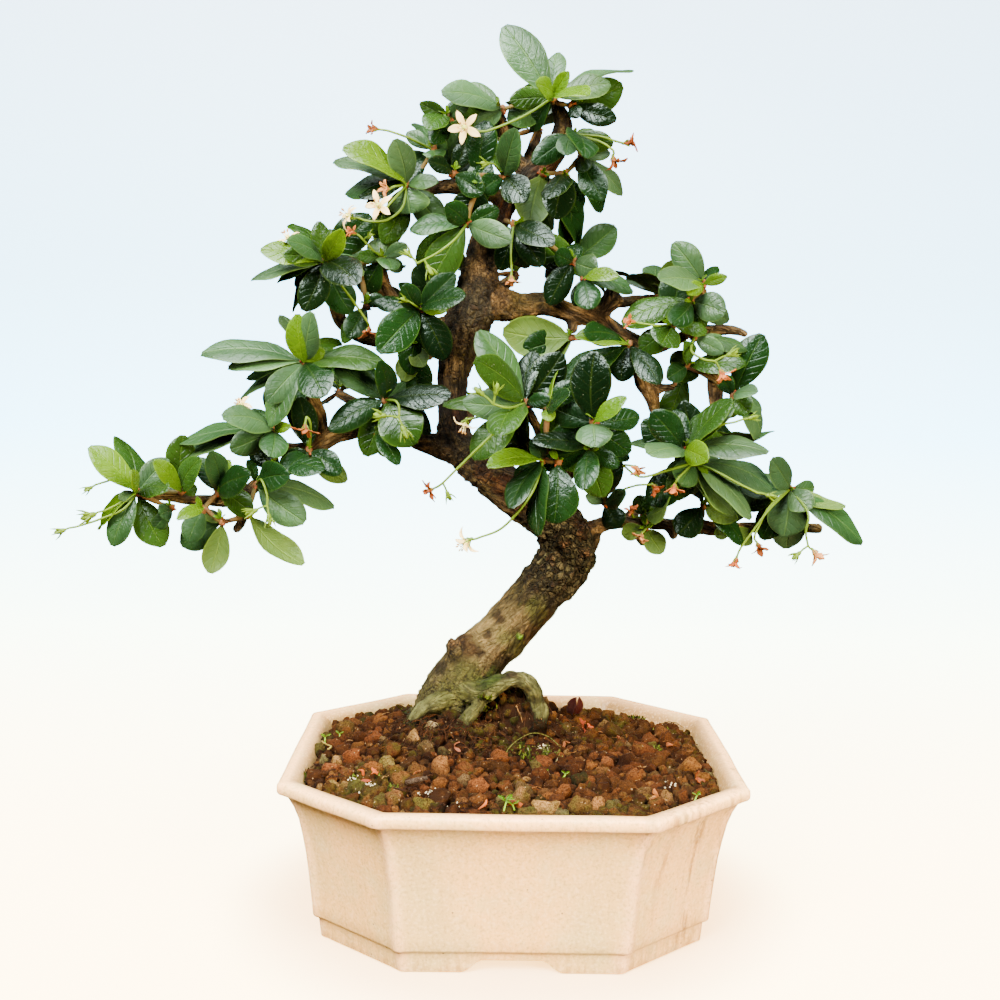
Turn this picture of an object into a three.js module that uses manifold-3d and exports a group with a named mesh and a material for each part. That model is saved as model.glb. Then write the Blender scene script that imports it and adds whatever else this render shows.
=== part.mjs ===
// Fukien tea bonsai in its glazed pot.
// Millimetres, +Z up, the plant seen from the front looks along +Y.
// The tree is described in the plane y = 0 through the middle of the pot, as a viewer in front of it
// sees it; place() carries each point along the line of sight to its own depth.
import * as THREE from 'three';
import { mergeVertices } from 'three/addons/utils/BufferGeometryUtils.js';
import Module from 'manifold-3d';

const wasm = await Module();
wasm.setup();

// Driving dimensions
const VIEWER = new THREE.Vector3(-10.2, -487.8, 228.0);
const GAP = 0.3;
const POT_HALF_LENGTH = 90;
const POT_HALF_DEPTH = 79.3;
const POT_CUT_LENGTH = 39.6;
const POT_CUT_DEPTH = 33.5;
const POT_HEIGHT = 65.7;
const POT_WALL = 6.5;
const POT_FLOOR = 10;
const FOOT_RECESS = 5;
const FOOT_WIDTH = 10;
const ARCH_HALF_BOTTOM = 19;
const ARCH_HALF_TOP = 9.5;
const ARCH_HEIGHT = 5;
const DRAIN_RADIUS = 6;
const DRAIN_SPACING = 34;
const SOIL_EDGE = 61.4;
const SOIL_INSET = 9.6;
const SOIL_MOUND = 7.6;
const SOIL_CENTRE = [-20, 22];
const SOIL_RINGS = 6;
const SOIL_SIDES = 32;
const BLADE_THICKNESS = 0.8;
const BLADE_CLEARANCE = 2.2;
const TWIG_RADIUS = 1.1;
const STALK_RADIUS = 0.6;
const KNOB_RADIUS = 1.35;
const HUB_RADIUS = 1.9;
const LEAF_START = 0.9;
const NARROWEST_LEAF = 7;
const BROAD_LEAF = 14;
const WOOD_SIDES = { trunk: 9, limb: 5, root: 5, stub: 5 };
const WOOD_STEPS = { trunk: 11, limb: 20, root: 12, stub: 14 };

// Half length, half depth, and both corner cuts of the pot shrink by this much at each height.
const POT_PROFILE = [
  [0, 15.5], [8.3, 14.9], [8.8, 13.4], [36, 10.6], [50, 8.0], [60.6, 3.4], [61.2, 0.3], [64.6, 0],
  [65.7, 1.6],
];

// Trunk and limbs: points [x, z, y, radius] along each centreline.
const WOOD = [
  ['trunk', [
    [-25, 56, 27, 16], [-26, 72, 27, 15.5], [-25.5, 82, 26.5, 14.8], [-23.5, 90, 25.5, 13.6],
    [-19.5, 98, 24, 11.8], [-13.5, 106.5, 22.5, 11], [-7, 113.5, 21, 10.4], [0, 122.5, 18.5, 10.1],
    [7.5, 131.5, 16, 10.2], [14.5, 139.5, 14, 11], [19.5, 148, 12.5, 11.2], [18, 156.5, 11, 10.6],
    [11, 164, 10, 9.6], [2, 170.5, 9, 9], [-8, 177.5, 8, 8.8], [-17, 184.5, 7.5, 8], [-24, 193, 7, 6.4],
    [-26.5, 205, 6.5, 5.6], [-26.5, 216, 6, 5.8], [-25, 227, 6, 6.8], [-21.5, 238, 6, 9],
    [-17.5, 248, 6, 10], [-16.5, 257, 6, 8.2], [-16, 266, 5.5, 5.9], [-14.5, 273, 5, 5.2],
    [-9.5, 279.5, 4.5, 4.5], [-6.5, 286, 4, 4], [-2, 292.5, 4, 4.3], [5, 299, 4, 5], [11, 305, 4, 4.8],
    [14.5, 312, 4, 4.2], [15.5, 319, 4, 3.4], [13, 325, 4, 2.4],
  ]],
  ['limb_lower_left', [
    [-20, 186, 7.5, 6], [-30, 190, 6, 5], [-39, 193, 5, 3.9], [-50, 195.7, 4, 3.4], [-61, 197, 3, 3.2],
    [-70, 195.5, 2, 3.3], [-80, 191, 1, 3.8], [-92, 182.5, 0, 3.1], [-104, 175, -1, 2.9],
    [-113, 168.5, -2, 2.8], [-122, 167.3, -3, 2.7], [-133, 167.5, -4, 2.3], [-143, 168.8, -5, 2],
    [-152, 168.5, -5.5, 1.9],
  ]],
  ['limb_fan', [
    [-80, 191, 1, 3], [-79.5, 201, 0, 2.9], [-82.5, 210, -1, 2.6], [-86, 220, -2, 2.1],
  ]],
  ['limb_left_inner', [
    [-82, 190.5, 1, 2.6], [-90, 189, 2, 2.2], [-96, 190.5, 2, 2], [-98.5, 194, 1.5, 1.8],
  ]],
  ['limb_upper_left', [
    [-22, 239, 6, 6], [-31, 237.5, 7, 4.8], [-39, 236, 8, 4.2], [-50, 233.5, 9, 3.4],
    [-61, 233.5, 9, 3], [-70, 239, 8, 2.8], [-74.5, 248, 6, 2.5], [-77, 259, 4, 2.1],
  ]],
  ['limb_upper_left_inner', [
    [-40, 236, 8, 2.8], [-49, 247, 9, 2.4], [-53.5, 255, 9, 2.3], [-55, 261.5, 8, 1.9],
  ]],
  ['limb_upper_right', [
    [-14, 249, 6, 8.5], [-6, 247.5, 5.5, 6.8], [1, 246.8, 5, 5.4], [10, 248, 4.5, 4.4],
    [20, 245.2, 4, 4], [30, 243, 3, 4.2], [37, 239, 2, 3.5], [45, 234.3, 1, 3.1], [53, 231.5, 0, 3],
    [60, 233.5, 0, 2.5], [67, 237.5, 0, 2.3], [71.5, 245, 0, 2], [73, 254.5, -1, 1.9],
  ]],
  ['limb_right_drop', [
    [51, 231.5, 0, 2.6], [48.3, 224, 0, 2.4], [50, 217.5, 0, 3.2], [54, 211.5, 0, 3],
    [55, 205.5, 0, 1.9],
  ]],
  ['limb_right_outer', [
    [68, 238, 0, 2], [75, 233.5, -1, 1.9], [77.8, 226, -1.5, 2], [79, 217.5, -2, 3.4],
    [79.5, 209, -2, 2.8],
  ]],
  ['limb_lower_right', [
    [22, 153, 12, 6], [30, 157, 12, 4], [38, 160.6, 12, 2.9], [50, 161, 12, 2.7], [62, 160, 12, 2.6],
    [72, 158.8, 12, 2.5], [84, 158.2, 12, 2.6], [96, 159.5, 12, 2.4], [108, 159.8, 11.5, 2.2],
    [124, 159.4, 11, 2],
  ]],
  ['limb_front', [
    [18, 157, 9, 4.5], [18.5, 168, 3, 3.2], [19.5, 177, -5, 2.7], [23.5, 184, -14, 2.3],
    [29, 190, -23, 2],
  ]],
  ['limb_front_left', [
    [19, 173, 0, 2.6], [14.5, 184, -9, 2.3], [9, 196.5, -19, 2.2], [4, 206, -27, 2],
  ]],
  ['limb_crown_left', [
    [3, 297, 4, 3.6], [-3, 305, 4, 2.8], [-7, 314, 3, 2.3], [-8.5, 320.5, 2, 1.9],
  ]],
  ['limb_crown_far_left', [
    [-5, 288.5, 4, 3.4], [-16, 291.5, 6, 3], [-28, 293.5, 6, 3], [-38, 292, 4, 2.3],
    [-44, 292.5, 1, 1.9],
  ]],
  ['limb_back_low', [
    [-24, 200, 8, 4], [-18, 207, 20, 3], [-12, 212, 33, 2.6], [-4, 215, 45, 2],
  ]],
  ['limb_back_left', [
    [-34, 192, 6, 3], [-47, 199, 18, 2.6], [-60, 205, 29, 2.3], [-72, 211, 38, 1.9],
  ]],
  ['limb_back_mid', [
    [-18, 246, 9, 5], [-15, 250, 20, 3.4], [-8, 254, 33, 2.8], [-2, 259, 45, 2],
  ]],
  ['limb_back_right', [
    [24, 244, 4, 3], [34, 248, 15, 2.5], [45, 250, 27, 2.2], [55, 251, 36, 1.9],
  ]],
  ['limb_back_low_right', [
    [44, 160.8, 12, 2.6], [52, 169, 22, 2.3], [62, 177, 32, 2.1], [70, 184, 40, 1.9],
  ]],
  ['limb_back_crown', [
    [3, 298, 5, 3.8], [2, 302, 14, 2.8], [4, 308, 24, 2.3], [6, 315, 32, 1.9],
  ]],
];

// Cut stubs and knobs on the wood
const STUBS = [
  [[-113, 163.5, -2, 2.4], [-111, 160, -2, 2.1], [-114, 155.3, -2, 1.9]],
  [[32, 244, 2.5, 3.4], [35.5, 250.5, 1, 3], [38.3, 257.5, 0, 2.5]],
  [[34, 246, 1, 2.6], [40, 250.5, -1, 2.2]],
  [[20.5, 243, 4, 2.6], [21.3, 237.5, 3.5, 2]],
  [[68, 238.2, 0, 2.1], [76, 238.6, 0, 2.6], [84, 239.2, 0, 2], [90.5, 237.6, 0, 1.5]],
  [[50, 217, 0, 2.4], [57, 215.5, -1, 2], [62.5, 216.3, -1.5, 1.4]],
  [[63, 158.5, 11.5, 2.1], [64.5, 155, 11, 1.8]],
  [[22, 137, 12, 6], [26.5, 133, 11, 4.4]],
  [[-40, 231.5, 6, 3.4], [-35.5, 227, 5.5, 2.6]],
  [[-37.5, 291, 4, 2.3], [-37.5, 286.3, 3.5, 1.9]],
  [[-26.5, 200, 6, 4.6], [-31, 197.5, 5, 2.8]],
  [[-24, 107, 20, 8], [-28, 103, 19, 5.4]],
  [[31, 150, 10, 2.2], [33.5, 154.5, 9, 1.6]],
];

// Surface roots
const ROOTS = [
  [
    [-23, 92, 17, 4.8], [-14, 88.5, 11, 4.4], [-7, 92, 9, 4], [1, 94.6, 10, 3.8], [7, 91.5, 12, 3.8],
    [10.3, 84.5, 14, 3.6], [11, 74, 15, 3.2], [10.5, 62, 15, 2.6],
  ],
  [
    [-14, 88.5, 11, 3.6], [-14.5, 83, 8, 3], [-19, 77.5, 6, 2.7], [-23, 71, 5, 2.4], [-25, 60, 5, 1.8],
  ],
  [
    [-20, 88, 18, 4.2], [-27, 86.5, 14, 3.9], [-34, 83.5, 12, 3.4], [-39.5, 78.5, 12, 2.8],
    [-43, 70, 13, 2.4], [-44, 58, 14, 1.8],
  ],
  [
    [-31, 84, 27, 7.5], [-37.5, 78, 27, 6], [-41, 68, 28, 4.6], [-42, 56, 28, 3.4],
  ],
  [
    [-14, 86, 26, 7], [-5, 80, 28, 5.4], [3, 72, 30, 4.2], [8, 60, 31, 3],
  ],
  [
    [-24, 84, 34, 7], [-26, 77, 43, 5], [-28, 70, 51, 3.8], [-29, 59, 56, 2.6],
  ],
  [
    [-10, 86, 33, 5.5], [-2, 79, 42, 4.4], [6, 70, 50, 3.4], [10, 59, 55, 2.4],
  ],
  [
    [-33, 82, 34, 5], [-43, 76, 40, 3.8], [-49, 71, 43, 2.8], [-52, 66, 44, 2],
  ],
];

// Leafy sprays.  A rosette is its centre [x, z, y] and its leaves [tip x, tip z, tip depth, seen width].
const SPRAYS = [
  ['spray_left_tip', [
    [[-154, 170, -7], [
      [-172.5, 188.5, 2, 9.5], [-159.7, 192.5, 8, 9.5], [-141.2, 184, 4, 8.5], [-141, 171.5, -9, 6],
      [-161.5, 167.5, -6, 4], [-164.3, 148, -4, 8.5], [-169.5, 155.5, -1, 5], [-156, 178.5, -4, 3],
      [-164.5, 178.5, -5, 3],
    ]],
    [[-136, 170.5, -8], [
      [-146.7, 183, -5, 6], [-128.3, 184.5, -4, 6.5], [-144.5, 177, 4, 5], [-129.5, 172.5, -7, 5],
    ]],
    [[-140, 164, -8], [
      [-147.6, 154.8, 3, 5.5], [-145, 161, -6, 6.5],
    ]],
  ]],
  ['spray_left_mid', [
    [[-121, 171, -8], [
      [-129.5, 184.5, -7, 7.5], [-124, 187.5, -5, 8], [-116.3, 184, -3, 5], [-108.5, 178, -9, 9],
      [-107.5, 162.5, -8, 9],
    ]],
    [[-127, 163.5, -8], [
      [-133.3, 150, -3, 8.5], [-137.5, 159.5, -5, 4.5],
    ]],
    [[-119.5, 158.5, -7], [
      [-124.8, 137.2, 2, 9.5], [-126, 163, 6, 5],
    ]],
    [[-109, 162, -8], [
      [-87, 141, -4, 8.5],
    ]],
    [[-105.5, 174, -8], [
      [-86, 159, -9, 12], [-92, 178, -7, 10], [-73.8, 166, 0, 8], [-109, 184, 0, 3.5],
    ]],
  ]],
  ['spray_left_inner', [
    [[-98, 196, -6], [
      [-136.6, 190, 6, 4.5], [-118.5, 201.5, -2, 8.5], [-116, 188, -5, 9.5], [-99.5, 185, -9, 10],
      [-107, 204.5, 3, 4], [-91.5, 198, -4, 4], [-137.5, 183.5, 4, 6],
    ]],
    [[-97, 181, -5], [
      [-107.5, 189, 1, 8], [-85, 187.5, -3, 7.5], [-79, 180, -2, 5.5],
    ]],
    [[-84, 188, -6], [
      [-71.5, 179, -6, 8.5], [-69, 176, 0, 8], [-88, 209.5, 4, 9], [-92.5, 207.5, 8, 7],
      [-96, 178, -1, 7],
    ]],
  ]],
  ['spray_fan', [
    [[-86, 223.5, -8], [
      [-127, 226.5, -2, 7.5], [-116.4, 221, -6, 6.5], [-108.8, 216.6, 3, 4.5], [-101, 207.5, -8, 9.5],
      [-99.5, 197.5, -1, 8.5], [-88.5, 242.5, -4, 9], [-95, 242, 3, 7], [-83, 243, 4, 9],
      [-78, 229, -7, 4.5], [-54, 224, -7, 8], [-72.7, 233.5, 3, 6.5], [-78, 210, -13, 13.5],
      [-114.5, 204.5, 5, 4], [-74, 217, 4, 5],
    ]],
  ]],
  ['spray_inner', [
    [[-53.5, 209, -9], [
      [-73.5, 222, -2, 9], [-64.5, 223.5, 3, 8], [-55.5, 224.5, 4, 7], [-76, 196.5, -8, 10],
      [-42, 191, -8, 16], [-35, 196, 3, 8], [-27, 211, -5, 8], [-45.5, 216, 0, 4.5], [-61, 218, 5, 6],
    ]],
    [[-57, 196, -5], [
      [-52, 186, 4, 6.5], [-48, 183, -2, 5.5],
    ]],
  ]],
  ['spray_upper_left', [
    [[-78, 263, -5], [
      [-106.6, 255.2, 3, 5], [-96.5, 255.8, 6, 4.5], [-103, 267.7, -3, 6], [-94, 265.5, -8, 7],
      [-89.5, 277.5, 6, 8], [-75, 276, 7, 8], [-92, 271.5, 1, 5], [-71, 275.7, -9, 7],
      [-63, 268.5, 0, 5], [-62, 259, -4, 7], [-64.5, 255.5, -10, 11], [-86, 244, -10, 10.5],
      [-90.5, 244, 2, 5], [-90, 254.5, -5, 5], [-80, 279, 10, 7],
    ]],
    [[-55, 264.5, 1], [
      [-57.5, 272.5, 4, 7], [-45, 270.5, 0, 5], [-65, 266, 3, 4.5], [-47, 260.5, -5, 5],
      [-51, 261, -7, 4.5], [-62.5, 251, -6, 9.5],
    ]],
    [[-61, 246, 2], [
      [-68.5, 233.5, -6, 8], [-55, 250.5, 3, 5], [-70.5, 231.5, 4, 5],
    ]],
  ]],
  ['spray_front_left', [
    [[-40, 245.5, -9], [
      [-56.5, 228, -10, 13], [-58, 248.2, -3, 6], [-46, 254.5, -4, 8], [-26, 259.5, -6, 8.5],
      [-29.5, 225.5, -8, 11], [-22, 250, 0, 6], [-29, 245, -7, 4], [-45, 256, 6, 7], [-49, 239, 5, 6],
    ]],
    [[-43, 231, -2], [
      [-46, 216.5, 3, 8], [-38, 222.5, 6, 7],
    ]],
  ]],
  ['spray_crown_left', [
    [[-45.5, 293.5, -7], [
      [-70, 308, -6, 6.5], [-73.8, 303, 3, 5.5], [-69.5, 290.5, -3, 8], [-64, 288.5, 3, 4.5],
      [-61, 287.8, 7, 6], [-44, 282.5, -13, 15], [-50, 311, -5, 9.5], [-33, 295, -7, 5],
      [-54, 303, 2, 5], [-39.5, 303, 2, 5],
    ]],
    [[-35, 307, -3], [
      [-45.5, 313.5, 2, 5.5], [-34.5, 304, -7, 8], [-41.5, 317, 3, 6],
    ]],
    [[-29, 319.5, -2], [
      [-40.5, 325, -5, 5.5], [-38, 319.5, -7, 4], [-37, 315.5, -7, 5.5], [-26, 325.5, 1, 4.5],
      [-21, 325.5, 3, 5], [-35.5, 309.5, -4, 7],
    ]],
  ]],
  ['spray_crown_mid', [
    [[-7, 297.5, -7], [
      [1.5, 288, -10, 10.5], [-16, 292, -9, 7.5], [-2, 306.5, -8, 5.5], [-13.5, 310, -3, 5],
      [-3, 315.5, 0, 8],
    ]],
    [[-27, 298, -7], [
      [-15, 291, -8, 8.5], [-22.5, 310, 0, 7], [-37, 303, -3, 5], [-16, 304, 1, 6],
    ]],
    [[-17, 294, -12], [
      [-20, 281.5, -9, 13.5],
    ]],
    [[-21.5, 279, -9], [
      [-44, 276.5, -3, 6.5], [-30, 286, -7, 8], [-4, 272.5, -13, 9.5], [-35, 256.5, -9, 12.5],
      [-42, 263, 0, 8.5], [-9, 285, 3, 7],
    ]],
  ]],
  ['spray_crown_top', [
    [[11, 327.5, -5], [
      [-8, 354.3, 3, 13], [13, 345, 5, 8.5], [17.5, 337.8, -4, 4.5], [5.5, 333, -5, 4.5],
      [33.8, 333.5, -4, 8], [41.5, 338.3, 4, 4], [-5.5, 326.5, -4, 7.5], [1, 332.5, -6, 6.5],
      [25, 329, -8, 4], [3.5, 315, -4, 6],
    ]],
    [[-8, 323, -3], [
      [-32, 329, -8, 7.5], [-24.5, 331.5, 0, 6.5], [-18, 317.5, -4, 6], [-17, 326.5, 5, 5],
    ]],
    [[18.5, 325, -2], [
      [36.5, 319.7, -4, 7.5], [21.8, 320.5, -7, 5], [27, 334, 5, 6],
    ]],
  ]],
  ['spray_crown_right', [
    [[19, 314, -6], [
      [35.5, 310.5, -3, 7], [29.5, 312.5, 4, 6], [17, 306, -7, 7.5], [31.5, 309, -1, 7],
      [25, 306, -6, 5], [7, 306, -6, 8], [4, 303, -2, 8],
    ]],
    [[23, 305.5, -3], [
      [32.5, 289, -8, 9.5], [40, 291.5, -1, 5], [34.5, 307, 2, 4.5], [32, 284.6, 3, 7],
      [25, 300, -7, 6],
    ]],
    [[17, 299, -4], [
      [13, 281.5, -9, 11.5], [22.5, 284, 0, 9], [17.5, 270, -6, 9], [10, 289, -9, 8],
    ]],
    [[8, 299, 1], [
      [3.5, 278.5, 1, 12.5], [12.5, 277, 5, 5.5], [23.5, 269.5, 6, 8],
    ]],
  ]],
  ['spray_crown_low_right', [
    [[-3, 279, -4], [
      [8.5, 263, -7, 9.5], [13, 271.5, 0, 8.5], [2.5, 262, 2, 10], [-8, 261, 4, 8],
    ]],
    [[21, 265, -4], [
      [30.5, 262, -8, 9.5], [11.5, 248, -9, 9.5], [14, 268, -6, 7], [10, 258.5, 0, 6.5],
      [22, 272, 4, 6],
    ]],
    [[25, 258.5, -7], [
      [28, 246.5, -9, 9.5], [45, 253.5, -5, 6], [39, 259.5, -2, 4.5], [33, 254.5, 2, 5],
      [22, 247.5, 1, 6],
    ]],
  ]],
  ['spray_front_centre', [
    [[3, 208.5, -32], [
      [-22, 208.5, -8, 11], [-30, 207.5, 2, 7], [-18, 186, -8, 11], [-7.5, 195.5, -12, 10],
      [-13, 186.5, 0, 9], [1.5, 189, -2, 8], [-16.5, 237, 2, 11], [-18, 225.5, -9, 10.5],
      [6, 229.5, -1, 8.5], [12.5, 210.5, -9, 5.5], [-9, 219, 5, 7],
    ]],
    [[12, 206.5, -31], [
      [22.5, 217.5, -2, 8], [21, 212.5, -7, 5], [14, 221, -4, 7.5], [6.5, 219.5, 3, 7],
      [12.5, 201.5, -8, 5], [16, 224.5, 5, 5.5],
    ]],
    [[10.5, 185.5, -30], [
      [-12, 182.7, -6, 6], [-0.5, 176, -8, 9], [9, 155, -3, 8], [-2, 165.5, 3, 7.5], [6, 194.5, 3, 6],
    ]],
    [[16.5, 185, -32], [
      [15.5, 160, -10, 15.5],
    ]],
  ]],
  ['spray_front_right', [
    [[30.5, 201, -33], [
      [30.3, 229.5, -6, 14.5], [31.3, 191.5, -11, 13], [43.5, 211.5, -6, 5.5], [13, 207.5, 0, 10],
      [49, 204, 4, 8], [22, 212, 5, 7],
    ]],
    [[29, 191, -29], [
      [6, 193.5, 1, 6], [9.5, 183, 0, 8], [18, 183.8, -8, 7.5], [41, 183.5, -7, 6],
      [45.5, 187.8, -2, 5.5], [27.5, 174, -2, 8.5], [37, 194.5, -3, 3.5], [35, 171, 2, 12],
    ]],
    [[36, 168.5, -4], [
      [42, 158.5, -4, 9], [28, 171.5, -4, 5], [44.5, 173, -6, 6],
    ]],
  ]],
  ['spray_right_upper', [
    [[73, 257, -5], [
      [60.5, 273, -2, 10], [55, 258.5, -6, 8], [58.5, 262, 3, 6], [82, 260, -4, 4], [66.5, 253, -9, 5],
      [63, 255.5, -5, 5.5], [78, 264, 5, 4],
    ]],
    [[68.5, 250, -5], [
      [82, 245.5, -9, 10.5], [83.5, 242.5, -2, 7.5], [40.8, 241, -2, 9.5], [61, 241, -9, 9],
      [50, 246.5, -6, 7], [74, 240, 3, 7],
    ]],
    [[61, 240.5, -8], [
      [56.5, 232.5, -9, 11.5], [48.5, 230.5, -5, 9], [75, 238.3, -5, 5], [52, 243.5, 4, 6],
    ]],
  ]],
  ['spray_right_mid', [
    [[44, 232.5, -6], [
      [22.5, 235.5, -6, 4.5], [41, 218, -4, 9], [56.5, 217, -7, 8.5], [16, 216.5, -13, 9.5],
      [26, 237, 3, 6],
    ]],
    [[21.5, 235, -2], [
      [-6.5, 237, 3, 14.5], [10, 223, 6, 6],
    ]],
  ]],
  ['spray_right_outer', [
    [[67.5, 224.5, -3], [
      [59.5, 219.5, -5, 7], [69.5, 218.5, -8, 7], [61, 229, 2, 7], [91, 226, -4, 7.5],
      [95.5, 221, 0, 5], [66.5, 234, -3, 4],
    ]],
    [[70, 236, -6], [
      [83, 233.5, -6, 6.5], [91.5, 231.5, 0, 4.5], [82, 230, 3, 6],
    ]],
    [[86.5, 213, -10], [
      [93, 205.5, -5, 7.5], [98.5, 207, -1, 5], [96, 214.5, 0, 5], [98.5, 197, -2, 8], [81, 221, -5, 6],
      [84, 203.5, 2, 7],
    ]],
  ]],
  ['spray_right_low', [
    [[68, 190.5, -14], [
      [54, 206, -6, 11], [42, 192, 1, 4], [53, 188.5, -7, 6.5], [87, 208, -6, 7.5], [86.5, 211, 4, 6],
      [71, 206.5, 0, 5], [84, 195.5, -10, 8], [77, 187, -13, 9], [86.5, 194, -5, 5], [63, 207, 6, 8],
      [101.5, 190.5, 1, 8],
    ]],
    [[71.5, 185.5, -12], [
      [66, 177, -10, 10], [60.5, 181.5, -8, 6.5], [95.7, 163, -7, 7.5], [82, 166, -3, 4],
      [89, 164.5, 2, 5], [71.5, 173, 0, 8.5], [104, 176, 3, 8], [82.5, 186.5, 6, 5.5],
    ]],
  ]],
  ['spray_right_tip', [
    [[111, 175.5, -3], [
      [141.5, 153.5, -5, 8.5], [134, 168.5, 3, 5], [119.5, 167.3, -11, 9.5], [109.5, 156, -11, 14],
      [110.5, 151, -4, 12], [96.5, 176, -6, 5.5], [91.5, 175, 0, 7], [94, 168.5, 2, 7],
      [103, 187.5, -1, 8.5], [88, 179.5, 5, 3.5], [121, 176, -3, 6],
    ]],
  ]],
  ['spray_right_under', [
    [[76, 168, 4], [
      [66, 156, -9, 10.5], [93, 152.5, -6, 6.5], [90, 162.5, 3, 6],
    ]],
    [[88, 158.5, 6], [
      [96.5, 153, 2, 6.5], [81, 156, 4, 5],
    ]],
  ]],
  ['spray_knuckle_right', [
    [[52, 163, 7], [
      [49.5, 172, -2, 6.5], [57, 171.5, 1, 5.5], [61, 168.5, -4, 6], [58.5, 166, 3, 3.5],
    ]],
    [[53, 158.5, 8], [
      [60, 148.2, 0, 8], [51.5, 151.5, 3, 6.5], [43, 156.3, 1, 6.5],
    ]],
  ]],
];

// Sprays on the far side: rosettes [x, z, y, leaves, leaf length, lift in degrees].
const BACK = [
  ['spray_back_low', [[-4, 216, 50, 6, 23, 25], [-20, 209, 40, 4, 20, 25]]],
  ['spray_back_left', [[-72, 212, 43, 6, 24, 25], [-88, 204, 32, 4, 21, 25]]],
  ['spray_back_mid', [[-2, 260, 50, 6, 23, 40], [-22, 259, 36, 4, 21, 40]]],
  ['spray_back_right', [[55, 252, 41, 6, 22, 35], [68, 244, 30, 4, 20, 30]]],
  ['spray_back_low_right', [[70, 185, 44, 6, 23, 25], [86, 190, 34, 4, 20, 25]]],
  ['spray_back_crown', [[6, 316, 36, 6, 22, 45], [-12, 311, 28, 4, 20, 45]]],
  ['spray_back_upper_left', [[-62, 254, 24, 5, 22, 40], [-48, 246, 28, 4, 20, 35]]],
];

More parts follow.
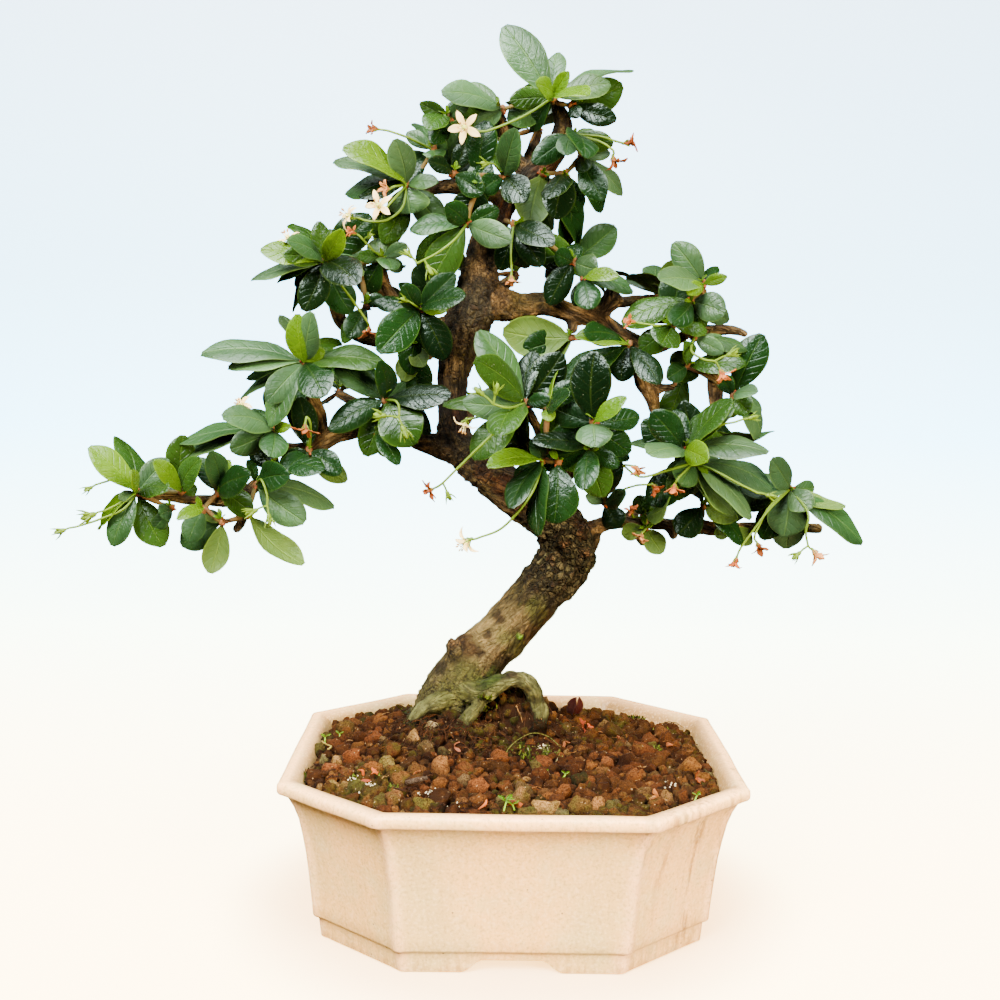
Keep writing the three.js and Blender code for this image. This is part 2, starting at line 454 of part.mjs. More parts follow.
// Flower stalks: spray, path [x, z, y], heads [kind, x, z, y, size, facing x, facing y, facing z].
const HEADS = [
  ['spray_crown_top', [[11, 327.5, -6], [0, 320.5, -11], [-14.5, 314.6, -13], [-18.5, 315.2, -13]],
    [['white', -23, 316, -15.5, 7.4, -0.15, -0.95, -0.15]]],
  ['spray_crown_left', [[-45.5, 293.5, -7], [-47, 285, -12], [-53, 280, -16], [-60, 279.3, -17], [-64.5, 280.5, -17]],
    [['white', -68.5, 281.5, -18, 5.6, -0.75, -0.4, 0.35]]],
  ['spray_crown_left', [[-45.5, 293.5, -7], [-50, 288.5, -16], [-53.5, 284.5, -19]],
    [['white', -56.5, 285.5, -21.5, 6.6, -0.2, -0.9, 0.1]]],
  ['spray_crown_left', [[-35, 307, -4], [-44.5, 311.5, -9], [-52, 314, -11]],
    [['wilted', -59, 315, -12, 4.6, -0.9, -0.2, 0.1]]],
  ['spray_crown_left', [[-45.5, 293.5, -8], [-50, 293, -15]],
    [['wilted', -53.8, 292.3, -18, 4.4, -0.6, -0.7, 0.1]]],
  ['spray_upper_left', [[-55, 264.5, 0], [-60, 269.5, -3], [-63.5, 273.2, -5]],
    [['wilted', -67, 275, -6, 4, -0.8, -0.4, 0.3],
      ['bud', -60.5, 273.2, -6, 3.4, 0.7, -0.3, 0.6]]],
  ['spray_upper_left', [[-78, 263, -6], [-73, 256.5, -17], [-66, 247.5, -18], [-61, 240.5, -16]],
    [['wilted', -60, 236, -15, 4.8, 0.1, -0.5, -0.8]]],
  ['spray_upper_left', [[-78, 263, -6], [-86, 268, -6], [-89, 270, -7]],
    [['white', -92, 272.4, -8, 5.6, -0.4, -0.3, 0.85]]],
  ['spray_crown_mid', [[-21.5, 279, -9], [-26, 273, -22], [-33, 267.5, -24], [-41, 263.3, -22]],
    [['bud', -44, 266.3, -22, 4.2, -0.8, -0.2, 0.5],
      ['bud', -36.5, 261.5, -24, 4.6, 0.6, -0.4, -0.6]]],
  ['spray_crown_mid', [[-7, 297.5, -8], [-11, 302, -12]], [['bud', -14, 302.3, -14, 4, -0.7, -0.5, 0.3]]],
  ['spray_inner', [[-53.5, 209, -10], [-49, 208.5, -19], [-47.8, 205, -21], [-48, 202, -21]],
    [['bud', -46, 197.3, -22, 5.4, 0.3, -0.3, -0.9],
      ['bud', -54.5, 202.7, -22, 5, -0.9, -0.3, 0.05]]],
  ['spray_left_mid', [[-105.5, 174, -9], [-103.5, 176, -18], [-101.3, 170, -21], [-101.2, 165.5, -21]],
    [['bud', -106.5, 163.2, -22, 5, -0.8, -0.2, -0.4],
      ['bud', -100.5, 160.8, -22, 4.6, 0.2, -0.2, -0.9]]],
  ['spray_left_tip', [[-154, 170, -9], [-160.5, 165.8, -12], [-167, 162.5, -13]],
    [['bud', -172.5, 160.5, -14, 6, -0.95, -0.1, -0.2]]],
  ['spray_left_tip', [[-154, 170, -10], [-159.5, 163.2, -14], [-170, 158.6, -15], [-179, 155.6, -15]],
    [['bud', -184.5, 154, -15, 4.6, -0.97, -0.1, -0.1]]],
  ['spray_left_tip', [[-154, 170, -9], [-161, 175.3, -13], [-168, 173.8, -14]],
    [['bud', -172.8, 171.6, -14, 3.8, -0.9, -0.1, -0.3]]],
  ['spray_left_inner', [[-98, 196, -7], [-105, 199.8, -10], [-108.5, 203.3, -11]],
    [['white', -111.3, 206.3, -12, 5.2, -0.4, -0.7, 0.4]]],
  ['spray_left_inner', [[-84, 188, -8], [-83.5, 199, -15], [-85, 201.8, -16]],
    [['wilted', -85.5, 196, -18, 5.6, 0.1, -0.3, -0.95]]],
  ['spray_front_left', [[-40, 245.5, -10], [-43, 247.5, -18]],
    [['bud', -45.5, 248.6, -20, 3.6, -0.8, -0.5, 0.2]]],
  ['spray_front_centre', [[3, 208.5, -34], [-4, 206.6, -46], [-10, 208, -48]],
    [['bud', -15, 212.3, -48, 4.6, -0.6, -0.2, 0.7],
      ['bud', -9, 213, -49, 4.4, 0.1, -0.3, 0.9]]],
  ['spray_front_centre', [[3, 208.5, -33], [-10, 196, -48], [-21.5, 184.5, -47], [-30, 175.8, -44]],
    [['wilted', -36, 172.2, -43, 4.6, -0.8, -0.4, -0.4],
      ['bud', -28, 171.5, -43, 4, 0.6, -0.1, -0.8]]],
  ['spray_front_centre', [[10.5, 185.5, -31], [6, 172, -45], [-5, 158.3, -42], [-16, 153.2, -38]],
    [['white', -20.5, 151.3, -37, 6.4, -0.7, 0.35, -0.6]]],
  ['spray_front_centre', [[3, 208.5, -33], [-15, 203, -36]],
    [['white', -21.5, 199.3, -36, 5.4, -0.3, 0, -0.95]]],
  ['spray_crown_right', [[19, 314, -6], [30, 313.4, -12], [36, 311.8, -13]],
    [['wilted', 42.5, 311.3, -13, 5.4, 0.95, -0.2, 0.1]]],
  ['spray_crown_right', [[19, 314, -6], [30, 311.5, -14], [35.6, 308.2, -15]],
    [['wilted', 36, 303.5, -15, 5.2, 0.15, -0.3, -0.95]]],
  ['spray_right_upper', [[61, 240.5, -9], [55, 240.3, -19], [50, 240.9, -20]],
    [['wilted', 44, 242, -20, 4.8, -0.9, -0.2, 0.2]]],
  ['spray_right_outer', [[70, 236, -7], [69, 230.5, -15], [74, 227.2, -17], [78.5, 226.6, -17]],
    [['wilted', 82, 220.8, -17, 5.4, 0.4, -0.3, -0.9],
      ['bud', 84.5, 229.3, -17, 4.6, 0.85, -0.1, 0.45]]],
  ['spray_right_low', [[71.5, 185.5, -14], [80, 182.5, -28], [90, 177.4, -30], [98, 173.6, -30]],
    [['bud', 102.5, 172.6, -30, 4, 0.95, -0.2, -0.1]]],
  ['spray_right_low', [[68, 190.5, -15], [80, 200, -27], [88, 202.4, -28]],
    [['bud', 94, 204, -28, 4, 0.95, -0.1, 0.2]]],
  ['spray_right_low', [[71.5, 185.5, -13], [60, 182, -26], [50, 179.5, -27], [43, 184, -27]],
    [['wilted', 49, 182.3, -32, 4.2, 0.3, -0.6, -0.5]]],
  ['spray_right_tip', [[111, 175.5, -4], [118.8, 166, -17], [118.3, 158, -17], [119.5, 152.2, -16]],
    [['wilted', 123.5, 148.2, -16, 5.8, 0.6, -0.3, -0.75],
      ['bud', 115.6, 148.8, -16, 4.4, -0.8, -0.2, -0.4]]],
  ['spray_right_tip', [[111, 175.5, -4], [103, 167, -15], [97, 158.5, -16], [92, 151, -15]],
    [['wilted', 90, 144.4, -15, 5.2, -0.2, -0.1, -0.97]]],
  ['spray_right_tip', [[111, 175.5, -4], [103, 168, -14], [97.5, 156.5, -16]],
    [['wilted', 99.6, 151, -17, 4.8, 0.3, -0.5, -0.75]]],
  ['spray_front_right', [[36, 168.5, -6], [43, 174, -13], [48.5, 176, -14]],
    [['wilted', 56.5, 174.6, -14, 4.6, 0.5, -0.4, -0.7]]],
  ['spray_knuckle_right', [[52, 163, 5], [47.5, 163, -1]],
    [['wilted', 46.8, 166, -3, 4.4, -0.2, -0.5, 0.8]]],
  ['spray_knuckle_right', [[53, 158.5, 6], [52, 157, 0]],
    [['wilted', 51.3, 154.6, -2, 4, -0.1, -0.5, -0.85]]],
  ['spray_right_low', [[71.5, 185.5, -13], [66, 180, -26]],
    [['wilted', 63.8, 174.5, -27, 4.8, -0.2, -0.4, -0.9]]],
  ['spray_crown_low_right', [[-3, 279, -5], [-4, 268, -12], [-3.6, 262.5, -13]],
    [['wilted', -3.6, 256.8, -14, 4.8, 0, -0.3, -0.95]]],
];

// Repeatable random numbers in 0..1
function dice(seed) {
  let a = seed >>> 0;
  return () => {
    a = (a + 0x6d2b79f5) >>> 0;
    let t = a;
    t = Math.imul(t ^ (t >>> 15), t | 1);
    t ^= t + Math.imul(t ^ (t >>> 7), t | 61);
    return ((t ^ (t >>> 14)) >>> 0) / 4294967296;
  };
}

// A point of the front view at depth y
function place(x, z, y) {
  const k = (y - VIEWER.y) / -VIEWER.y;
  return new THREE.Vector3(VIEWER.x + (x - VIEWER.x) * k, y, VIEWER.z + (z - VIEWER.z) * k);
}

const depthScale = (y) => (y - VIEWER.y) / -VIEWER.y;

const readPath = (rows) => rows.map(([x, z, y, r]) => ({ p: place(x, z, y), r: r * depthScale(y) }));

// Solids

function geometryOf(points, faces) {
  const geometry = new THREE.BufferGeometry();
  geometry.setAttribute('position', new THREE.Float32BufferAttribute(points.flat(), 3));
  geometry.setIndex(faces.flat());
  return geometry;
}

function solidOf(geometry) {
  const bare = geometry.clone();
  bare.deleteAttribute('normal');
  bare.deleteAttribute('uv');
  const merged = mergeVertices(bare, 1e-5);
  return new wasm.Manifold(new wasm.Mesh({
    numProp: 3,
    vertProperties: new Float32Array(merged.attributes.position.array),
    triVerts: new Uint32Array(merged.index.array),
  }));
}

function geometryFrom(solid) {
  const mesh = solid.getMesh();
  const geometry = new THREE.BufferGeometry();
  geometry.setAttribute('position', new THREE.BufferAttribute(new Float32Array(mesh.vertProperties), 3));
  geometry.setIndex(new THREE.BufferAttribute(new Uint32Array(mesh.triVerts), 1));
  geometry.computeVertexNormals();
  return geometry;
}

const join = (solids) => solids.reduce((sum, solid) => sum.add(solid));

// The largest closed body of a solid: loose scraps are dropped
function largest(solid) {
  const pieces = solid.decompose();
  return pieces.reduce((best, piece) => (piece.volume() > best.volume() ? piece : best));
}

// Closed skin through rings of equal length, first and last ring capped
function loft(rings) {
  const n = rings[0].length;
  const points = rings.flat().map((p) => (p.isVector3 ? p.toArray() : p));
  const faces = [];
  for (let i = 0; i + 1 < rings.length; i += 1) {
    for (let j = 0; j < n; j += 1) {
      const a = i * n + j;
      const b = i * n + ((j + 1) % n);
      faces.push([a, b, b + n], [a, b + n, a + n]);
    }
  }
  const cap = (offset, flip) => {
    const centre = [0, 1, 2].map((k) => {
      let sum = 0;
      for (let j = 0; j < n; j += 1) sum += points[offset + j][k];
      return sum / n;
    });
    points.push(centre);
    const c = points.length - 1;
    for (let j = 0; j < n; j += 1) {
      const a = offset + j;
      const b = offset + ((j + 1) % n);
      faces.push(flip ? [c, b, a] : [c, a, b]);
    }
  };
  cap(0, true);
  cap((rings.length - 1) * n, false);
  return geometryOf(points, faces);
}

// Rings carried along a path without twisting; radiusAt(i, angle) gives the section
function sweep(path, sides, radiusAt) {
  let side = null;
  const rings = path.map((node, i) => {
    const before = path[Math.max(i - 1, 0)].p;
    const after = path[Math.min(i + 1, path.length - 1)].p;
    const along = after.clone().sub(before).normalize();
    if (!side) {
      side = Math.abs(along.z) > 0.9 ? new THREE.Vector3(1, 0, 0) : new THREE.Vector3(0, 0, 1);
    }
    side = side.clone().addScaledVector(along, -side.dot(along)).normalize();
    const up = along.clone().cross(side);
    const ring = [];
    for (let j = 0; j < sides; j += 1) {
      const angle = (j / sides) * 2 * Math.PI;
      const r = radiusAt(i, angle);
      ring.push(node.p.clone().addScaledVector(side, r * Math.cos(angle)).addScaledVector(up, r * Math.sin(angle)));
    }
    return ring;
  });
  return loft(rings);
}

// A smooth path through the read points, one step every so many millimetres
function smoothPath(nodes, step) {
  const curve = new THREE.CatmullRomCurve3(nodes.map((n) => n.p), false, 'centripetal');
  const out = [];
  for (let i = 0; i + 1 < nodes.length; i += 1) {
    const length = nodes[i].p.distanceTo(nodes[i + 1].p);
    const count = Math.max(1, Math.round(length / step));
    for (let k = 0; k < count; k += 1) {
      const f = k / count;
      const p = curve.getPoint((i + f) / (nodes.length - 1));
      out.push({ p, r: nodes[i].r + (nodes[i + 1].r - nodes[i].r) * f });
    }
  }
  const last = nodes[nodes.length - 1];
  out.push({ p: last.p.clone(), r: last.r });
  return out;
}

// Pot

// Eight-sided outline with a soft rib at each corner
function potRing(inset, z, rib) {
  const a = POT_HALF_LENGTH - inset;
  const b = POT_HALF_DEPTH - inset;
  const cx = POT_CUT_LENGTH - inset * 0.4;
  const cy = POT_CUT_DEPTH - inset * 0.4;
  const corners = [
    [a, -(b - cy)], [a, b - cy], [a - cx, b], [-(a - cx), b],
    [-a, b - cy], [-a, -(b - cy)], [-(a - cx), -b], [a - cx, -b],
  ];
  const ring = [];
  corners.forEach(([x, y], i) => {
    const [px, py] = corners[(i + 7) % 8];
    const [nx, ny] = corners[(i + 1) % 8];
    const back = Math.hypot(x - px, y - py);
    const ahead = Math.hypot(nx - x, ny - y);
    const reach = 3;
    const out = Math.hypot(x, y);
    ring.push([x + ((px - x) / back) * reach, y + ((py - y) / back) * reach, z]);
    ring.push([x + (x / out) * rib, y + (y / out) * rib, z]);
    ring.push([x + ((nx - x) / ahead) * reach, y + ((ny - y) / ahead) * reach, z]);
  });
  return ring;
}

// The shallow arch between two feet, cut right through the pot along one axis
function archCut(reach, axis) {
  const bottom = ARCH_HALF_BOTTOM + 4;
  const section = [[-bottom, -2], [bottom, -2], [ARCH_HALF_TOP, ARCH_HEIGHT], [-ARCH_HALF_TOP, ARCH_HEIGHT]];
  const ring = (at) => section.map(([s, z]) => (axis === 'y' ? [s, at, z] : [at, -s, z]));
  return solidOf(loft([ring(reach), ring(-reach)]));
}

function makePot() {
  const body = solidOf(loft(POT_PROFILE.map(([z, inset]) => potRing(inset, z, z > 60.8 ? 0 : -0.2))));
  const inside = [
    [POT_FLOOR, 21], [40, 15.5], [POT_HEIGHT + 2, POT_WALL],
  ];
  const hollow = solidOf(loft(inside.map(([z, inset]) => potRing(inset, z, 0))));
  const under = solidOf(loft([-2, FOOT_RECESS].map((z) => potRing(15.5 + FOOT_WIDTH, z, 0))));
  let pot = body.subtract(hollow).subtract(under);
  pot = pot.subtract(archCut(POT_HALF_DEPTH + 5, 'y')).subtract(archCut(POT_HALF_LENGTH + 5, 'x'));
  for (const x of [-DRAIN_SPACING, DRAIN_SPACING]) {
    const hole = new THREE.CylinderGeometry(DRAIN_RADIUS, DRAIN_RADIUS, POT_FLOOR * 3, 12);
    hole.rotateX(Math.PI / 2);
    hole.translate(x, 0, POT_FLOOR);
    pot = pot.subtract(solidOf(hole));
  }
  return largest(pot);
}

// Wood

const wood = WOOD.map(([name, rows]) => ({ name, nodes: readPath(rows) }));
const stubs = STUBS.map(readPath);
const roots = ROOTS.map(readPath);

// Bark: slow swellings and lengthwise furrows, larger than life
function barkRadius(r, i, angle, phase) {
  const furrow = Math.sin(angle * 3 + i * 0.35 + phase) * 0.035 + Math.sin(angle * 5 - i * 0.8 + phase * 2) * 0.03;
  const swell = Math.sin(i * 1.7 + phase) * 0.03;
  return r * (1 + furrow + swell);
}

function woodSolid(nodes, sides, step, extra, phase, roundEnd) {
  const path = smoothPath(nodes, step);
  if (roundEnd) {
    const n = path.length;
    const along = path[n - 1].p.clone().sub(path[n - 2].p).normalize();
    const end = path[n - 1];
    path.push({ p: end.p.clone().addScaledVector(along, end.r * 0.55), r: end.r * 0.6 });
  }
  const radiusAt = (i, angle) => barkRadius(path[i].r, i, angle, phase) + extra;
  return solidOf(sweep(path, sides, radiusAt));
}

function makeTrunk(extra) {
  const solids = wood.map(({ name, nodes }, i) => {
    const main = name === 'trunk';
    return woodSolid(nodes, main ? WOOD_SIDES.trunk : WOOD_SIDES.limb, main ? WOOD_STEPS.trunk : WOOD_STEPS.limb, extra, i * 1.3, !main);
  });
  stubs.forEach((nodes, i) => solids.push(woodSolid(nodes, WOOD_SIDES.stub, WOOD_STEPS.stub, extra, i * 0.9, false)));
  roots.forEach((nodes, i) => solids.push(woodSolid(nodes, WOOD_SIDES.root, WOOD_STEPS.root, extra, i * 1.1, false)));
  return join(solids);
}

// Only what goes into the soil, a little fatter, to make its hole there
function makeRootHole() {
  const solids = [woodSolid(wood[0].nodes.slice(0, 6), WOOD_SIDES.trunk, WOOD_STEPS.trunk, GAP, 0, false)];
  roots.forEach((nodes, i) => solids.push(woodSolid(nodes, WOOD_SIDES.root, WOOD_STEPS.root, GAP, i * 1.1, false)));
  return join(solids);
}

// Soil

// Height of the granules' tops at (x, y): a mound round the trunk with rounded grains on it
function soilHeight(x, y) {
  const dx = (x - SOIL_CENTRE[0]) / 46;
  const dy = (y - SOIL_CENTRE[1]) / 40;
  const mound = SOIL_MOUND * Math.exp(-(dx * dx + dy * dy));
  const grain = Math.sin(x * 0.83 + Math.sin(y * 0.61) * 1.7) * Math.sin(y * 0.77 + Math.sin(x * 0.53) * 1.9);
  return SOIL_EDGE + mound + grain * 1.1;
}

function makeSoil() {
  const outline = potRing(SOIL_INSET, 0, 0);
  const perimeter = [];
  for (let j = 0; j < SOIL_SIDES; j += 1) {
    const angle = (j / SOIL_SIDES) * 2 * Math.PI;
    perimeter.push(rayToOutline(outline, angle));
  }
  const points = [];
  const faces = [];
  for (let i = 1; i <= SOIL_RINGS; i += 1) {
    const f = i / SOIL_RINGS;
    perimeter.forEach(([px, py]) => {
      const x = px * f;
      const y = py * f;
      points.push([x, y, soilHeight(x, y)]);
    });
  }
  points.push([0, 0, soilHeight(0, 0)]);
  const top = points.length - 1;
  const n = SOIL_SIDES;
  for (let j = 0; j < n; j += 1) {
    faces.push([top, j, (j + 1) % n]);
  }
  for (let i = 0; i + 1 < SOIL_RINGS; i += 1) {
    for (let j = 0; j < n; j += 1) {
      const a = i * n + j;
      const b = i * n + ((j + 1) % n);
      faces.push([a, a + n, b + n], [a, b + n, b]);
    }
  }
  // Sides follow the inside of the pot down to its floor
  const levels = [[40, 16.2], [POT_FLOOR + GAP, 21.7]];
  let previous = (SOIL_RINGS - 1) * n;
  levels.forEach(([z, inset]) => {
    const shape = potRing(inset, 0, 0);
    const first = points.length;
    for (let j = 0; j < n; j += 1) {
      const [x, y] = rayToOutline(shape, (j / n) * 2 * Math.PI);
      points.push([x, y, z]);
    }
    for (let j = 0; j < n; j += 1) {
      const a = previous + j;
      const b = previous + ((j + 1) % n);
      const c = first + j;
      const d = first + ((j + 1) % n);
      faces.push([a, c, d], [a, d, b]);
    }
    previous = first;
  });
  points.push([0, 0, POT_FLOOR + GAP]);
  const bottom = points.length - 1;
  for (let j = 0; j < n; j += 1) {
    faces.push([bottom, previous + ((j + 1) % n), previous + j]);
  }
  return largest(solidOf(geometryOf(points, faces)).subtract(makeRootHole()));
}

// Where a ray from the middle at this angle leaves a closed outline
function rayToOutline(outline, angle) {
  const dx = Math.cos(angle);
  const dy = Math.sin(angle);
  let best = 0;
  outline.forEach(([x0, y0], i) => {
    const [x1, y1] = outline[(i + 1) % outline.length];
    const ex = x1 - x0;
    const ey = y1 - y0;
    const det = dx * ey - dy * ex;
    if (Math.abs(det) < 1e-9) return;
    const t = (x0 * ey - y0 * ex) / det;
    const s = (x0 * dy - y0 * dx) / det;
    if (s >= -1e-9 && s <= 1 + 1e-9 && t > best) best = t;
  });
  return [dx * best, dy * best];
}

// Leaves: where each one goes

const bars = [];

function addBars(nodes, owner) {
  for (let i = 0; i + 1 < nodes.length; i += 1) {
    bars.push({ a: nodes[i].p, b: nodes[i + 1].p, ra: nodes[i].r, rb: nodes[i + 1].r, owner });
  }
}

wood.forEach(({ nodes }) => addBars(nodes, 'wood'));
stubs.forEach((nodes) => addBars(nodes, 'wood'));
roots.forEach((nodes) => addBars(nodes, 'wood'));

// Nearest point of a bar to p, the bar's radius there and the free distance to its surface
function nearest(bar, p) {
  const d = bar.b.clone().sub(bar.a);
  const t = Math.min(1, Math.max(0, p.clone().sub(bar.a).dot(d) / d.lengthSq()));
  const at = bar.a.clone().addScaledVector(d, t);
  const r = bar.ra + (bar.rb - bar.ra) * t;
  return { at, r, free: at.distanceTo(p) - r };
}

function freeOf(owner, p) {
  let free = 1e9;
  bars.forEach((bar) => {
    if (bar.owner === owner) free = Math.min(free, nearest(bar, p).free);
  });
  return free;
}

// Rosette centres stand clear of the wood, moved towards the viewer where they must
function settle(x, z, y) {
  let depth = y;
  for (let k = 0; k < 14 && freeOf('wood', place(x, z, depth)) < 2.2; k += 1) depth -= 1;
  return depth;
}

const sprays = [];
const rowsOfBack = BACK.map(([name, rows], s) => {
  const random = dice(900 + s);
  return [name, rows.map(([x, z, y, count, length, lift]) => {
    const centre = place(x, z, y);
    const leaves = [];
    for (let i = 0; i < count; i += 1) {
      const turn = i * 2.39996 + s;
      const el = ((lift - 30 + 60 * random()) * Math.PI) / 180;
      const reach = length * (0.85 + 0.3 * random()) * (Math.sin(turn) < -0.3 ? 0.8 : 1);
      const tip = centre.clone().add(new THREE.Vector3(
        Math.cos(turn) * Math.cos(el) * reach,
        Math.sin(turn) * Math.cos(el) * reach,
        Math.sin(el) * reach,
      ));
      leaves.push({ tip, seen: 0 });
    }
    return { centre, leaves };
  })];
});

SPRAYS.forEach(([name, rows]) => {
  const rosettes = rows.map(([[x, z, y], leaves]) => {
    const depth = settle(x, z, y);
    return {
      centre: place(x, z, depth),
      leaves: leaves.map(([tx, tz, dy, seen]) => ({
        tip: place(tx, tz, depth + dy),
        seen: seen * depthScale(depth + dy * 0.5),
      })),
    };
  });
  sprays.push({ name, rosettes, twigs: [], blades: [], stalks: [] });
});
rowsOfBack.forEach(([name, rosettes]) => sprays.push({ name, rosettes, twigs: [], blades: [], stalks: [] }));

// Free distance to the wood along a straight twig
function freeAlong(a, b) {
  let free = 1e9;
  for (let k = 0; k <= 8; k += 1) free = Math.min(free, freeOf('wood', a.clone().lerp(b, k / 8)));
  return free;
}

// The nearest point of the spray's own twigs from which a new one stays clear of the wood
function ownStart(twigs, centre) {
  let best = null;
  twigs.forEach(({ a, b }) => {
    for (let k = 0; k <= 10; k += 1) {
      const at = a.clone().lerp(b, k / 10);
      const free = Math.min(1.9, freeAlong(at, centre));
      const length = at.distanceTo(centre);
      if (!best || free > best.free + 0.01 || (free > best.free - 0.01 && length < best.length)) {
        best = { at, free, length };
      }
    }
  });
  return best.at;
}

// The first rosette's twig stands in the nearest limb, the others branch from it
sprays.forEach((spray) => {
  spray.rosettes.forEach(({ centre }) => {
    if (spray.twigs.length) {
      spray.twigs.push({ a: ownStart(spray.twigs, centre), b: centre, ra: TWIG_RADIUS, rb: TWIG_RADIUS, owner: spray.name });
      return;
    }
    let best = null;
    bars.forEach((bar) => {
      if (bar.owner !== 'wood') return;
      const hit = nearest(bar, centre);
      if (!best || hit.free < best.free) best = hit;
    });
    const way = centre.clone().sub(best.at).normalize();
    const radius = Math.min(TWIG_RADIUS, best.r * 0.5);
    const start = best.at.clone().addScaledVector(way, best.r * 0.4);
    spray.twigs.push({ a: start, b: centre, ra: radius, rb: radius, owner: spray.name, seat: true });
  });
});
sprays.forEach((spray) => spray.twigs.forEach((twig) => bars.push(twig)));

// Flower heads on their stalks
const balls = [];
const blooms = [];
HEADS.forEach(([name, path, heads]) => {
  const spray = sprays.find((s) => s.name === name);
  const points = path.map(([x, z, y]) => place(x, z, y));
  const home = spray.rosettes.reduce((best, { centre }) => (
    centre.distanceTo(points[0]) < best.distanceTo(points[0]) ? centre : best), spray.rosettes[0].centre);
  points[0] = home.clone();
  spray.stalks.push({ points, heads: [] });
  const stalk = spray.stalks[spray.stalks.length - 1];
  for (let i = 0; i + 1 < points.length; i += 1) {
    const bar = { a: points[i], b: points[i + 1], ra: STALK_RADIUS, rb: STALK_RADIUS, owner: `${name}_stalk` };
    bars.push(bar);
  }
  heads.forEach(([kind, x, z, y, size, fx, fy, fz]) => {
    const at = place(x, z, y);
    const facing = new THREE.Vector3(fx, fy, fz).normalize();
    balls.push({ at, r: kind === 'bud' ? size * 0.4 : size * 0.8 });
    if (kind === 'bud') stalk.heads.push({ at, size });
    else blooms.push({ kind, at, size, facing, from: points[points.length - 1], name });
  });
});

// Half width of a blade along its length, narrow at the stem, widest near the tip
const BLADE = [[0, 0.13], [0.44, 0.74], [0.8, 1], [1, 0]];

function bladeFrame(base, tip, seen, up) {
  const along = tip.clone().sub(base);
  const length = along.length();
  along.divideScalar(length);
  const middle = base.clone().add(tip).multiplyScalar(0.5);
  const sight = VIEWER.clone().sub(middle).normalize();
  const width = Math.min(16, Math.max(seen, length * 0.4));
  let side;
  if (up) {
    side = along.clone().cross(new THREE.Vector3(0, 0, 1)).normalize();
  } else {
    side = along.clone().cross(sight).normalize();
  }
  let normal = side.clone().cross(along);
  if (!up) {
    const roll = Math.acos(Math.min(1, seen / width));
    const one = side.clone().applyAxisAngle(along, roll).cross(along);
    const two = side.clone().applyAxisAngle(along, -roll).cross(along);
    const turn = one.z > two.z ? roll : -roll;
    side.applyAxisAngle(along, turn);
    normal = side.clone().cross(along);
  }
  return { base, tip, along, length, side, normal, width, seen, arch: 0.07 };
}

// A point of the blade: s along it, t across it (-1..1), h above its middle
function onBlade(f, s, t, h, half) {
  const bow = f.arch * f.length * 4 * s * (1 - s);
  return f.base.clone()
    .addScaledVector(f.along, f.length * s)
    .addScaledVector(f.side, t * half * f.width * 0.5)
    .addScaledVector(f.normal, h + bow);
}

function halfAt(s) {
  for (let i = 0; i + 1 < BLADE.length; i += 1) {
    const [s0, w0] = BLADE[i];
    const [s1, w1] = BLADE[i + 1];
    if (s <= s1) return w0 + ((w1 - w0) * (s - s0)) / (s1 - s0);
  }
  return 0;
}

function probes(f) {
  const out = [];
  for (let i = 0; i < 9; i += 1) {
    const s = 0.16 + (0.84 * i) / 8;
    const half = halfAt(s);
    for (let t = -1; t <= 1; t += 0.5) out.push(onBlade(f, s, t, 0, half));
  }
  return out;
}

const placed = [];

function closest(a, b) {
  let d2 = 1e9;
  a.forEach((p) => b.forEach((q) => {
    d2 = Math.min(d2, p.distanceToSquared(q));
  }));
  return Math.sqrt(d2);
}

// A blade keeps clear of wood, twigs, stalks, flowers and the blades of other sprays
function roomFor(points, name) {
  for (const p of points) {
    if (freeOf('wood', p) < 1.3) return -1;
    if (p.z < SOIL_EDGE + SOIL_MOUND + 3 && Math.abs(p.x) < 95) return -1;
    for (const ball of balls) {
      if (ball.at.distanceTo(p) < ball.r + 1) return -1;
    }
  }
  for (const bar of bars) {
    if (bar.owner === 'wood' || bar.owner === name || bar.owner === `${name}_stalk`) continue;
    for (const p of points) {
      if (nearest(bar, p).free < 1.6) return -1;
    }
  }
  let own = 1e9;
  const centre = points[22];
  for (const other of placed) {
    if (other.points[22].distanceTo(centre) > 38) continue;
    const d = closest(points, other.points);
    if (other.name === name) own = Math.min(own, d);
    else if (d < BLADE_CLEARANCE) return -1;
  }
  return own;
}

const SHIFTS = [0, -4, 4, -8, 8, -12, 12, -16, 16, -20, 20];
sprays.forEach((spray) => {
  spray.rosettes.forEach(({ centre, leaves }) => {
    leaves.forEach(({ tip, seen }) => {
      let best = null;
      for (const shift of SHIFTS) {
        const sight = VIEWER.clone().sub(tip).normalize();
        const end = tip.clone().addScaledVector(sight, shift);
        const frame = bladeFrame(centre, end, seen, seen === 0);
        const points = probes(frame);
        const room = roomFor(points, spray.name);
        if (room < 0) continue;
        if (!best || room > best.room) best = { frame, points, room };
        if (room > 1.5) break;
      }
      if (!best) return;
      placed.push({ name: spray.name, points: best.points });
      spray.blades.push(best.frame);
    });
  });
});

// Leaf, twig, stalk and flower solids

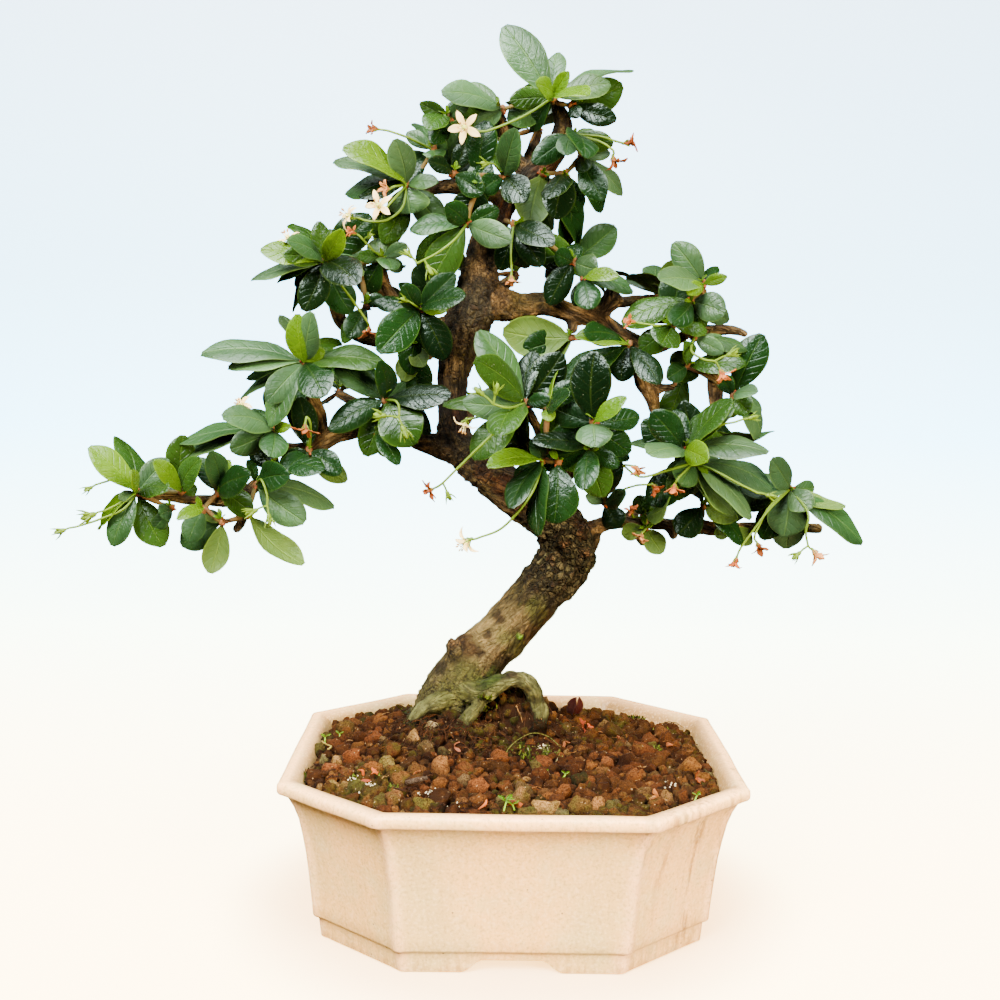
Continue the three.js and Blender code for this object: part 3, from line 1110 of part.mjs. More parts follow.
function bladeSolid(f) {
  const half = BLADE_THICKNESS / 2;
  const start = LEAF_START / f.length;
  const big = f.width > BROAD_LEAF;
  const rows = big ? [[start, 0.1], [0.46, 0.78], [0.82, 1]] : [[start, 0.1], [0.68, 1]];
  // Four corners in each row and a blunt tip: upper left, upper right, lower right, lower left
  const points = [];
  rows.forEach(([s, w]) => {
    [[-1, half], [1, half], [1, -half], [-1, -half]].forEach(([t, h]) => {
      points.push(onBlade(f, s, t, h, w).toArray());
    });
  });
  const tip = points.length;
  points.push(onBlade(f, 1, 0, 0, 0).toArray());
  const faces = [[0, 1, 2], [0, 2, 3]];
  for (let i = 0; i + 1 < rows.length; i += 1) {
    for (let j = 0; j < 4; j += 1) {
      const a = i * 4 + j;
      const b = i * 4 + ((j + 1) % 4);
      faces.push([a, a + 4, b + 4], [a, b + 4, b]);
    }
  }
  for (let j = 0; j < 4; j += 1) {
    faces.push([tip - 4 + j, tip, tip - 4 + ((j + 1) % 4)]);
  }
  const solid = solidOf(geometryOf(points, faces));
  return solid.volume() > 0 ? solid : solidOf(geometryOf(points, faces.map(([a, b, c]) => [a, c, b])));
}

// A twig thickens into the hub that its leaves grow from
function twigSolid({ a, b, ra }) {
  const way = b.clone().sub(a).normalize();
  const path = [{ p: a, r: ra }, { p: b.clone().addScaledVector(way, HUB_RADIUS * 0.7), r: HUB_RADIUS }];
  return solidOf(sweep(path, 4, (i) => path[i].r));
}

// The blind hole in the wood that a twig stands in
function seatSolid({ a, b, ra }) {
  const way = b.clone().sub(a).normalize();
  const path = [
    { p: a.clone().addScaledVector(way, -GAP), r: ra + GAP * 1.4 },
    { p: a.clone().lerp(b, 0.8), r: ra + (HUB_RADIUS - ra) * 0.8 + GAP * 1.4 },
  ];
  return solidOf(sweep(path, 4, (i) => path[i].r));
}

// A bud: a spindle from the stalk's end
function budSolid(from, at, size) {
  const way = at.clone().sub(from);
  const length = way.length();
  const geometry = new THREE.OctahedronGeometry(1, 0);
  geometry.scale(size * 0.3, length * 0.75, size * 0.3);
  const turn = new THREE.Quaternion().setFromUnitVectors(new THREE.Vector3(0, 1, 0), way.normalize());
  geometry.applyQuaternion(turn);
  geometry.translate(...from.clone().addScaledVector(way, length * 0.6).toArray());
  return solidOf(geometry);
}

function spraySolid(spray) {
  const solids = [];
  spray.twigs.forEach((twig) => solids.push(twigSolid(twig)));
  spray.blades.forEach((f, i) => {
    if (f.seen > NARROWEST_LEAF || (f.seen === 0 && i % 2 === 0)) solids.push(bladeSolid(f));
  });
  spray.stalks.forEach(({ points, heads }) => {
    const end = points[points.length - 1];
    const path = points.map((p, i) => ({ p, r: i + 1 < points.length ? STALK_RADIUS * 1.2 : KNOB_RADIUS }));
    solids.push(solidOf(sweep(path, 3, (i) => path[i].r)));
    heads.forEach(({ at, size }) => solids.push(budSolid(end, at, size)));
  });
  return largest(join(solids));
}

// A flower: five petals round a tube that starts off its stalk's end; a wilted one is a crumpled bell
function bloomSolid({ kind, at, size, facing, from }, off) {
  const way = at.clone().sub(from).normalize();
  const foot = from.clone().addScaledVector(way, off);
  const face = kind === 'white' ? facing : way.clone().lerp(facing, 0.4).normalize();
  const side = new THREE.Vector3(0, 0, 1).cross(face).normalize();
  if (side.lengthSq() < 0.5) side.set(1, 0, 0);
  const up = face.clone().cross(side);
  const corners = kind === 'white' ? 10 : 6;
  const star = (centre, outer, inner) => {
    const ring = [];
    for (let j = 0; j < corners; j += 1) {
      const angle = (j / corners) * 2 * Math.PI + 0.3;
      const r = j % 2 ? inner : outer;
      ring.push(centre.clone().addScaledVector(side, r * Math.cos(angle)).addScaledVector(up, r * Math.sin(angle)));
    }
    return ring;
  };
  const rings = [star(foot, 0.6, 0.6)];
  if (kind === 'white') {
    rings.push(star(at.clone().addScaledVector(face, -0.4), size, size * 0.36));
    rings.push(star(at.clone().addScaledVector(face, 0.5), size, size * 0.34));
  } else {
    rings.push(star(at.clone().addScaledVector(face, 1), size * 0.75, size * 0.34));
  }
  const solid = solidOf(loft(rings));
  return solid.volume() > 0 ? solid : solidOf(loft(rings.reverse()));
}

// The tube starts as near to the stalk as the gap lets it
function seatedBloom(bloom, spray) {
  let off = GAP;
  while (off < KNOB_RADIUS * 2 && bloomSolid(bloom, off).minGap(spray, 1) < GAP * 0.95) off += 0.1;
  return bloomSolid(bloom, off);
}

// The finished part

const MATERIALS = {
  pot: { color: 0xcfc4ab, roughness: 0.32 },
  soil: { color: 0x8a4f2a, roughness: 0.95 },
  trunk: { color: 0x75624a, roughness: 0.9 },
  spray: { color: 0x2f6128, roughness: 0.35 },
  white: { color: 0xf3ead8, roughness: 0.6 },
  wilted: { color: 0xb5653a, roughness: 0.8 },
};

const group = new THREE.Group();

function addPiece(name, solid, look) {
  const mesh = new THREE.Mesh(geometryFrom(solid), new THREE.MeshStandardMaterial({ ...look, metalness: 0 }));
  mesh.name = name;
  group.add(mesh);
}

const seats = sprays.map((spray) => spray.twigs[0]);
let trunk = makeTrunk(0);
seats.forEach((twig) => {
  trunk = trunk.subtract(seatSolid(twig));
});
addPiece('pot', makePot(), MATERIALS.pot);
addPiece('soil', makeSoil(), MATERIALS.soil);
addPiece('trunk', largest(trunk), MATERIALS.trunk);
const leafy = new Map(sprays.map((spray) => [spray.name, spraySolid(spray)]));
leafy.forEach((solid, name) => addPiece(name, solid, MATERIALS.spray));
blooms.forEach((bloom, i) => {
  addPiece(`flower_${bloom.kind}_${i + 1}`, seatedBloom(bloom, leafy.get(bloom.name)), MATERIALS[bloom.kind]);
});

// The origin goes to the middle of the underside of the whole plant's box
const box = new THREE.Box3().setFromObject(group);
const middle = box.getCenter(new THREE.Vector3());
group.children.forEach((mesh) => mesh.geometry.translate(-middle.x, -middle.y, -box.min.z));

export default group;
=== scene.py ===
import math

import bpy
import numpy as np
from mathutils import Matrix, Vector


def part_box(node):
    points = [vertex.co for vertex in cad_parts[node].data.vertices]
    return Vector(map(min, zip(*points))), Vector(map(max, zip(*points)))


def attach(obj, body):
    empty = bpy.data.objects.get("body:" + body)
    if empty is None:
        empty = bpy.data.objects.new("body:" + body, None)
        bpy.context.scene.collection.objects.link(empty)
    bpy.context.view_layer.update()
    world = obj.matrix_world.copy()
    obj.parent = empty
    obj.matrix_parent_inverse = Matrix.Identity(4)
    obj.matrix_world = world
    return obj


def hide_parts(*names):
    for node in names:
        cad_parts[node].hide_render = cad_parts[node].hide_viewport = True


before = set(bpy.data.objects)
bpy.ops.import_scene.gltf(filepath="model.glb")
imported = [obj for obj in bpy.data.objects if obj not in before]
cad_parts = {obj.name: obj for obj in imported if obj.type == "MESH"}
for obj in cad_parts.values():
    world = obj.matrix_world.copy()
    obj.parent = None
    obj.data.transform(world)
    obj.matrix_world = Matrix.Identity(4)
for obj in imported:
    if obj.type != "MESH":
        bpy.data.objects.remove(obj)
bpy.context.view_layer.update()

# Lengths are in millimetres about the middle of the pot's underside until put_mesh() turns them into
# metres of the shared frame. A viewer in front of the tree sees the tables' x and z in the plane y = 0.
VIEWER = np.array([-10.2, -487.8, 228.0])
POT_LOW, POT_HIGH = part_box("pot")
POT_X = 500 * (POT_LOW.x + POT_HIGH.x)
TWIG_RADIUS = 1.1
STALK_RADIUS = 0.6
HUB_RADIUS = 1.9
BLADE_CLEARANCE = 2.2
BLADE_TO_WOOD = 1.3
BLADE_TO_TWIG = 1.6
BLADE_TO_SOIL = 3
BLADE_TO_FLOWER = 1
BLADES_APART = 38
BLADE_ROOM = 1.5
BLADE_SHIFTS = (0, -4, 4, -8, 8, -12, 12, -16, 16, -20, 20)
BLADE_BOW = 0.07
WIDEST_BLADE = 16
SLIMMEST_BLADE = 0.4
HUB_TO_WOOD = 2.2
SETTLE_STEPS = 14
FREE_ENOUGH = 1.9
GOLDEN_TURN = 2.39996
SOIL_EDGE = 61.4
SOIL_MOUND = 7.6
SOIL_CENTRE = (-20, 22)
POT_HALF_LENGTH = 90
POT_HALF_DEPTH = 79.3
POT_CUT_LENGTH = 39.6
POT_CUT_DEPTH = 33.5
CUT_SHRINK = 0.4
BED_INSET = 9.4
ARCH_HALF_LENGTH = 19
ARCH_SLOPE = 8.5
ARCH_HEIGHT = 5
FOOT_TOP = 8.5
RIB_WIDTH = 2.3
RIB_HEIGHT = 0.85
DRAIN_SPACING = 34
DRAIN_RADIUS = 6
BARK_VOXEL = 0.85
STAGE_GLOW = 12.6
ROOM_GLOW = 0.62

# Trunk and limbs: name, points (x, z, y, radius)
WOOD = [
    ["trunk", [
        [-25, 56, 27, 16], [-26, 72, 27, 15.5], [-25.5, 82, 26.5, 14.8], [-23.5, 90, 25.5, 13.6],
        [-19.5, 98, 24, 11.8], [-13.5, 106.5, 22.5, 11], [-7, 113.5, 21, 10.4], [0, 122.5, 18.5, 10.1],
        [7.5, 131.5, 16, 10.2], [14.5, 139.5, 14, 11], [19.5, 148, 12.5, 11.2], [18, 156.5, 11, 10.6],
        [11, 164, 10, 9.6], [2, 170.5, 9, 9], [-8, 177.5, 8, 8.8], [-17, 184.5, 7.5, 8], [-24, 193, 7, 6.4],
        [-26.5, 205, 6.5, 5.6], [-26.5, 216, 6, 5.8], [-25, 227, 6, 6.8], [-21.5, 238, 6, 9],
        [-17.5, 248, 6, 10], [-16.5, 257, 6, 8.2], [-16, 266, 5.5, 5.9], [-14.5, 273, 5, 5.2],
        [-9.5, 279.5, 4.5, 4.5], [-6.5, 286, 4, 4], [-2, 292.5, 4, 4.3], [5, 299, 4, 5], [11, 305, 4, 4.8],
        [14.5, 312, 4, 4.2], [15.5, 319, 4, 3.4], [13, 325, 4, 2.4]]],
    ["limb_lower_left", [
        [-20, 186, 7.5, 6], [-30, 190, 6, 5], [-39, 193, 5, 3.9], [-50, 195.7, 4, 3.4], [-61, 197, 3, 3.2],
        [-70, 195.5, 2, 3.3], [-80, 191, 1, 3.8], [-92, 182.5, 0, 3.1], [-104, 175, -1, 2.9],
        [-113, 168.5, -2, 2.8], [-122, 167.3, -3, 2.7], [-133, 167.5, -4, 2.3], [-143, 168.8, -5, 2],
        [-152, 168.5, -5.5, 1.9]]],
    ["limb_fan", [[-80, 191, 1, 3], [-79.5, 201, 0, 2.9], [-82.5, 210, -1, 2.6], [-86, 220, -2, 2.1]]],
    ["limb_left_inner", [
        [-82, 190.5, 1, 2.6], [-90, 189, 2, 2.2], [-96, 190.5, 2, 2], [-98.5, 194, 1.5, 1.8]]],
    ["limb_upper_left", [
        [-22, 239, 6, 6], [-31, 237.5, 7, 4.8], [-39, 236, 8, 4.2], [-50, 233.5, 9, 3.4],
        [-61, 233.5, 9, 3], [-70, 239, 8, 2.8], [-74.5, 248, 6, 2.5], [-77, 259, 4, 2.1]]],
    ["limb_upper_left_inner", [
        [-40, 236, 8, 2.8], [-49, 247, 9, 2.4], [-53.5, 255, 9, 2.3], [-55, 261.5, 8, 1.9]]],
    ["limb_upper_right", [
        [-14, 249, 6, 8.5], [-6, 247.5, 5.5, 6.8], [1, 246.8, 5, 5.4], [10, 248, 4.5, 4.4],
        [20, 245.2, 4, 4], [30, 243, 3, 4.2], [37, 239, 2, 3.5], [45, 234.3, 1, 3.1], [53, 231.5, 0, 3],
        [60, 233.5, 0, 2.5], [67, 237.5, 0, 2.3], [71.5, 245, 0, 2], [73, 254.5, -1, 1.9]]],
    ["limb_right_drop", [
        [51, 231.5, 0, 2.6], [48.3, 224, 0, 2.4], [50, 217.5, 0, 3.2], [54, 211.5, 0, 3],
        [55, 205.5, 0, 1.9]]],
    ["limb_right_outer", [
        [68, 238, 0, 2], [75, 233.5, -1, 1.9], [77.8, 226, -1.5, 2], [79, 217.5, -2, 3.4],
        [79.5, 209, -2, 2.8]]],
    ["limb_lower_right", [
        [22, 153, 12, 6], [30, 157, 12, 4], [38, 160.6, 12, 2.9], [50, 161, 12, 2.7], [62, 160, 12, 2.6],
        [72, 158.8, 12, 2.5], [84, 158.2, 12, 2.6], [96, 159.5, 12, 2.4], [108, 159.8, 11.5, 2.2],
        [124, 159.4, 11, 2]]],
    ["limb_front", [
        [18, 157, 9, 4.5], [18.5, 168, 3, 3.2], [19.5, 177, -5, 2.7], [23.5, 184, -14, 2.3],
        [29, 190, -23, 2]]],
    ["limb_front_left", [[19, 173, 0, 2.6], [14.5, 184, -9, 2.3], [9, 196.5, -19, 2.2], [4, 206, -27, 2]]],
    ["limb_crown_left", [[3, 297, 4, 3.6], [-3, 305, 4, 2.8], [-7, 314, 3, 2.3], [-8.5, 320.5, 2, 1.9]]],
    ["limb_crown_far_left", [
        [-5, 288.5, 4, 3.4], [-16, 291.5, 6, 3], [-28, 293.5, 6, 3], [-38, 292, 4, 2.3],
        [-44, 292.5, 1, 1.9]]],
    ["limb_back_low", [[-24, 200, 8, 4], [-18, 207, 20, 3], [-12, 212, 33, 2.6], [-4, 215, 45, 2]]],
    ["limb_back_left", [[-34, 192, 6, 3], [-47, 199, 18, 2.6], [-60, 205, 29, 2.3], [-72, 211, 38, 1.9]]],
    ["limb_back_mid", [[-18, 246, 9, 5], [-15, 250, 20, 3.4], [-8, 254, 33, 2.8], [-2, 259, 45, 2]]],
    ["limb_back_right", [[24, 244, 4, 3], [34, 248, 15, 2.5], [45, 250, 27, 2.2], [55, 251, 36, 1.9]]],
    ["limb_back_low_right", [
        [44, 160.8, 12, 2.6], [52, 169, 22, 2.3], [62, 177, 32, 2.1], [70, 184, 40, 1.9]]],
    ["limb_back_crown", [[3, 298, 5, 3.8], [2, 302, 14, 2.8], [4, 308, 24, 2.3], [6, 315, 32, 1.9]]]]

# Cut stubs
STUBS = [
    [[-113, 163.5, -2, 2.4], [-111, 160, -2, 2.1], [-114, 155.3, -2, 1.9]],
    [[32, 244, 2.5, 3.4], [35.5, 250.5, 1, 3], [38.3, 257.5, 0, 2.5]],
    [[34, 246, 1, 2.6], [40, 250.5, -1, 2.2]], [[20.5, 243, 4, 2.6], [21.3, 237.5, 3.5, 2]],
    [[68, 238.2, 0, 2.1], [76, 238.6, 0, 2.6], [84, 239.2, 0, 2], [90.5, 237.6, 0, 1.5]],
    [[50, 217, 0, 2.4], [57, 215.5, -1, 2], [62.5, 216.3, -1.5, 1.4]],
    [[63, 158.5, 11.5, 2.1], [64.5, 155, 11, 1.8]], [[22, 137, 12, 6], [26.5, 133, 11, 4.4]],
    [[-40, 231.5, 6, 3.4], [-35.5, 227, 5.5, 2.6]], [[-37.5, 291, 4, 2.3], [-37.5, 286.3, 3.5, 1.9]],
    [[-26.5, 200, 6, 4.6], [-31, 197.5, 5, 2.8]], [[-22.5, 107, 20, 8], [-26, 104.6, 19.6, 7.2]],
    [[31, 150, 10, 2.2], [33.5, 154.5, 9, 1.6]]]

# Surface roots
ROOTS = [
    [[-23, 92, 17, 4.8], [-14, 88.5, 11, 4.4], [-7, 92, 9, 4], [1, 94.6, 10, 3.8], [7, 91.5, 12, 3.8],
     [10.3, 84.5, 14, 3.6], [11, 74, 15, 3.2], [10.5, 62, 15, 2.6]],
    [[-14, 88.5, 11, 3.6], [-14.5, 83, 8, 3], [-19, 77.5, 6, 2.7], [-23, 71, 5, 2.4], [-25, 60, 5, 1.8]],
    [[-20, 88, 18, 4.2], [-27, 86.5, 14, 3.9], [-34, 83.5, 12, 3.4], [-39.5, 78.5, 12, 2.8],
     [-43, 70, 13, 2.4], [-44, 58, 14, 1.8]],
    [[-31, 84, 27, 7.5], [-37.5, 78, 27, 6], [-41, 68, 28, 4.6], [-42, 56, 28, 3.4]],
    [[-14, 86, 26, 7], [-5, 80, 28, 5.4], [3, 72, 30, 4.2], [8, 60, 31, 3]],
    [[-24, 84, 34, 7], [-26, 77, 43, 5], [-28, 70, 51, 3.8], [-29, 59, 56, 2.6]],
    [[-10, 86, 33, 5.5], [-2, 79, 42, 4.4], [6, 70, 50, 3.4], [10, 59, 55, 2.4]],
    [[-33, 82, 34, 5], [-43, 76, 40, 3.8], [-49, 71, 43, 2.8], [-52, 66, 44, 2]]]

# Sprays: name, rosettes of (centre x, z, y) and leaves (tip x, z, depth, width seen, colour)
SPRAYS = [
    ["spray_left_tip", [
        [[-154, 170, -7], [
            [-172.5, 188.5, 2, 9.5, "l"], [-159.7, 192.5, 8, 9.5, "y"], [-141.2, 184, 4, 8.5, "s"],
            [-141, 171.5, -9, 6, "y"], [-161.5, 167.5, -6, 4, "s"], [-164.3, 148, -4, 8.5, "g"],
            [-169.5, 155.5, -1, 5, "l"], [-156, 178.5, -4, 3, "l"], [-164.5, 178.5, -5, 3, "l"]]],
        [[-136, 170.5, -8], [
            [-146.7, 183, -5, 6, "l"], [-128.3, 184.5, -4, 6.5, "y"], [-144.5, 177, 4, 5, "g"],
            [-129.5, 172.5, -7, 5, "y"]]],
        [[-140, 164, -8], [[-147.6, 154.8, 3, 5.5, "g"], [-145, 161, -6, 6.5, "g"]]]]],
    ["spray_left_mid", [
        [[-121, 171, -8], [
            [-129.5, 184.5, -7, 7.5, "g"], [-124, 187.5, -5, 8, "g"], [-116.3, 184, -3, 5, "l"],
            [-108.5, 178, -9, 9, "m"], [-107.5, 162.5, -8, 9, "y"]]],
        [[-127, 163.5, -8], [[-133.3, 150, -3, 8.5, "g"], [-137.5, 159.5, -5, 4.5, "l"]]],
        [[-119.5, 158.5, -7], [[-124.8, 137.2, 2, 9.5, "o"], [-126, 163, 6, 5, "o"]]],
        [[-109, 162, -8], [[-87, 141, -4, 8.5, "o"]]],
        [[-105.5, 174, -8], [
            [-86, 159, -9, 12, "s"], [-92, 178, -7, 10, "m"], [-73.8, 166, 0, 8, "s"],
            [-109, 184, 0, 3.5, "m"]]]]],
    ["spray_left_inner", [
        [[-98, 196, -6], [
            [-136.6, 190, 6, 4.5, "g"], [-118.5, 201.5, -2, 8.5, "s"], [-116, 188, -5, 9.5, "g"],
            [-99.5, 185, -9, 10, "g"], [-107, 204.5, 3, 4, "g"], [-91.5, 198, -4, 4, "l"],
            [-137.5, 183.5, 4, 6, "s"]]],
        [[-97, 181, -5], [[-107.5, 189, 1, 8, "d"], [-85, 187.5, -3, 7.5, "d"], [-79, 180, -2, 5.5, "m"]]],
        [[-84, 188, -6], [
            [-71.5, 179, -6, 8.5, "m"], [-69, 176, 0, 8, "o"], [-88, 209.5, 4, 9, "d"],
            [-92.5, 207.5, 8, 7, "d"], [-96, 178, -1, 7, "m"]]]]],
    ["spray_fan", [
        [[-86, 223.5, -8], [
            [-127, 226.5, -2, 7.5, "s"], [-116.4, 221, -6, 6.5, "s"], [-108.8, 216.6, 3, 4.5, "g"],
            [-101, 207.5, -8, 9.5, "s"], [-99.5, 197.5, -1, 8.5, "g"], [-88.5, 242.5, -4, 9, "l"],
            [-95, 242, 3, 7, "s"], [-83, 243, 4, 9, "s"], [-78, 229, -7, 4.5, "l"], [-54, 224, -7, 8, "y"],
            [-72.7, 233.5, 3, 6.5, "y"], [-78, 210, -13, 13.5, "m"], [-114.5, 204.5, 5, 4, "s"],
            [-74, 217, 4, 5, "m"]]]]],
    ["spray_inner", [
        [[-53.5, 209, -9], [
            [-73.5, 222, -2, 9, "g"], [-64.5, 223.5, 3, 8, "m"], [-55.5, 224.5, 4, 7, "m"],
            [-76, 196.5, -8, 10, "m"], [-42, 191, -8, 16, "y"], [-35, 196, 3, 8, "m"],
            [-27, 211, -5, 8, "d"], [-45.5, 216, 0, 4.5, "g"], [-61, 218, 5, 6, "o"]]],
        [[-57, 196, -5], [[-52, 186, 4, 6.5, "o"], [-48, 183, -2, 5.5, "m"]]]]],
    ["spray_upper_left", [
        [[-78, 263, -5], [
            [-106.6, 255.2, 3, 5, "s"], [-96.5, 255.8, 6, 4.5, "m"], [-103, 267.7, -3, 6, "l"],
            [-94, 265.5, -8, 7, "y"], [-89.5, 277.5, 6, 8, "y"], [-75, 276, 7, 8, "y"],
            [-92, 271.5, 1, 5, "g"], [-71, 275.7, -9, 7, "l"], [-63, 268.5, 0, 5, "s"],
            [-62, 259, -4, 7, "o"], [-64.5, 255.5, -10, 11, "d"], [-86, 244, -10, 10.5, "d"],
            [-90.5, 244, 2, 5, "m"], [-90, 254.5, -5, 5, "m"], [-80, 279, 10, 7, "y"]]],
        [[-55, 264.5, 1], [
            [-57.5, 272.5, 4, 7, "s"], [-45, 270.5, 0, 5, "s"], [-65, 266, 3, 4.5, "y"],
            [-47, 260.5, -5, 5, "s"], [-51, 261, -7, 4.5, "g"], [-62.5, 251, -6, 9.5, "m"]]],
        [[-61, 246, 2], [[-68.5, 233.5, -6, 8, "m"], [-55, 250.5, 3, 5, "m"], [-70.5, 231.5, 4, 5, "y"]]]]],
    ["spray_front_left", [
        [[-40, 245.5, -9], [
            [-56.5, 228, -10, 13, "m"], [-58, 248.2, -3, 6, "m"], [-46, 254.5, -4, 8, "m"],
            [-26, 259.5, -6, 8.5, "m"], [-29.5, 225.5, -8, 11, "d"], [-22, 250, 0, 6, "m"],
            [-29, 245, -7, 4, "l"], [-45, 256, 6, 7, "m"], [-49, 239, 5, 6, "m"]]],
        [[-43, 231, -2], [[-46, 216.5, 3, 8, "o"], [-38, 222.5, 6, 7, "o"]]]]],
    ["spray_crown_left", [
        [[-45.5, 293.5, -7], [
            [-70, 308, -6, 6.5, "l"], [-73.8, 303, 3, 5.5, "s"], [-69.5, 290.5, -3, 8, "g"],
            [-64, 288.5, 3, 4.5, "d"], [-61, 287.8, 7, 6, "d"], [-44, 282.5, -13, 15, "s"],
            [-50, 311, -5, 9.5, "s"], [-33, 295, -7, 5, "g"], [-54, 303, 2, 5, "g"],
            [-39.5, 303, 2, 5, "m"]]],
        [[-35, 307, -3], [[-45.5, 313.5, 2, 5.5, "s"], [-34.5, 304, -7, 8, "g"], [-41.5, 317, 3, 6, "g"]]],
        [[-29, 319.5, -2], [
            [-40.5, 325, -5, 5.5, "y"], [-38, 319.5, -7, 4, "l"], [-37, 315.5, -7, 5.5, "y"],
            [-26, 325.5, 1, 4.5, "m"], [-21, 325.5, 3, 5, "g"], [-35.5, 309.5, -4, 7, "m"]]]]],
    ["spray_crown_mid", [
        [[-7, 297.5, -7], [
            [1.5, 288, -10, 10.5, "d"], [-16, 292, -9, 7.5, "m"], [-2, 306.5, -8, 5.5, "m"],
            [-13.5, 310, -3, 5, "y"], [-3, 315.5, 0, 8, "g"]]],
        [[-27, 298, -7], [
            [-15, 291, -8, 8.5, "m"], [-22.5, 310, 0, 7, "d"], [-37, 303, -3, 5, "d"],
            [-16, 304, 1, 6, "m"]]],
        [[-17, 294, -12], [[-20, 281.5, -9, 13.5, "d"]]],
        [[-21.5, 279, -9], [
            [-44, 276.5, -3, 6.5, "g"], [-30, 286, -7, 8, "m"], [-4, 272.5, -13, 9.5, "s"],
            [-35, 256.5, -9, 12.5, "y"], [-42, 263, 0, 8.5, "y"], [-9, 285, 3, 7, "m"]]]]],
    ["spray_crown_top", [
        [[11, 327.5, -5], [
            [-8, 354.3, 3, 13, "s"], [13, 345, 5, 8.5, "s"], [17.5, 337.8, -4, 4.5, "l"],
            [5.5, 333, -5, 4.5, "l"], [33.8, 333.5, -4, 8, "s"], [41.5, 338.3, 4, 4, "s"],
            [-5.5, 326.5, -4, 7.5, "y"], [1, 332.5, -6, 6.5, "y"], [25, 329, -8, 4, "l"],
            [3.5, 315, -4, 6, "m"]]],
        [[-8, 323, -3], [
            [-32, 329, -8, 7.5, "s"], [-24.5, 331.5, 0, 6.5, "s"], [-18, 317.5, -4, 6, "s"],
            [-17, 326.5, 5, 5, "s"]]],
        [[18.5, 325, -2], [[36.5, 319.7, -4, 7.5, "d"], [21.8, 320.5, -7, 5, "m"], [27, 334, 5, 6, "s"]]]]],
    ["spray_crown_right", [
        [[19, 314, -6], [
            [35.5, 310.5, -3, 7, "y"], [29.5, 312.5, 4, 6, "s"], [17, 306, -7, 7.5, "g"],
            [31.5, 309, -1, 7, "y"], [25, 306, -6, 5, "m"], [7, 306, -6, 8, "m"], [4, 303, -2, 8, "m"]]],
        [[23, 305.5, -3], [
            [32.5, 289, -8, 9.5, "m"], [40, 291.5, -1, 5, "s"], [34.5, 307, 2, 4.5, "s"],
            [32, 284.6, 3, 7, "m"], [25, 300, -7, 6, "d"]]],
        [[17, 299, -4], [
            [13, 281.5, -9, 11.5, "d"], [22.5, 284, 0, 9, "m"], [17.5, 270, -6, 9, "m"],
            [10, 289, -9, 8, "d"]]],
        [[8, 299, 1], [[3.5, 278.5, 1, 12.5, "o"], [12.5, 277, 5, 5.5, "o"], [23.5, 269.5, 6, 8, "m"]]]]],
    ["spray_crown_low_right", [
        [[-3, 279, -4], [
            [8.5, 263, -7, 9.5, "d"], [13, 271.5, 0, 8.5, "d"], [2.5, 262, 2, 10, "d"],
            [-8, 261, 4, 8, "d"]]],
        [[21, 265, -4], [
            [30.5, 262, -8, 9.5, "s"], [11.5, 248, -9, 9.5, "d"], [14, 268, -6, 7, "m"],
            [10, 258.5, 0, 6.5, "d"], [22, 272, 4, 6, "m"]]],
        [[25, 258.5, -7], [
            [28, 246.5, -9, 9.5, "m"], [45, 253.5, -5, 6, "g"], [39, 259.5, -2, 4.5, "l"],
            [33, 254.5, 2, 5, "d"], [22, 247.5, 1, 6, "d"]]]]],
    ["spray_front_centre", [
        [[3, 208.5, -32], [
            [-22, 208.5, -8, 11, "s"], [-30, 207.5, 2, 7, "y"], [-18, 186, -8, 11, "y"],
            [-7.5, 195.5, -12, 10, "y"], [-13, 186.5, 0, 9, "y"], [1.5, 189, -2, 8, "d"],
            [-16.5, 237, 2, 11, "g"], [-18, 225.5, -9, 10.5, "y"], [6, 229.5, -1, 8.5, "d"],
            [12.5, 210.5, -9, 5.5, "m"], [-9, 219, 5, 7, "m"]]],
        [[12, 206.5, -31], [
            [22.5, 217.5, -2, 8, "m"], [21, 212.5, -7, 5, "m"], [14, 221, -4, 7.5, "m"],
            [6.5, 219.5, 3, 7, "m"], [12.5, 201.5, -8, 5, "l"], [16, 224.5, 5, 5.5, "l"]]],
        [[10.5, 185.5, -30], [
            [-12, 182.7, -6, 6, "l"], [-0.5, 176, -8, 9, "m"], [9, 155, -3, 8, "m"],
            [-2, 165.5, 3, 7.5, "m"], [6, 194.5, 3, 6, "g"]]],
        [[16.5, 185, -32], [[15.5, 160, -10, 15.5, "m"]]]]],
    ["spray_front_right", [
        [[30.5, 201, -33], [
            [30.3, 229.5, -6, 14.5, "d"], [31.3, 191.5, -11, 13, "s"], [43.5, 211.5, -6, 5.5, "l"],
            [13, 207.5, 0, 10, "m"], [49, 204, 4, 8, "m"], [22, 212, 5, 7, "m"]]],
        [[29, 191, -29], [
            [6, 193.5, 1, 6, "d"], [9.5, 183, 0, 8, "m"], [18, 183.8, -8, 7.5, "y"],
            [41, 183.5, -7, 6, "m"], [45.5, 187.8, -2, 5.5, "m"], [27.5, 174, -2, 8.5, "m"],
            [37, 194.5, -3, 3.5, "g"], [35, 171, 2, 12, "y"]]],
        [[36, 168.5, -4], [[42, 158.5, -4, 9, "d"], [28, 171.5, -4, 5, "s"], [44.5, 173, -6, 6, "g"]]]]],
    ["spray_right_upper", [
        [[73, 257, -5], [
            [60.5, 273, -2, 10, "s"], [55, 258.5, -6, 8, "s"], [58.5, 262, 3, 6, "s"],
            [82, 260, -4, 4, "l"], [66.5, 253, -9, 5, "l"], [63, 255.5, -5, 5.5, "y"],
            [78, 264, 5, 4, "m"]]],
        [[68.5, 250, -5], [
            [82, 245.5, -9, 10.5, "s"], [83.5, 242.5, -2, 7.5, "s"], [40.8, 241, -2, 9.5, "y"],
            [61, 241, -9, 9, "m"], [50, 246.5, -6, 7, "y"], [74, 240, 3, 7, "y"]]],
        [[61, 240.5, -8], [
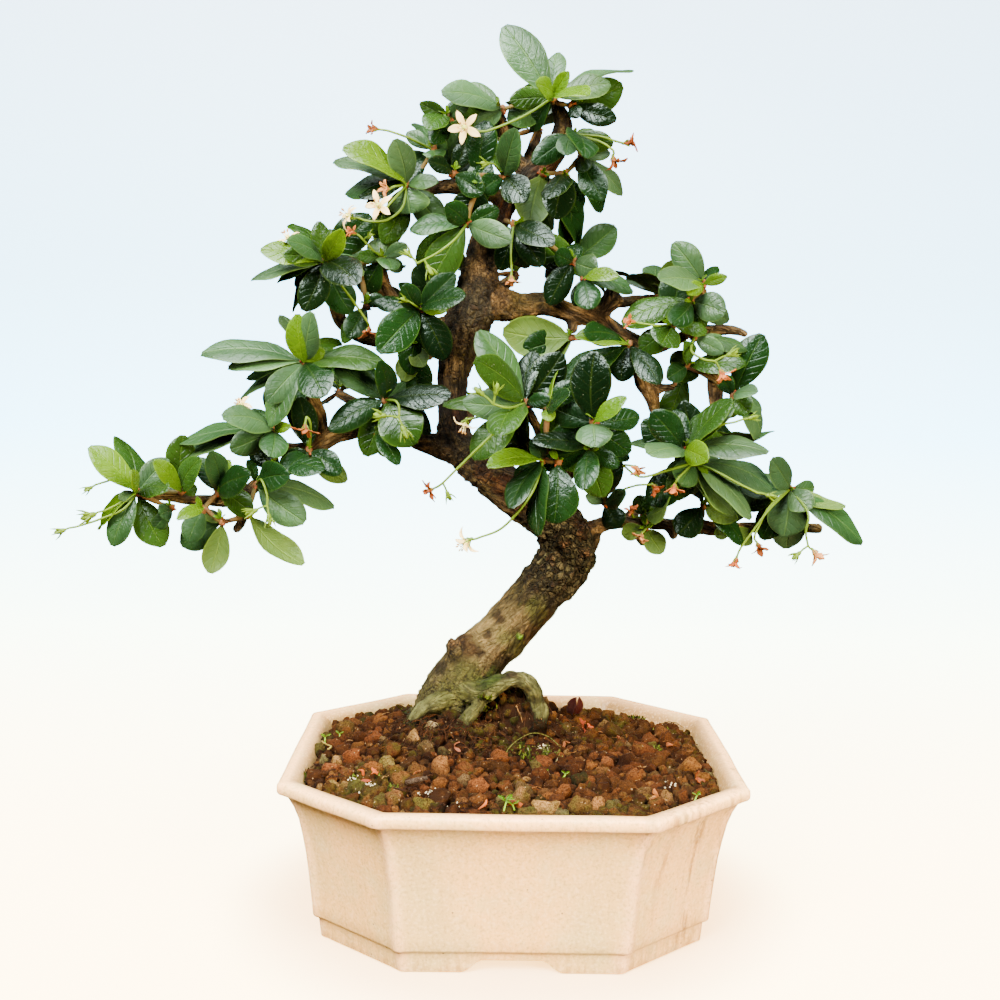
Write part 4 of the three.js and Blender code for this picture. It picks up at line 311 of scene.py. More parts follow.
            [56.5, 232.5, -9, 11.5, "y"], [48.5, 230.5, -5, 9, "y"], [75, 238.3, -5, 5, "y"],
            [52, 243.5, 4, 6, "d"]]]]],
    ["spray_right_mid", [
        [[44, 232.5, -6], [
            [22.5, 235.5, -6, 4.5, "l"], [41, 218, -4, 9, "d"], [56.5, 217, -7, 8.5, "d"],
            [16, 216.5, -13, 9.5, "m"], [26, 237, 3, 6, "m"]]],
        [[21.5, 235, -2], [[-6.5, 237, 3, 14.5, "o"], [10, 223, 6, 6, "o"]]]]],
    ["spray_right_outer", [
        [[67.5, 224.5, -3], [
            [59.5, 219.5, -5, 7, "m"], [69.5, 218.5, -8, 7, "y"], [61, 229, 2, 7, "o"],
            [91, 226, -4, 7.5, "y"], [95.5, 221, 0, 5, "y"], [66.5, 234, -3, 4, "y"]]],
        [[70, 236, -6], [[83, 233.5, -6, 6.5, "s"], [91.5, 231.5, 0, 4.5, "g"], [82, 230, 3, 6, "s"]]],
        [[86.5, 213, -10], [
            [93, 205.5, -5, 7.5, "y"], [98.5, 207, -1, 5, "s"], [96, 214.5, 0, 5, "s"],
            [98.5, 197, -2, 8, "s"], [81, 221, -5, 6, "m"], [84, 203.5, 2, 7, "y"]]]]],
    ["spray_right_low", [
        [[68, 190.5, -14], [
            [54, 206, -6, 11, "m"], [42, 192, 1, 4, "s"], [53, 188.5, -7, 6.5, "s"],
            [87, 208, -6, 7.5, "y"], [86.5, 211, 4, 6, "y"], [71, 206.5, 0, 5, "y"],
            [84, 195.5, -10, 8, "y"], [77, 187, -13, 9, "l"], [86.5, 194, -5, 5, "l"], [63, 207, 6, 8, "m"],
            [101.5, 190.5, 1, 8, "s"]]],
        [[71.5, 185.5, -12], [
            [66, 177, -10, 10, "g"], [60.5, 181.5, -8, 6.5, "g"], [95.7, 163, -7, 7.5, "s"],
            [82, 166, -3, 4, "o"], [89, 164.5, 2, 5, "o"], [71.5, 173, 0, 8.5, "o"], [104, 176, 3, 8, "s"],
            [82.5, 186.5, 6, 5.5, "s"]]]]],
    ["spray_right_tip", [
        [[111, 175.5, -3], [
            [141.5, 153.5, -5, 8.5, "g"], [134, 168.5, 3, 5, "o"], [119.5, 167.3, -11, 9.5, "s"],
            [109.5, 156, -11, 14, "s"], [110.5, 151, -4, 12, "s"], [96.5, 176, -6, 5.5, "s"],
            [91.5, 175, 0, 7, "s"], [94, 168.5, 2, 7, "y"], [103, 187.5, -1, 8.5, "s"],
            [88, 179.5, 5, 3.5, "s"], [121, 176, -3, 6, "g"]]]]],
    ["spray_right_under", [
        [[76, 168, 4], [[66, 156, -9, 10.5, "d"], [93, 152.5, -6, 6.5, "m"], [90, 162.5, 3, 6, "o"]]],
        [[88, 158.5, 6], [[96.5, 153, 2, 6.5, "o"], [81, 156, 4, 5, "o"]]]]],
    ["spray_knuckle_right", [
        [[52, 163, 7], [
            [49.5, 172, -2, 6.5, "y"], [57, 171.5, 1, 5.5, "o"], [61, 168.5, -4, 6, "o"],
            [58.5, 166, 3, 3.5, "g"]]],
        [[53, 158.5, 8], [[60, 148.2, 0, 8, "o"], [51.5, 151.5, 3, 6.5, "o"], [43, 156.3, 1, 6.5, "o"]]]]]]

# Sprays of the far side: name, rosettes (x, z, y, leaf count, leaf length, lift)
BACK = [
    ["spray_back_low", [[-4, 216, 50, 6, 23, 25], [-20, 209, 40, 4, 20, 25]]],
    ["spray_back_left", [[-72, 212, 43, 6, 24, 25], [-88, 204, 32, 4, 21, 25]]],
    ["spray_back_mid", [[-2, 260, 50, 6, 23, 40], [-22, 259, 36, 4, 21, 40]]],
    ["spray_back_right", [[55, 252, 41, 6, 22, 35], [68, 244, 30, 4, 20, 30]]],
    ["spray_back_low_right", [[70, 185, 44, 6, 23, 25], [86, 190, 34, 4, 20, 25]]],
    ["spray_back_crown", [[6, 316, 36, 6, 22, 45], [-12, 311, 28, 4, 20, 45]]],
    ["spray_back_upper_left", [[-62, 254, 24, 5, 22, 40], [-48, 246, 28, 4, 20, 35]]]]

# Flower stalks: spray, path, heads (kind, x, z, y, size, facing)
HEADS = [
    ["spray_crown_top", [[11, 327.5, -6], [0, 320.5, -11], [-14.5, 314.6, -13], [-18.5, 315.2, -13]],
     [["white", -23, 316, -15.5, 7.4, -0.15, -0.95, -0.15]]],
    ["spray_crown_left",
     [[-45.5, 293.5, -7], [-47, 285, -12], [-53, 280, -16], [-60, 279.3, -17], [-64.5, 280.5, -17]],
     [["white", -68.5, 281.5, -18, 5.6, -0.75, -0.4, 0.35]]],
    ["spray_crown_left", [[-45.5, 293.5, -7], [-50, 288.5, -16], [-53.5, 284.5, -19]],
     [["white", -56.5, 285.5, -21.5, 6.6, -0.2, -0.9, 0.1]]],
    ["spray_crown_left", [[-35, 307, -4], [-44.5, 311.5, -9], [-52, 314, -11]],
     [["wilted", -59, 315, -12, 4.6, -0.9, -0.2, 0.1]]],
    ["spray_crown_left", [[-45.5, 293.5, -8], [-50, 293, -15]],
     [["wilted", -53.8, 292.3, -18, 4.4, -0.6, -0.7, 0.1]]],
    ["spray_upper_left", [[-55, 264.5, 0], [-60, 269.5, -3], [-63.5, 273.2, -5]],
     [["wilted", -67, 275, -6, 4, -0.8, -0.4, 0.3], ["bud", -60.5, 273.2, -6, 3.4, 0.7, -0.3, 0.6]]],
    ["spray_upper_left", [[-78, 263, -6], [-73, 256.5, -17], [-66, 247.5, -18], [-61, 240.5, -16]],
     [["wilted", -60, 236, -15, 4.8, 0.1, -0.5, -0.8]]],
    ["spray_upper_left", [[-78, 263, -6], [-86, 268, -6], [-89, 270, -7]],
     [["white", -92, 272.4, -8, 5.6, -0.4, -0.3, 0.85]]],
    ["spray_crown_mid", [[-21.5, 279, -9], [-26, 273, -22], [-33, 267.5, -24], [-41, 263.3, -22]],
     [["bud", -44, 266.3, -22, 4.2, -0.8, -0.2, 0.5], ["bud", -36.5, 261.5, -24, 4.6, 0.6, -0.4, -0.6]]],
    ["spray_crown_mid", [[-7, 297.5, -8], [-11, 302, -12]], [["bud", -14, 302.3, -14, 4, -0.7, -0.5, 0.3]]],
    ["spray_inner", [[-53.5, 209, -10], [-49, 208.5, -19], [-47.8, 205, -21], [-48, 202, -21]],
     [["bud", -46, 197.3, -22, 5.4, 0.3, -0.3, -0.9], ["bud", -54.5, 202.7, -22, 5, -0.9, -0.3, 0.05]]],
    ["spray_left_mid", [[-105.5, 174, -9], [-103.5, 176, -18], [-101.3, 170, -21], [-101.2, 165.5, -21]],
     [["bud", -106.5, 163.2, -22, 5, -0.8, -0.2, -0.4], ["bud", -100.5, 160.8, -22, 4.6, 0.2, -0.2, -0.9]]],
    ["spray_left_tip", [[-154, 170, -9], [-160.5, 165.8, -12], [-167, 162.5, -13]],
     [["bud", -172.5, 160.5, -14, 6, -0.95, -0.1, -0.2]]],
    ["spray_left_tip", [[-154, 170, -10], [-159.5, 163.2, -14], [-170, 158.6, -15], [-179, 155.6, -15]],
     [["bud", -184.5, 154, -15, 4.6, -0.97, -0.1, -0.1]]],
    ["spray_left_tip", [[-154, 170, -9], [-161, 175.3, -13], [-168, 173.8, -14]],
     [["bud", -172.8, 171.6, -14, 3.8, -0.9, -0.1, -0.3]]],
    ["spray_left_inner", [[-98, 196, -7], [-105, 199.8, -10], [-108.5, 203.3, -11]],
     [["white", -111.3, 206.3, -12, 5.2, -0.4, -0.7, 0.4]]],
    ["spray_left_inner", [[-84, 188, -8], [-83.5, 199, -15], [-85, 201.8, -16]],
     [["wilted", -85.5, 196, -18, 5.6, 0.1, -0.3, -0.95]]],
    ["spray_front_left", [[-40, 245.5, -10], [-43, 247.5, -18]],
     [["bud", -45.5, 248.6, -20, 3.6, -0.8, -0.5, 0.2]]],
    ["spray_front_centre", [[3, 208.5, -34], [-4, 206.6, -46], [-10, 208, -48]],
     [["bud", -15, 212.3, -48, 4.6, -0.6, -0.2, 0.7], ["bud", -9, 213, -49, 4.4, 0.1, -0.3, 0.9]]],
    ["spray_front_centre", [[3, 208.5, -33], [-10, 196, -48], [-21.5, 184.5, -47], [-30, 175.8, -44]],
     [["wilted", -36, 172.2, -43, 4.6, -0.8, -0.4, -0.4], ["bud", -28, 171.5, -43, 4, 0.6, -0.1, -0.8]]],
    ["spray_front_centre", [[10.5, 185.5, -31], [6, 172, -45], [-5, 158.3, -42], [-16, 153.2, -38]],
     [["white", -20.5, 151.3, -37, 6.4, -0.7, 0.35, -0.6]]],
    ["spray_front_centre", [[3, 208.5, -33], [-15, 203, -36]],
     [["white", -21.5, 199.3, -36, 5.4, -0.3, 0, -0.95]]],
    ["spray_crown_right", [[19, 314, -6], [30, 313.4, -12], [36, 311.8, -13]],
     [["wilted", 42.5, 311.3, -13, 5.4, 0.95, -0.2, 0.1]]],
    ["spray_crown_right", [[19, 314, -6], [30, 311.5, -14], [35.6, 308.2, -15]],
     [["wilted", 36, 303.5, -15, 5.2, 0.15, -0.3, -0.95]]],
    ["spray_right_upper", [[61, 240.5, -9], [55, 240.3, -19], [50, 240.9, -20]],
     [["wilted", 44, 242, -20, 4.8, -0.9, -0.2, 0.2]]],
    ["spray_right_outer", [[70, 236, -7], [69, 230.5, -15], [74, 227.2, -17], [78.5, 226.6, -17]],
     [["wilted", 82, 220.8, -17, 5.4, 0.4, -0.3, -0.9], ["bud", 84.5, 229.3, -17, 4.6, 0.85, -0.1, 0.45]]],
    ["spray_right_low", [[71.5, 185.5, -14], [80, 182.5, -28], [90, 177.4, -30], [98, 173.6, -30]],
     [["bud", 102.5, 172.6, -30, 4, 0.95, -0.2, -0.1]]],
    ["spray_right_low", [[68, 190.5, -15], [80, 200, -27], [88, 202.4, -28]],
     [["bud", 94, 204, -28, 4, 0.95, -0.1, 0.2]]],
    ["spray_right_low", [[71.5, 185.5, -13], [60, 182, -26], [50, 179.5, -27], [43, 184, -27]],
     [["wilted", 49, 182.3, -32, 4.2, 0.3, -0.6, -0.5]]],
    ["spray_right_tip", [[111, 175.5, -4], [118.8, 166, -17], [118.3, 158, -17], [119.5, 152.2, -16]],
     [["wilted", 123.5, 148.2, -16, 5.8, 0.6, -0.3, -0.75],
      ["bud", 115.6, 148.8, -16, 4.4, -0.8, -0.2, -0.4]]],
    ["spray_right_tip", [[111, 175.5, -4], [103, 167, -15], [97, 158.5, -16], [92, 151, -15]],
     [["wilted", 90, 144.4, -15, 5.2, -0.2, -0.1, -0.97]]],
    ["spray_right_tip", [[111, 175.5, -4], [103, 168, -14], [97.5, 156.5, -16]],
     [["wilted", 99.6, 151, -17, 4.8, 0.3, -0.5, -0.75]]],
    ["spray_front_right", [[36, 168.5, -6], [43, 174, -13], [48.5, 176, -14]],
     [["wilted", 56.5, 174.6, -14, 4.6, 0.5, -0.4, -0.7]]],
    ["spray_knuckle_right", [[52, 163, 5], [47.5, 163, -1]],
     [["wilted", 46.8, 166, -3, 4.4, -0.2, -0.5, 0.8]]],
    ["spray_knuckle_right", [[53, 158.5, 6], [52, 157, 0]],
     [["wilted", 51.3, 154.6, -2, 4, -0.1, -0.5, -0.85]]],
    ["spray_right_low", [[71.5, 185.5, -13], [66, 180, -26]],
     [["wilted", 63.8, 174.5, -27, 4.8, -0.2, -0.4, -0.9]]],
    ["spray_crown_low_right", [[-3, 279, -5], [-4, 268, -12], [-3.6, 262.5, -13]],
     [["wilted", -3.6, 256.8, -14, 4.8, 0, -0.3, -0.95]]]]


# Where everything grows: the same rules as the solids follow

def dice(seed):
    """Repeatable random numbers in 0..1."""
    a = seed & 0xFFFFFFFF

    def roll():
        nonlocal a
        a = (a + 0x6D2B79F5) & 0xFFFFFFFF
        t = ((a ^ (a >> 15)) * (a | 1)) & 0xFFFFFFFF
        t ^= (t + (((t ^ (t >> 7)) * (t | 61)) & 0xFFFFFFFF)) & 0xFFFFFFFF
        return ((t ^ (t >> 14)) & 0xFFFFFFFF) / 4294967296

    return roll


def clipped(values):
    return np.clip(values, 0, 1)


def depth_scale(y):
    return (y - VIEWER[1]) / -VIEWER[1]


def place(x, z, y):
    k = depth_scale(y)
    return np.array([VIEWER[0] + (x - VIEWER[0]) * k, y, VIEWER[2] + (z - VIEWER[2]) * k])


def unit(v):
    return v / np.linalg.norm(v)


def read_path(rows):
    return [(place(x, z, y), r * depth_scale(y)) for x, z, y, r in rows]


class Bars:
    """Straight tapered bars that leaves keep clear of."""

    def __init__(self):
        self.rows = []
        self.owners = []

    def add(self, a, b, ra, rb, owner):
        self.rows.append(np.concatenate([a, b, [ra, rb]]))
        self.owners.append(owner)

    def add_path(self, nodes, owner):
        for (a, ra), (b, rb) in zip(nodes, nodes[1:]):
            self.add(a, b, ra, rb, owner)

    def pick(self, keep):
        return np.array(self.rows)[[keep(owner) for owner in self.owners]]


def nearest(rows, points):
    """Nearest points on the bars, the radii there and the free distances: arrays by (point, bar)."""
    a, b, ra, rb = rows[:, 0:3], rows[:, 3:6], rows[:, 6], rows[:, 7]
    d = b - a
    t = np.einsum("pbk,bk->pb", points[:, None] - a[None], d) / np.einsum("bk,bk->b", d, d)
    t = clipped(t)
    at = a[None] + d[None] * t[..., None]
    r = ra + (rb - ra) * t
    return at, r, np.linalg.norm(at - points[:, None], axis=2) - r, t


bars = Bars()
wood = [(name, read_path(rows)) for name, rows in WOOD]
stubs = [read_path(rows) for rows in STUBS]
roots = [read_path(rows) for rows in ROOTS]
for _, nodes in wood:
    bars.add_path(nodes, "wood")
for nodes in stubs + roots:
    bars.add_path(nodes, "wood")
WOOD_BARS = np.array(bars.rows)


def free_of_wood(points):
    return nearest(WOOD_BARS, np.atleast_2d(points))[2].min(axis=1)


def settle(x, z, y):
    """The depth, from y forward, at which a tuft's hub is clear of the wood."""
    depth = y
    for _ in range(SETTLE_STEPS):
        if free_of_wood(place(x, z, depth))[0] >= HUB_TO_WOOD:
            break
        depth -= 1
    return depth


def back_rosettes():
    """Tufts of the far side: leaves fanned round each hub at a golden turn from one another."""
    made = []
    for s, (name, rows) in enumerate(BACK):
        roll = dice(900 + s)
        rosettes = []
        for x, z, y, count, length, lift in rows:
            centre = place(x, z, y)
            leaves = []
            for i in range(count):
                turn = i * GOLDEN_TURN + s
                el = math.radians(lift - 30 + 60 * roll())
                reach = length * (0.85 + 0.3 * roll()) * (0.8 if math.sin(turn) < -0.3 else 1)
                way = [math.cos(turn) * math.cos(el), math.sin(turn) * math.cos(el), math.sin(el)]
                leaves.append((centre + np.array(way) * reach, 0, "dmg"[(i + s) % 3]))
            rosettes.append((centre, leaves))
        made.append({"name": name, "rosettes": rosettes})
    return made


def front_rosettes():
    made = []
    for name, rows in SPRAYS:
        rosettes = []
        for (x, z, y), leaves in rows:
            depth = settle(x, z, y)
            rosettes.append((place(x, z, depth), [
                (place(tx, tz, depth + dy), seen * depth_scale(depth + dy * 0.5), colour)
                for tx, tz, dy, seen, colour in leaves]))
        made.append({"name": name, "rosettes": rosettes})
    return made


sprays = front_rosettes() + back_rosettes()


def own_start(twigs, centre):
    """Where a further twig leaves the spray's earlier ones: free of the wood if it can be, and short."""
    best = None
    for a, b, *_ in twigs:
        for k in range(11):
            at = a + (b - a) * (k / 10)
            steps = at + (centre - at) * (np.arange(9) / 8)[:, None]
            free = min(FREE_ENOUGH, free_of_wood(steps).min())
            length = np.linalg.norm(centre - at)
            if best is None or free > best[1] + 0.01 or (free > best[1] - 0.01 and length < best[2]):
                best = (at, free, length)
    return best[0]


def grow_twigs():
    """The twigs of every spray: the first from the nearest wood, the others from the earlier ones."""
    for spray in sprays:
        spray.update(twigs=[], stalks=[], blades=[])
        for centre, _ in spray["rosettes"]:
            if spray["twigs"]:
                spray["twigs"].append((own_start(spray["twigs"], centre), centre, TWIG_RADIUS))
                continue
            at, r, free, _ = nearest(WOOD_BARS, centre[None])
            i = int(free[0].argmin())
            start = at[0, i] + unit(centre - at[0, i]) * r[0, i] * 0.4
            spray["twigs"].append((start, centre, min(TWIG_RADIUS, r[0, i] * 0.5)))
    for spray in sprays:
        for a, b, r in spray["twigs"]:
            bars.add(a, b, r, r, spray["name"])


def grow_stalks():
    """The flower stalks with their buds; returns the room that buds and flowers take up, and the flowers."""
    by_name = {spray["name"]: spray for spray in sprays}
    taken, flowers = [], []
    for name, path, heads in HEADS:
        points = [place(*p) for p in path]
        hubs = [centre for centre, _ in by_name[name]["rosettes"]]
        points[0] = min(hubs, key=lambda centre: np.linalg.norm(centre - points[0]))
        stalk = {"points": points, "buds": []}
        by_name[name]["stalks"].append(stalk)
        for a, b in zip(points, points[1:]):
            bars.add(a, b, STALK_RADIUS, STALK_RADIUS, name + "_stalk")
        for kind, x, z, y, size, *face in heads:
            at = place(x, z, y)
            taken.append(np.append(at, size * (0.4 if kind == "bud" else 0.8)))
            if kind == "bud":
                stalk["buds"].append((at, size))
            else:
                flowers.append({"kind": kind, "at": at, "size": size, "face": unit(np.array(face)),
                                "from": points[-1], "before": points[-2], "spray": name})
    return np.array(taken), flowers


grow_twigs()
balls, blooms = grow_stalks()
# Outline of a blade: how far along, half width
BLADE = np.array([[0, 0.13], [0.44, 0.74], [0.8, 1], [1, 0]])


def turned(v, axis, angle):
    """v turned about a unit axis."""
    return (v * math.cos(angle) + np.cross(axis, v) * math.sin(angle)
            + axis * np.dot(axis, v) * (1 - math.cos(angle)))


def blade_frame(base, tip, seen, up):
    """Place, directions and sizes of a blade: seen in its width from the front, or face up."""
    along = tip - base
    length = np.linalg.norm(along)
    along = along / length
    sight = unit(VIEWER - (base + tip) / 2)
    width = min(WIDEST_BLADE, max(seen, length * SLIMMEST_BLADE))
    if up:
        side = unit(np.cross(along, [0, 0, 1]))
    else:
        side = unit(np.cross(along, sight))
        roll = math.acos(min(1, seen / width))
        one = np.cross(turned(side, along, roll), along)
        two = np.cross(turned(side, along, -roll), along)
        side = turned(side, along, roll if one[2] > two[2] else -roll)
    return {"base": base, "along": along, "length": length, "side": side,
            "normal": np.cross(side, along), "width": width}


def probes(f):
    """Test points over a blade: nine rows of five."""
    s = np.repeat(0.16 + 0.84 * np.arange(9) / 8, 5)
    t = np.tile(np.arange(-1, 1.1, 0.5), 9)
    half = np.interp(s, BLADE[:, 0], BLADE[:, 1])
    bow = BLADE_BOW * f["length"] * 4 * s * (1 - s)
    return (f["base"] + np.outer(f["length"] * s, f["along"])
            + np.outer(t * half * f["width"] * 0.5, f["side"]) + np.outer(bow, f["normal"]))


placed = []


def room_for(points, name, other_bars):
    """How far a blade is from the other blades of its spray, or -1 where it touches anything else."""
    if free_of_wood(points).min() < BLADE_TO_WOOD:
        return -1
    if np.any((points[:, 2] < SOIL_EDGE + SOIL_MOUND + BLADE_TO_SOIL) & (np.abs(points[:, 0]) < 95)):
        return -1
    away = np.linalg.norm(points[:, None] - balls[None, :, :3], axis=2)
    if np.any(away < balls[None, :, 3] + BLADE_TO_FLOWER):
        return -1
    if nearest(other_bars, points)[2].min() < BLADE_TO_TWIG:
        return -1
    own = 1e9
    for other_name, other in placed:
        if np.linalg.norm(other[22] - points[22]) > BLADES_APART:
            continue
        d = np.sqrt(((points[:, None] - other[None]) ** 2).sum(axis=2).min())
        if other_name == name:
            own = min(own, d)
        elif d < BLADE_CLEARANCE:
            return -1
    return own


def place_blade(centre, tip, seen, name, others):
    """The frame and test points of a blade, moved along the line of sight to where it has room."""
    best, best_room = None, -1
    for shift in BLADE_SHIFTS:
        f = blade_frame(centre, tip + unit(VIEWER - tip) * shift, seen, seen == 0)
        points = probes(f)
        room = room_for(points, name, others)
        if room < 0:
            continue
        if best is None or room > best_room:
            best, best_room = (f, points), room
        if room > BLADE_ROOM:
            break
    return best


def place_blades():
    for spray in sprays:
        name = spray["name"]
        others = bars.pick(lambda owner: owner not in ("wood", name, name + "_stalk"))
        for centre, leaves in spray["rosettes"]:
            for tip, seen, colour in leaves:
                best = place_blade(centre, tip, seen, name, others)
                if best:
                    placed.append((name, best[1]))
                    spray["blades"].append({**best[0], "colour": colour})


place_blades()


# Meshes

def srgb(code):
    """Linear colour of a hex code."""
    v = np.array([int(code[i:i + 2], 16) for i in (0, 2, 4)]) / 255
    return np.where(v <= 0.04045, v / 12.92, ((v + 0.055) / 1.055) ** 2.4)


def value_noise(p, seed=0):
    """Smooth repeatable noise in -1..1 at points p."""
    p = np.asarray(p, float)
    cell = np.floor(p).astype(np.int64)
    f = p - cell
    u = f * f * (3 - 2 * f)
    total = np.zeros(len(p))
    for dx in (0, 1):
        for dy in (0, 1):
            for dz in (0, 1):
                h = ((cell[:, 0] + dx) * 73856093 ^ (cell[:, 1] + dy) * 19349663
                     ^ (cell[:, 2] + dz) * 83492791 ^ seed * 2654435761) & 0xFFFFFFFF
                h = (h ^ (h >> 15)) * 2246822519 & 0xFFFFFFFF
                h = (h ^ (h >> 13)) * 3266489917 & 0xFFFFFFFF
                h = (h ^ (h >> 16)) & 0xFFFFFF
                w = (np.where(dx, u[:, 0], 1 - u[:, 0]) * np.where(dy, u[:, 1], 1 - u[:, 1])
                     * np.where(dz, u[:, 2], 1 - u[:, 2]))
                total += w * (h / 8388607.5 - 1)
    return total


def layered_noise(p, octaves=3, seed=0):
    p = np.asarray(p, float)
    return sum(value_noise(p * 2 ** k + 17.3 * k, seed + k) * 0.5 ** k for k in range(octaves))


class Bunch:
    """Many small shapes gathered into one mesh, with a tint, a place on the blade and a gloss each."""

    def __init__(self):
        self.points, self.faces, self.tint, self.place, self.gloss = [], [], [], [], []
        self.count = 0

    def add(self, points, faces, tint, gloss=0.5, where=(0, 9, 0)):
        points = np.asarray(points, float)
        n = len(points)
        self.points.append(points)
        self.faces.extend([tuple(i + self.count for i in face) for face in faces])
        self.tint.append(np.broadcast_to(tint, (n, 3)))
        self.place.append(np.broadcast_to(where, (n, 3)))
        self.gloss.append(np.broadcast_to(gloss, n))
        self.count += n

    def make(self, name, look, slot, replaced=(), sharp=50):
        points = np.concatenate(self.points)
        extras = {"tint": np.concatenate(self.tint), "where": np.concatenate(self.place),
                  "gloss": np.concatenate(self.gloss)}
        return put_mesh(name, points, self.faces, look, replaced, extras, sharp)


def blend(a, code, amount):
    """A colour or colours turned into that of a hex code, by an amount for each point."""
    amount = np.asarray(amount)
    amount = amount[:, None] if amount.ndim == 1 else amount
    return a * (1 - amount) + srgb(code) * amount


def picked(tones, rng, low, high):
    """One of some tones, lighter or darker."""
    return srgb(tones[rng.integers(len(tones))]) * rng.uniform(low, high)


def in_frame(points):
    """Millimetres about the pot turned into metres of the shared frame."""
    return (np.asarray(points, float) + [POT_X, 0, 0]) / 1000


def put_mesh(name, points, faces, look, replaced, extras=None, sharp=50):
    """A piece of the tree or its pot, from points in millimetres."""
    mesh = bpy.data.meshes.new(name)
    mesh.from_pydata(in_frame(points).tolist(), [], faces)
    mesh.update()
    return dress(bpy.data.objects.new(name, mesh), look, replaced, extras, sharp)


def dress(piece, look, replaced=(), extras=None, sharp=50):
    mesh = piece.data
    for key, values in (extras or {}).items():
        if values.ndim == 1:
            mesh.attributes.new(key, "FLOAT", "POINT").data.foreach_set("value", values)
        elif key == "tint":
            colours = np.concatenate([values, np.ones((len(values), 1))], axis=1)
            mesh.attributes.new(key, "FLOAT_COLOR", "POINT").data.foreach_set("color", colours.ravel())
        else:
            mesh.attributes.new(key, "FLOAT_VECTOR", "POINT").data.foreach_set("vector", values.ravel())
    mesh.shade_smooth()
    if sharp:
        mesh.set_sharp_from_angle(angle=math.radians(sharp))
    mesh.materials.clear()
    mesh.materials.append(look)
    if piece.name not in bpy.context.scene.collection.all_objects:
        bpy.context.scene.collection.objects.link(piece)
    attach(piece, "root")
    if replaced:
        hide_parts(*replaced)
    return piece


def smooth_path(points, step):
    """Points along a smooth curve through the given ones, and how far along the list each one lies."""
    p = np.asarray(points, float)
    n = len(p)
    if n == 2:
        count = max(1, round(np.linalg.norm(p[1] - p[0]) / step))
        f = np.arange(count + 1) / count
        return p[0] + np.outer(f, p[1] - p[0]), f
    ends = np.vstack([2 * p[0] - p[1], p, 2 * p[-1] - p[-2]])
    made, along = [], []
    for i in range(n - 1):
        a, b, c, d = ends[i:i + 4]
        count = max(1, round(np.linalg.norm(c - b) / step))
        for k in range(count):
            f = k / count
            made.append(0.5 * (2 * b + (c - a) * f + (2 * a - 5 * b + 4 * c - d) * f ** 2
                               + (3 * b - a - 3 * c + d) * f ** 3))
            along.append(i + f)
    return np.array(made + [p[-1]]), np.array(along + [n - 1.0])


def ring_faces(rings, sides):
    """Faces of a closed skin through rings of points, with a flat cap at either end."""
    faces = []
    for i in range(rings - 1):
        for j in range(sides):
            a, b = i * sides + j, i * sides + (j + 1) % sides
            faces.append((a, b, b + sides, a + sides))
    faces.append(tuple(range(sides))[::-1])
    faces.append(tuple(range((rings - 1) * sides, rings * sides)))
    return faces


def tube(path, radii, sides):
    """A round closed tube through the points of a path."""
    path = np.asarray(path, float)
    way = np.gradient(path, axis=0)
    way /= np.linalg.norm(way, axis=1)[:, None]
    side = np.array([1.0, 0, 0]) if abs(way[0][2]) > 0.9 else np.array([0, 0, 1.0])
    angle = np.arange(sides) / sides * 2 * math.pi
    points = []
    for i in range(len(path)):
        side = unit(side - way[i] * np.dot(side, way[i]))
        up = np.cross(way[i], side)
        ring = np.outer(np.cos(angle), side) + np.outer(np.sin(angle), up)
        points.append(path[i] + ring * radii[i])
    return np.concatenate(points), ring_faces(len(path), sides)


def sheet(grid, thickness):
    """A thin closed skin about a grid of points, thinner at its edges. Returns points, faces and the
    number of points on its upper side."""
    rows, cols, _ = grid.shape
    normal = np.cross(np.gradient(grid, axis=1), np.gradient(grid, axis=0))
    normal /= np.maximum(np.linalg.norm(normal, axis=2), 1e-9)[..., None]
    edge = np.ones((rows, cols))
    edge[:, 0] = edge[:, -1] = edge[-1, :] = 0.55
    off = normal * (edge * thickness / 2)[..., None]
    points = np.concatenate([(grid + off).reshape(-1, 3), (grid - off).reshape(-1, 3)])
    n = rows * cols
    faces = []
    for i in range(rows - 1):
        for j in range(cols - 1):
            a = i * cols + j
            faces.append((a, a + 1, a + cols + 1, a + cols))
            faces.append((a + n, a + cols + n, a + cols + 1 + n, a + 1 + n))
    rim = ([j for j in range(cols)] + [i * cols + cols - 1 for i in range(1, rows)]
           + [(rows - 1) * cols + j for j in range(cols - 2, -1, -1)]
           + [i * cols for i in range(rows - 2, 0, -1)])
    for a, b in zip(rim, rim[1:] + rim[:1]):
        faces.append((a, a + n, b + n, b))
    return points, faces, n


def ball(centre, radii, rings, sides, axis):
    """A small closed spindle or ball."""
    f = np.linspace(0.08, 0.92, rings) * math.pi
    path = centre + np.outer(-np.cos(f) * radii[1], unit(axis))
    return tube(path, np.sin(f) * radii[0], sides)


# Materials

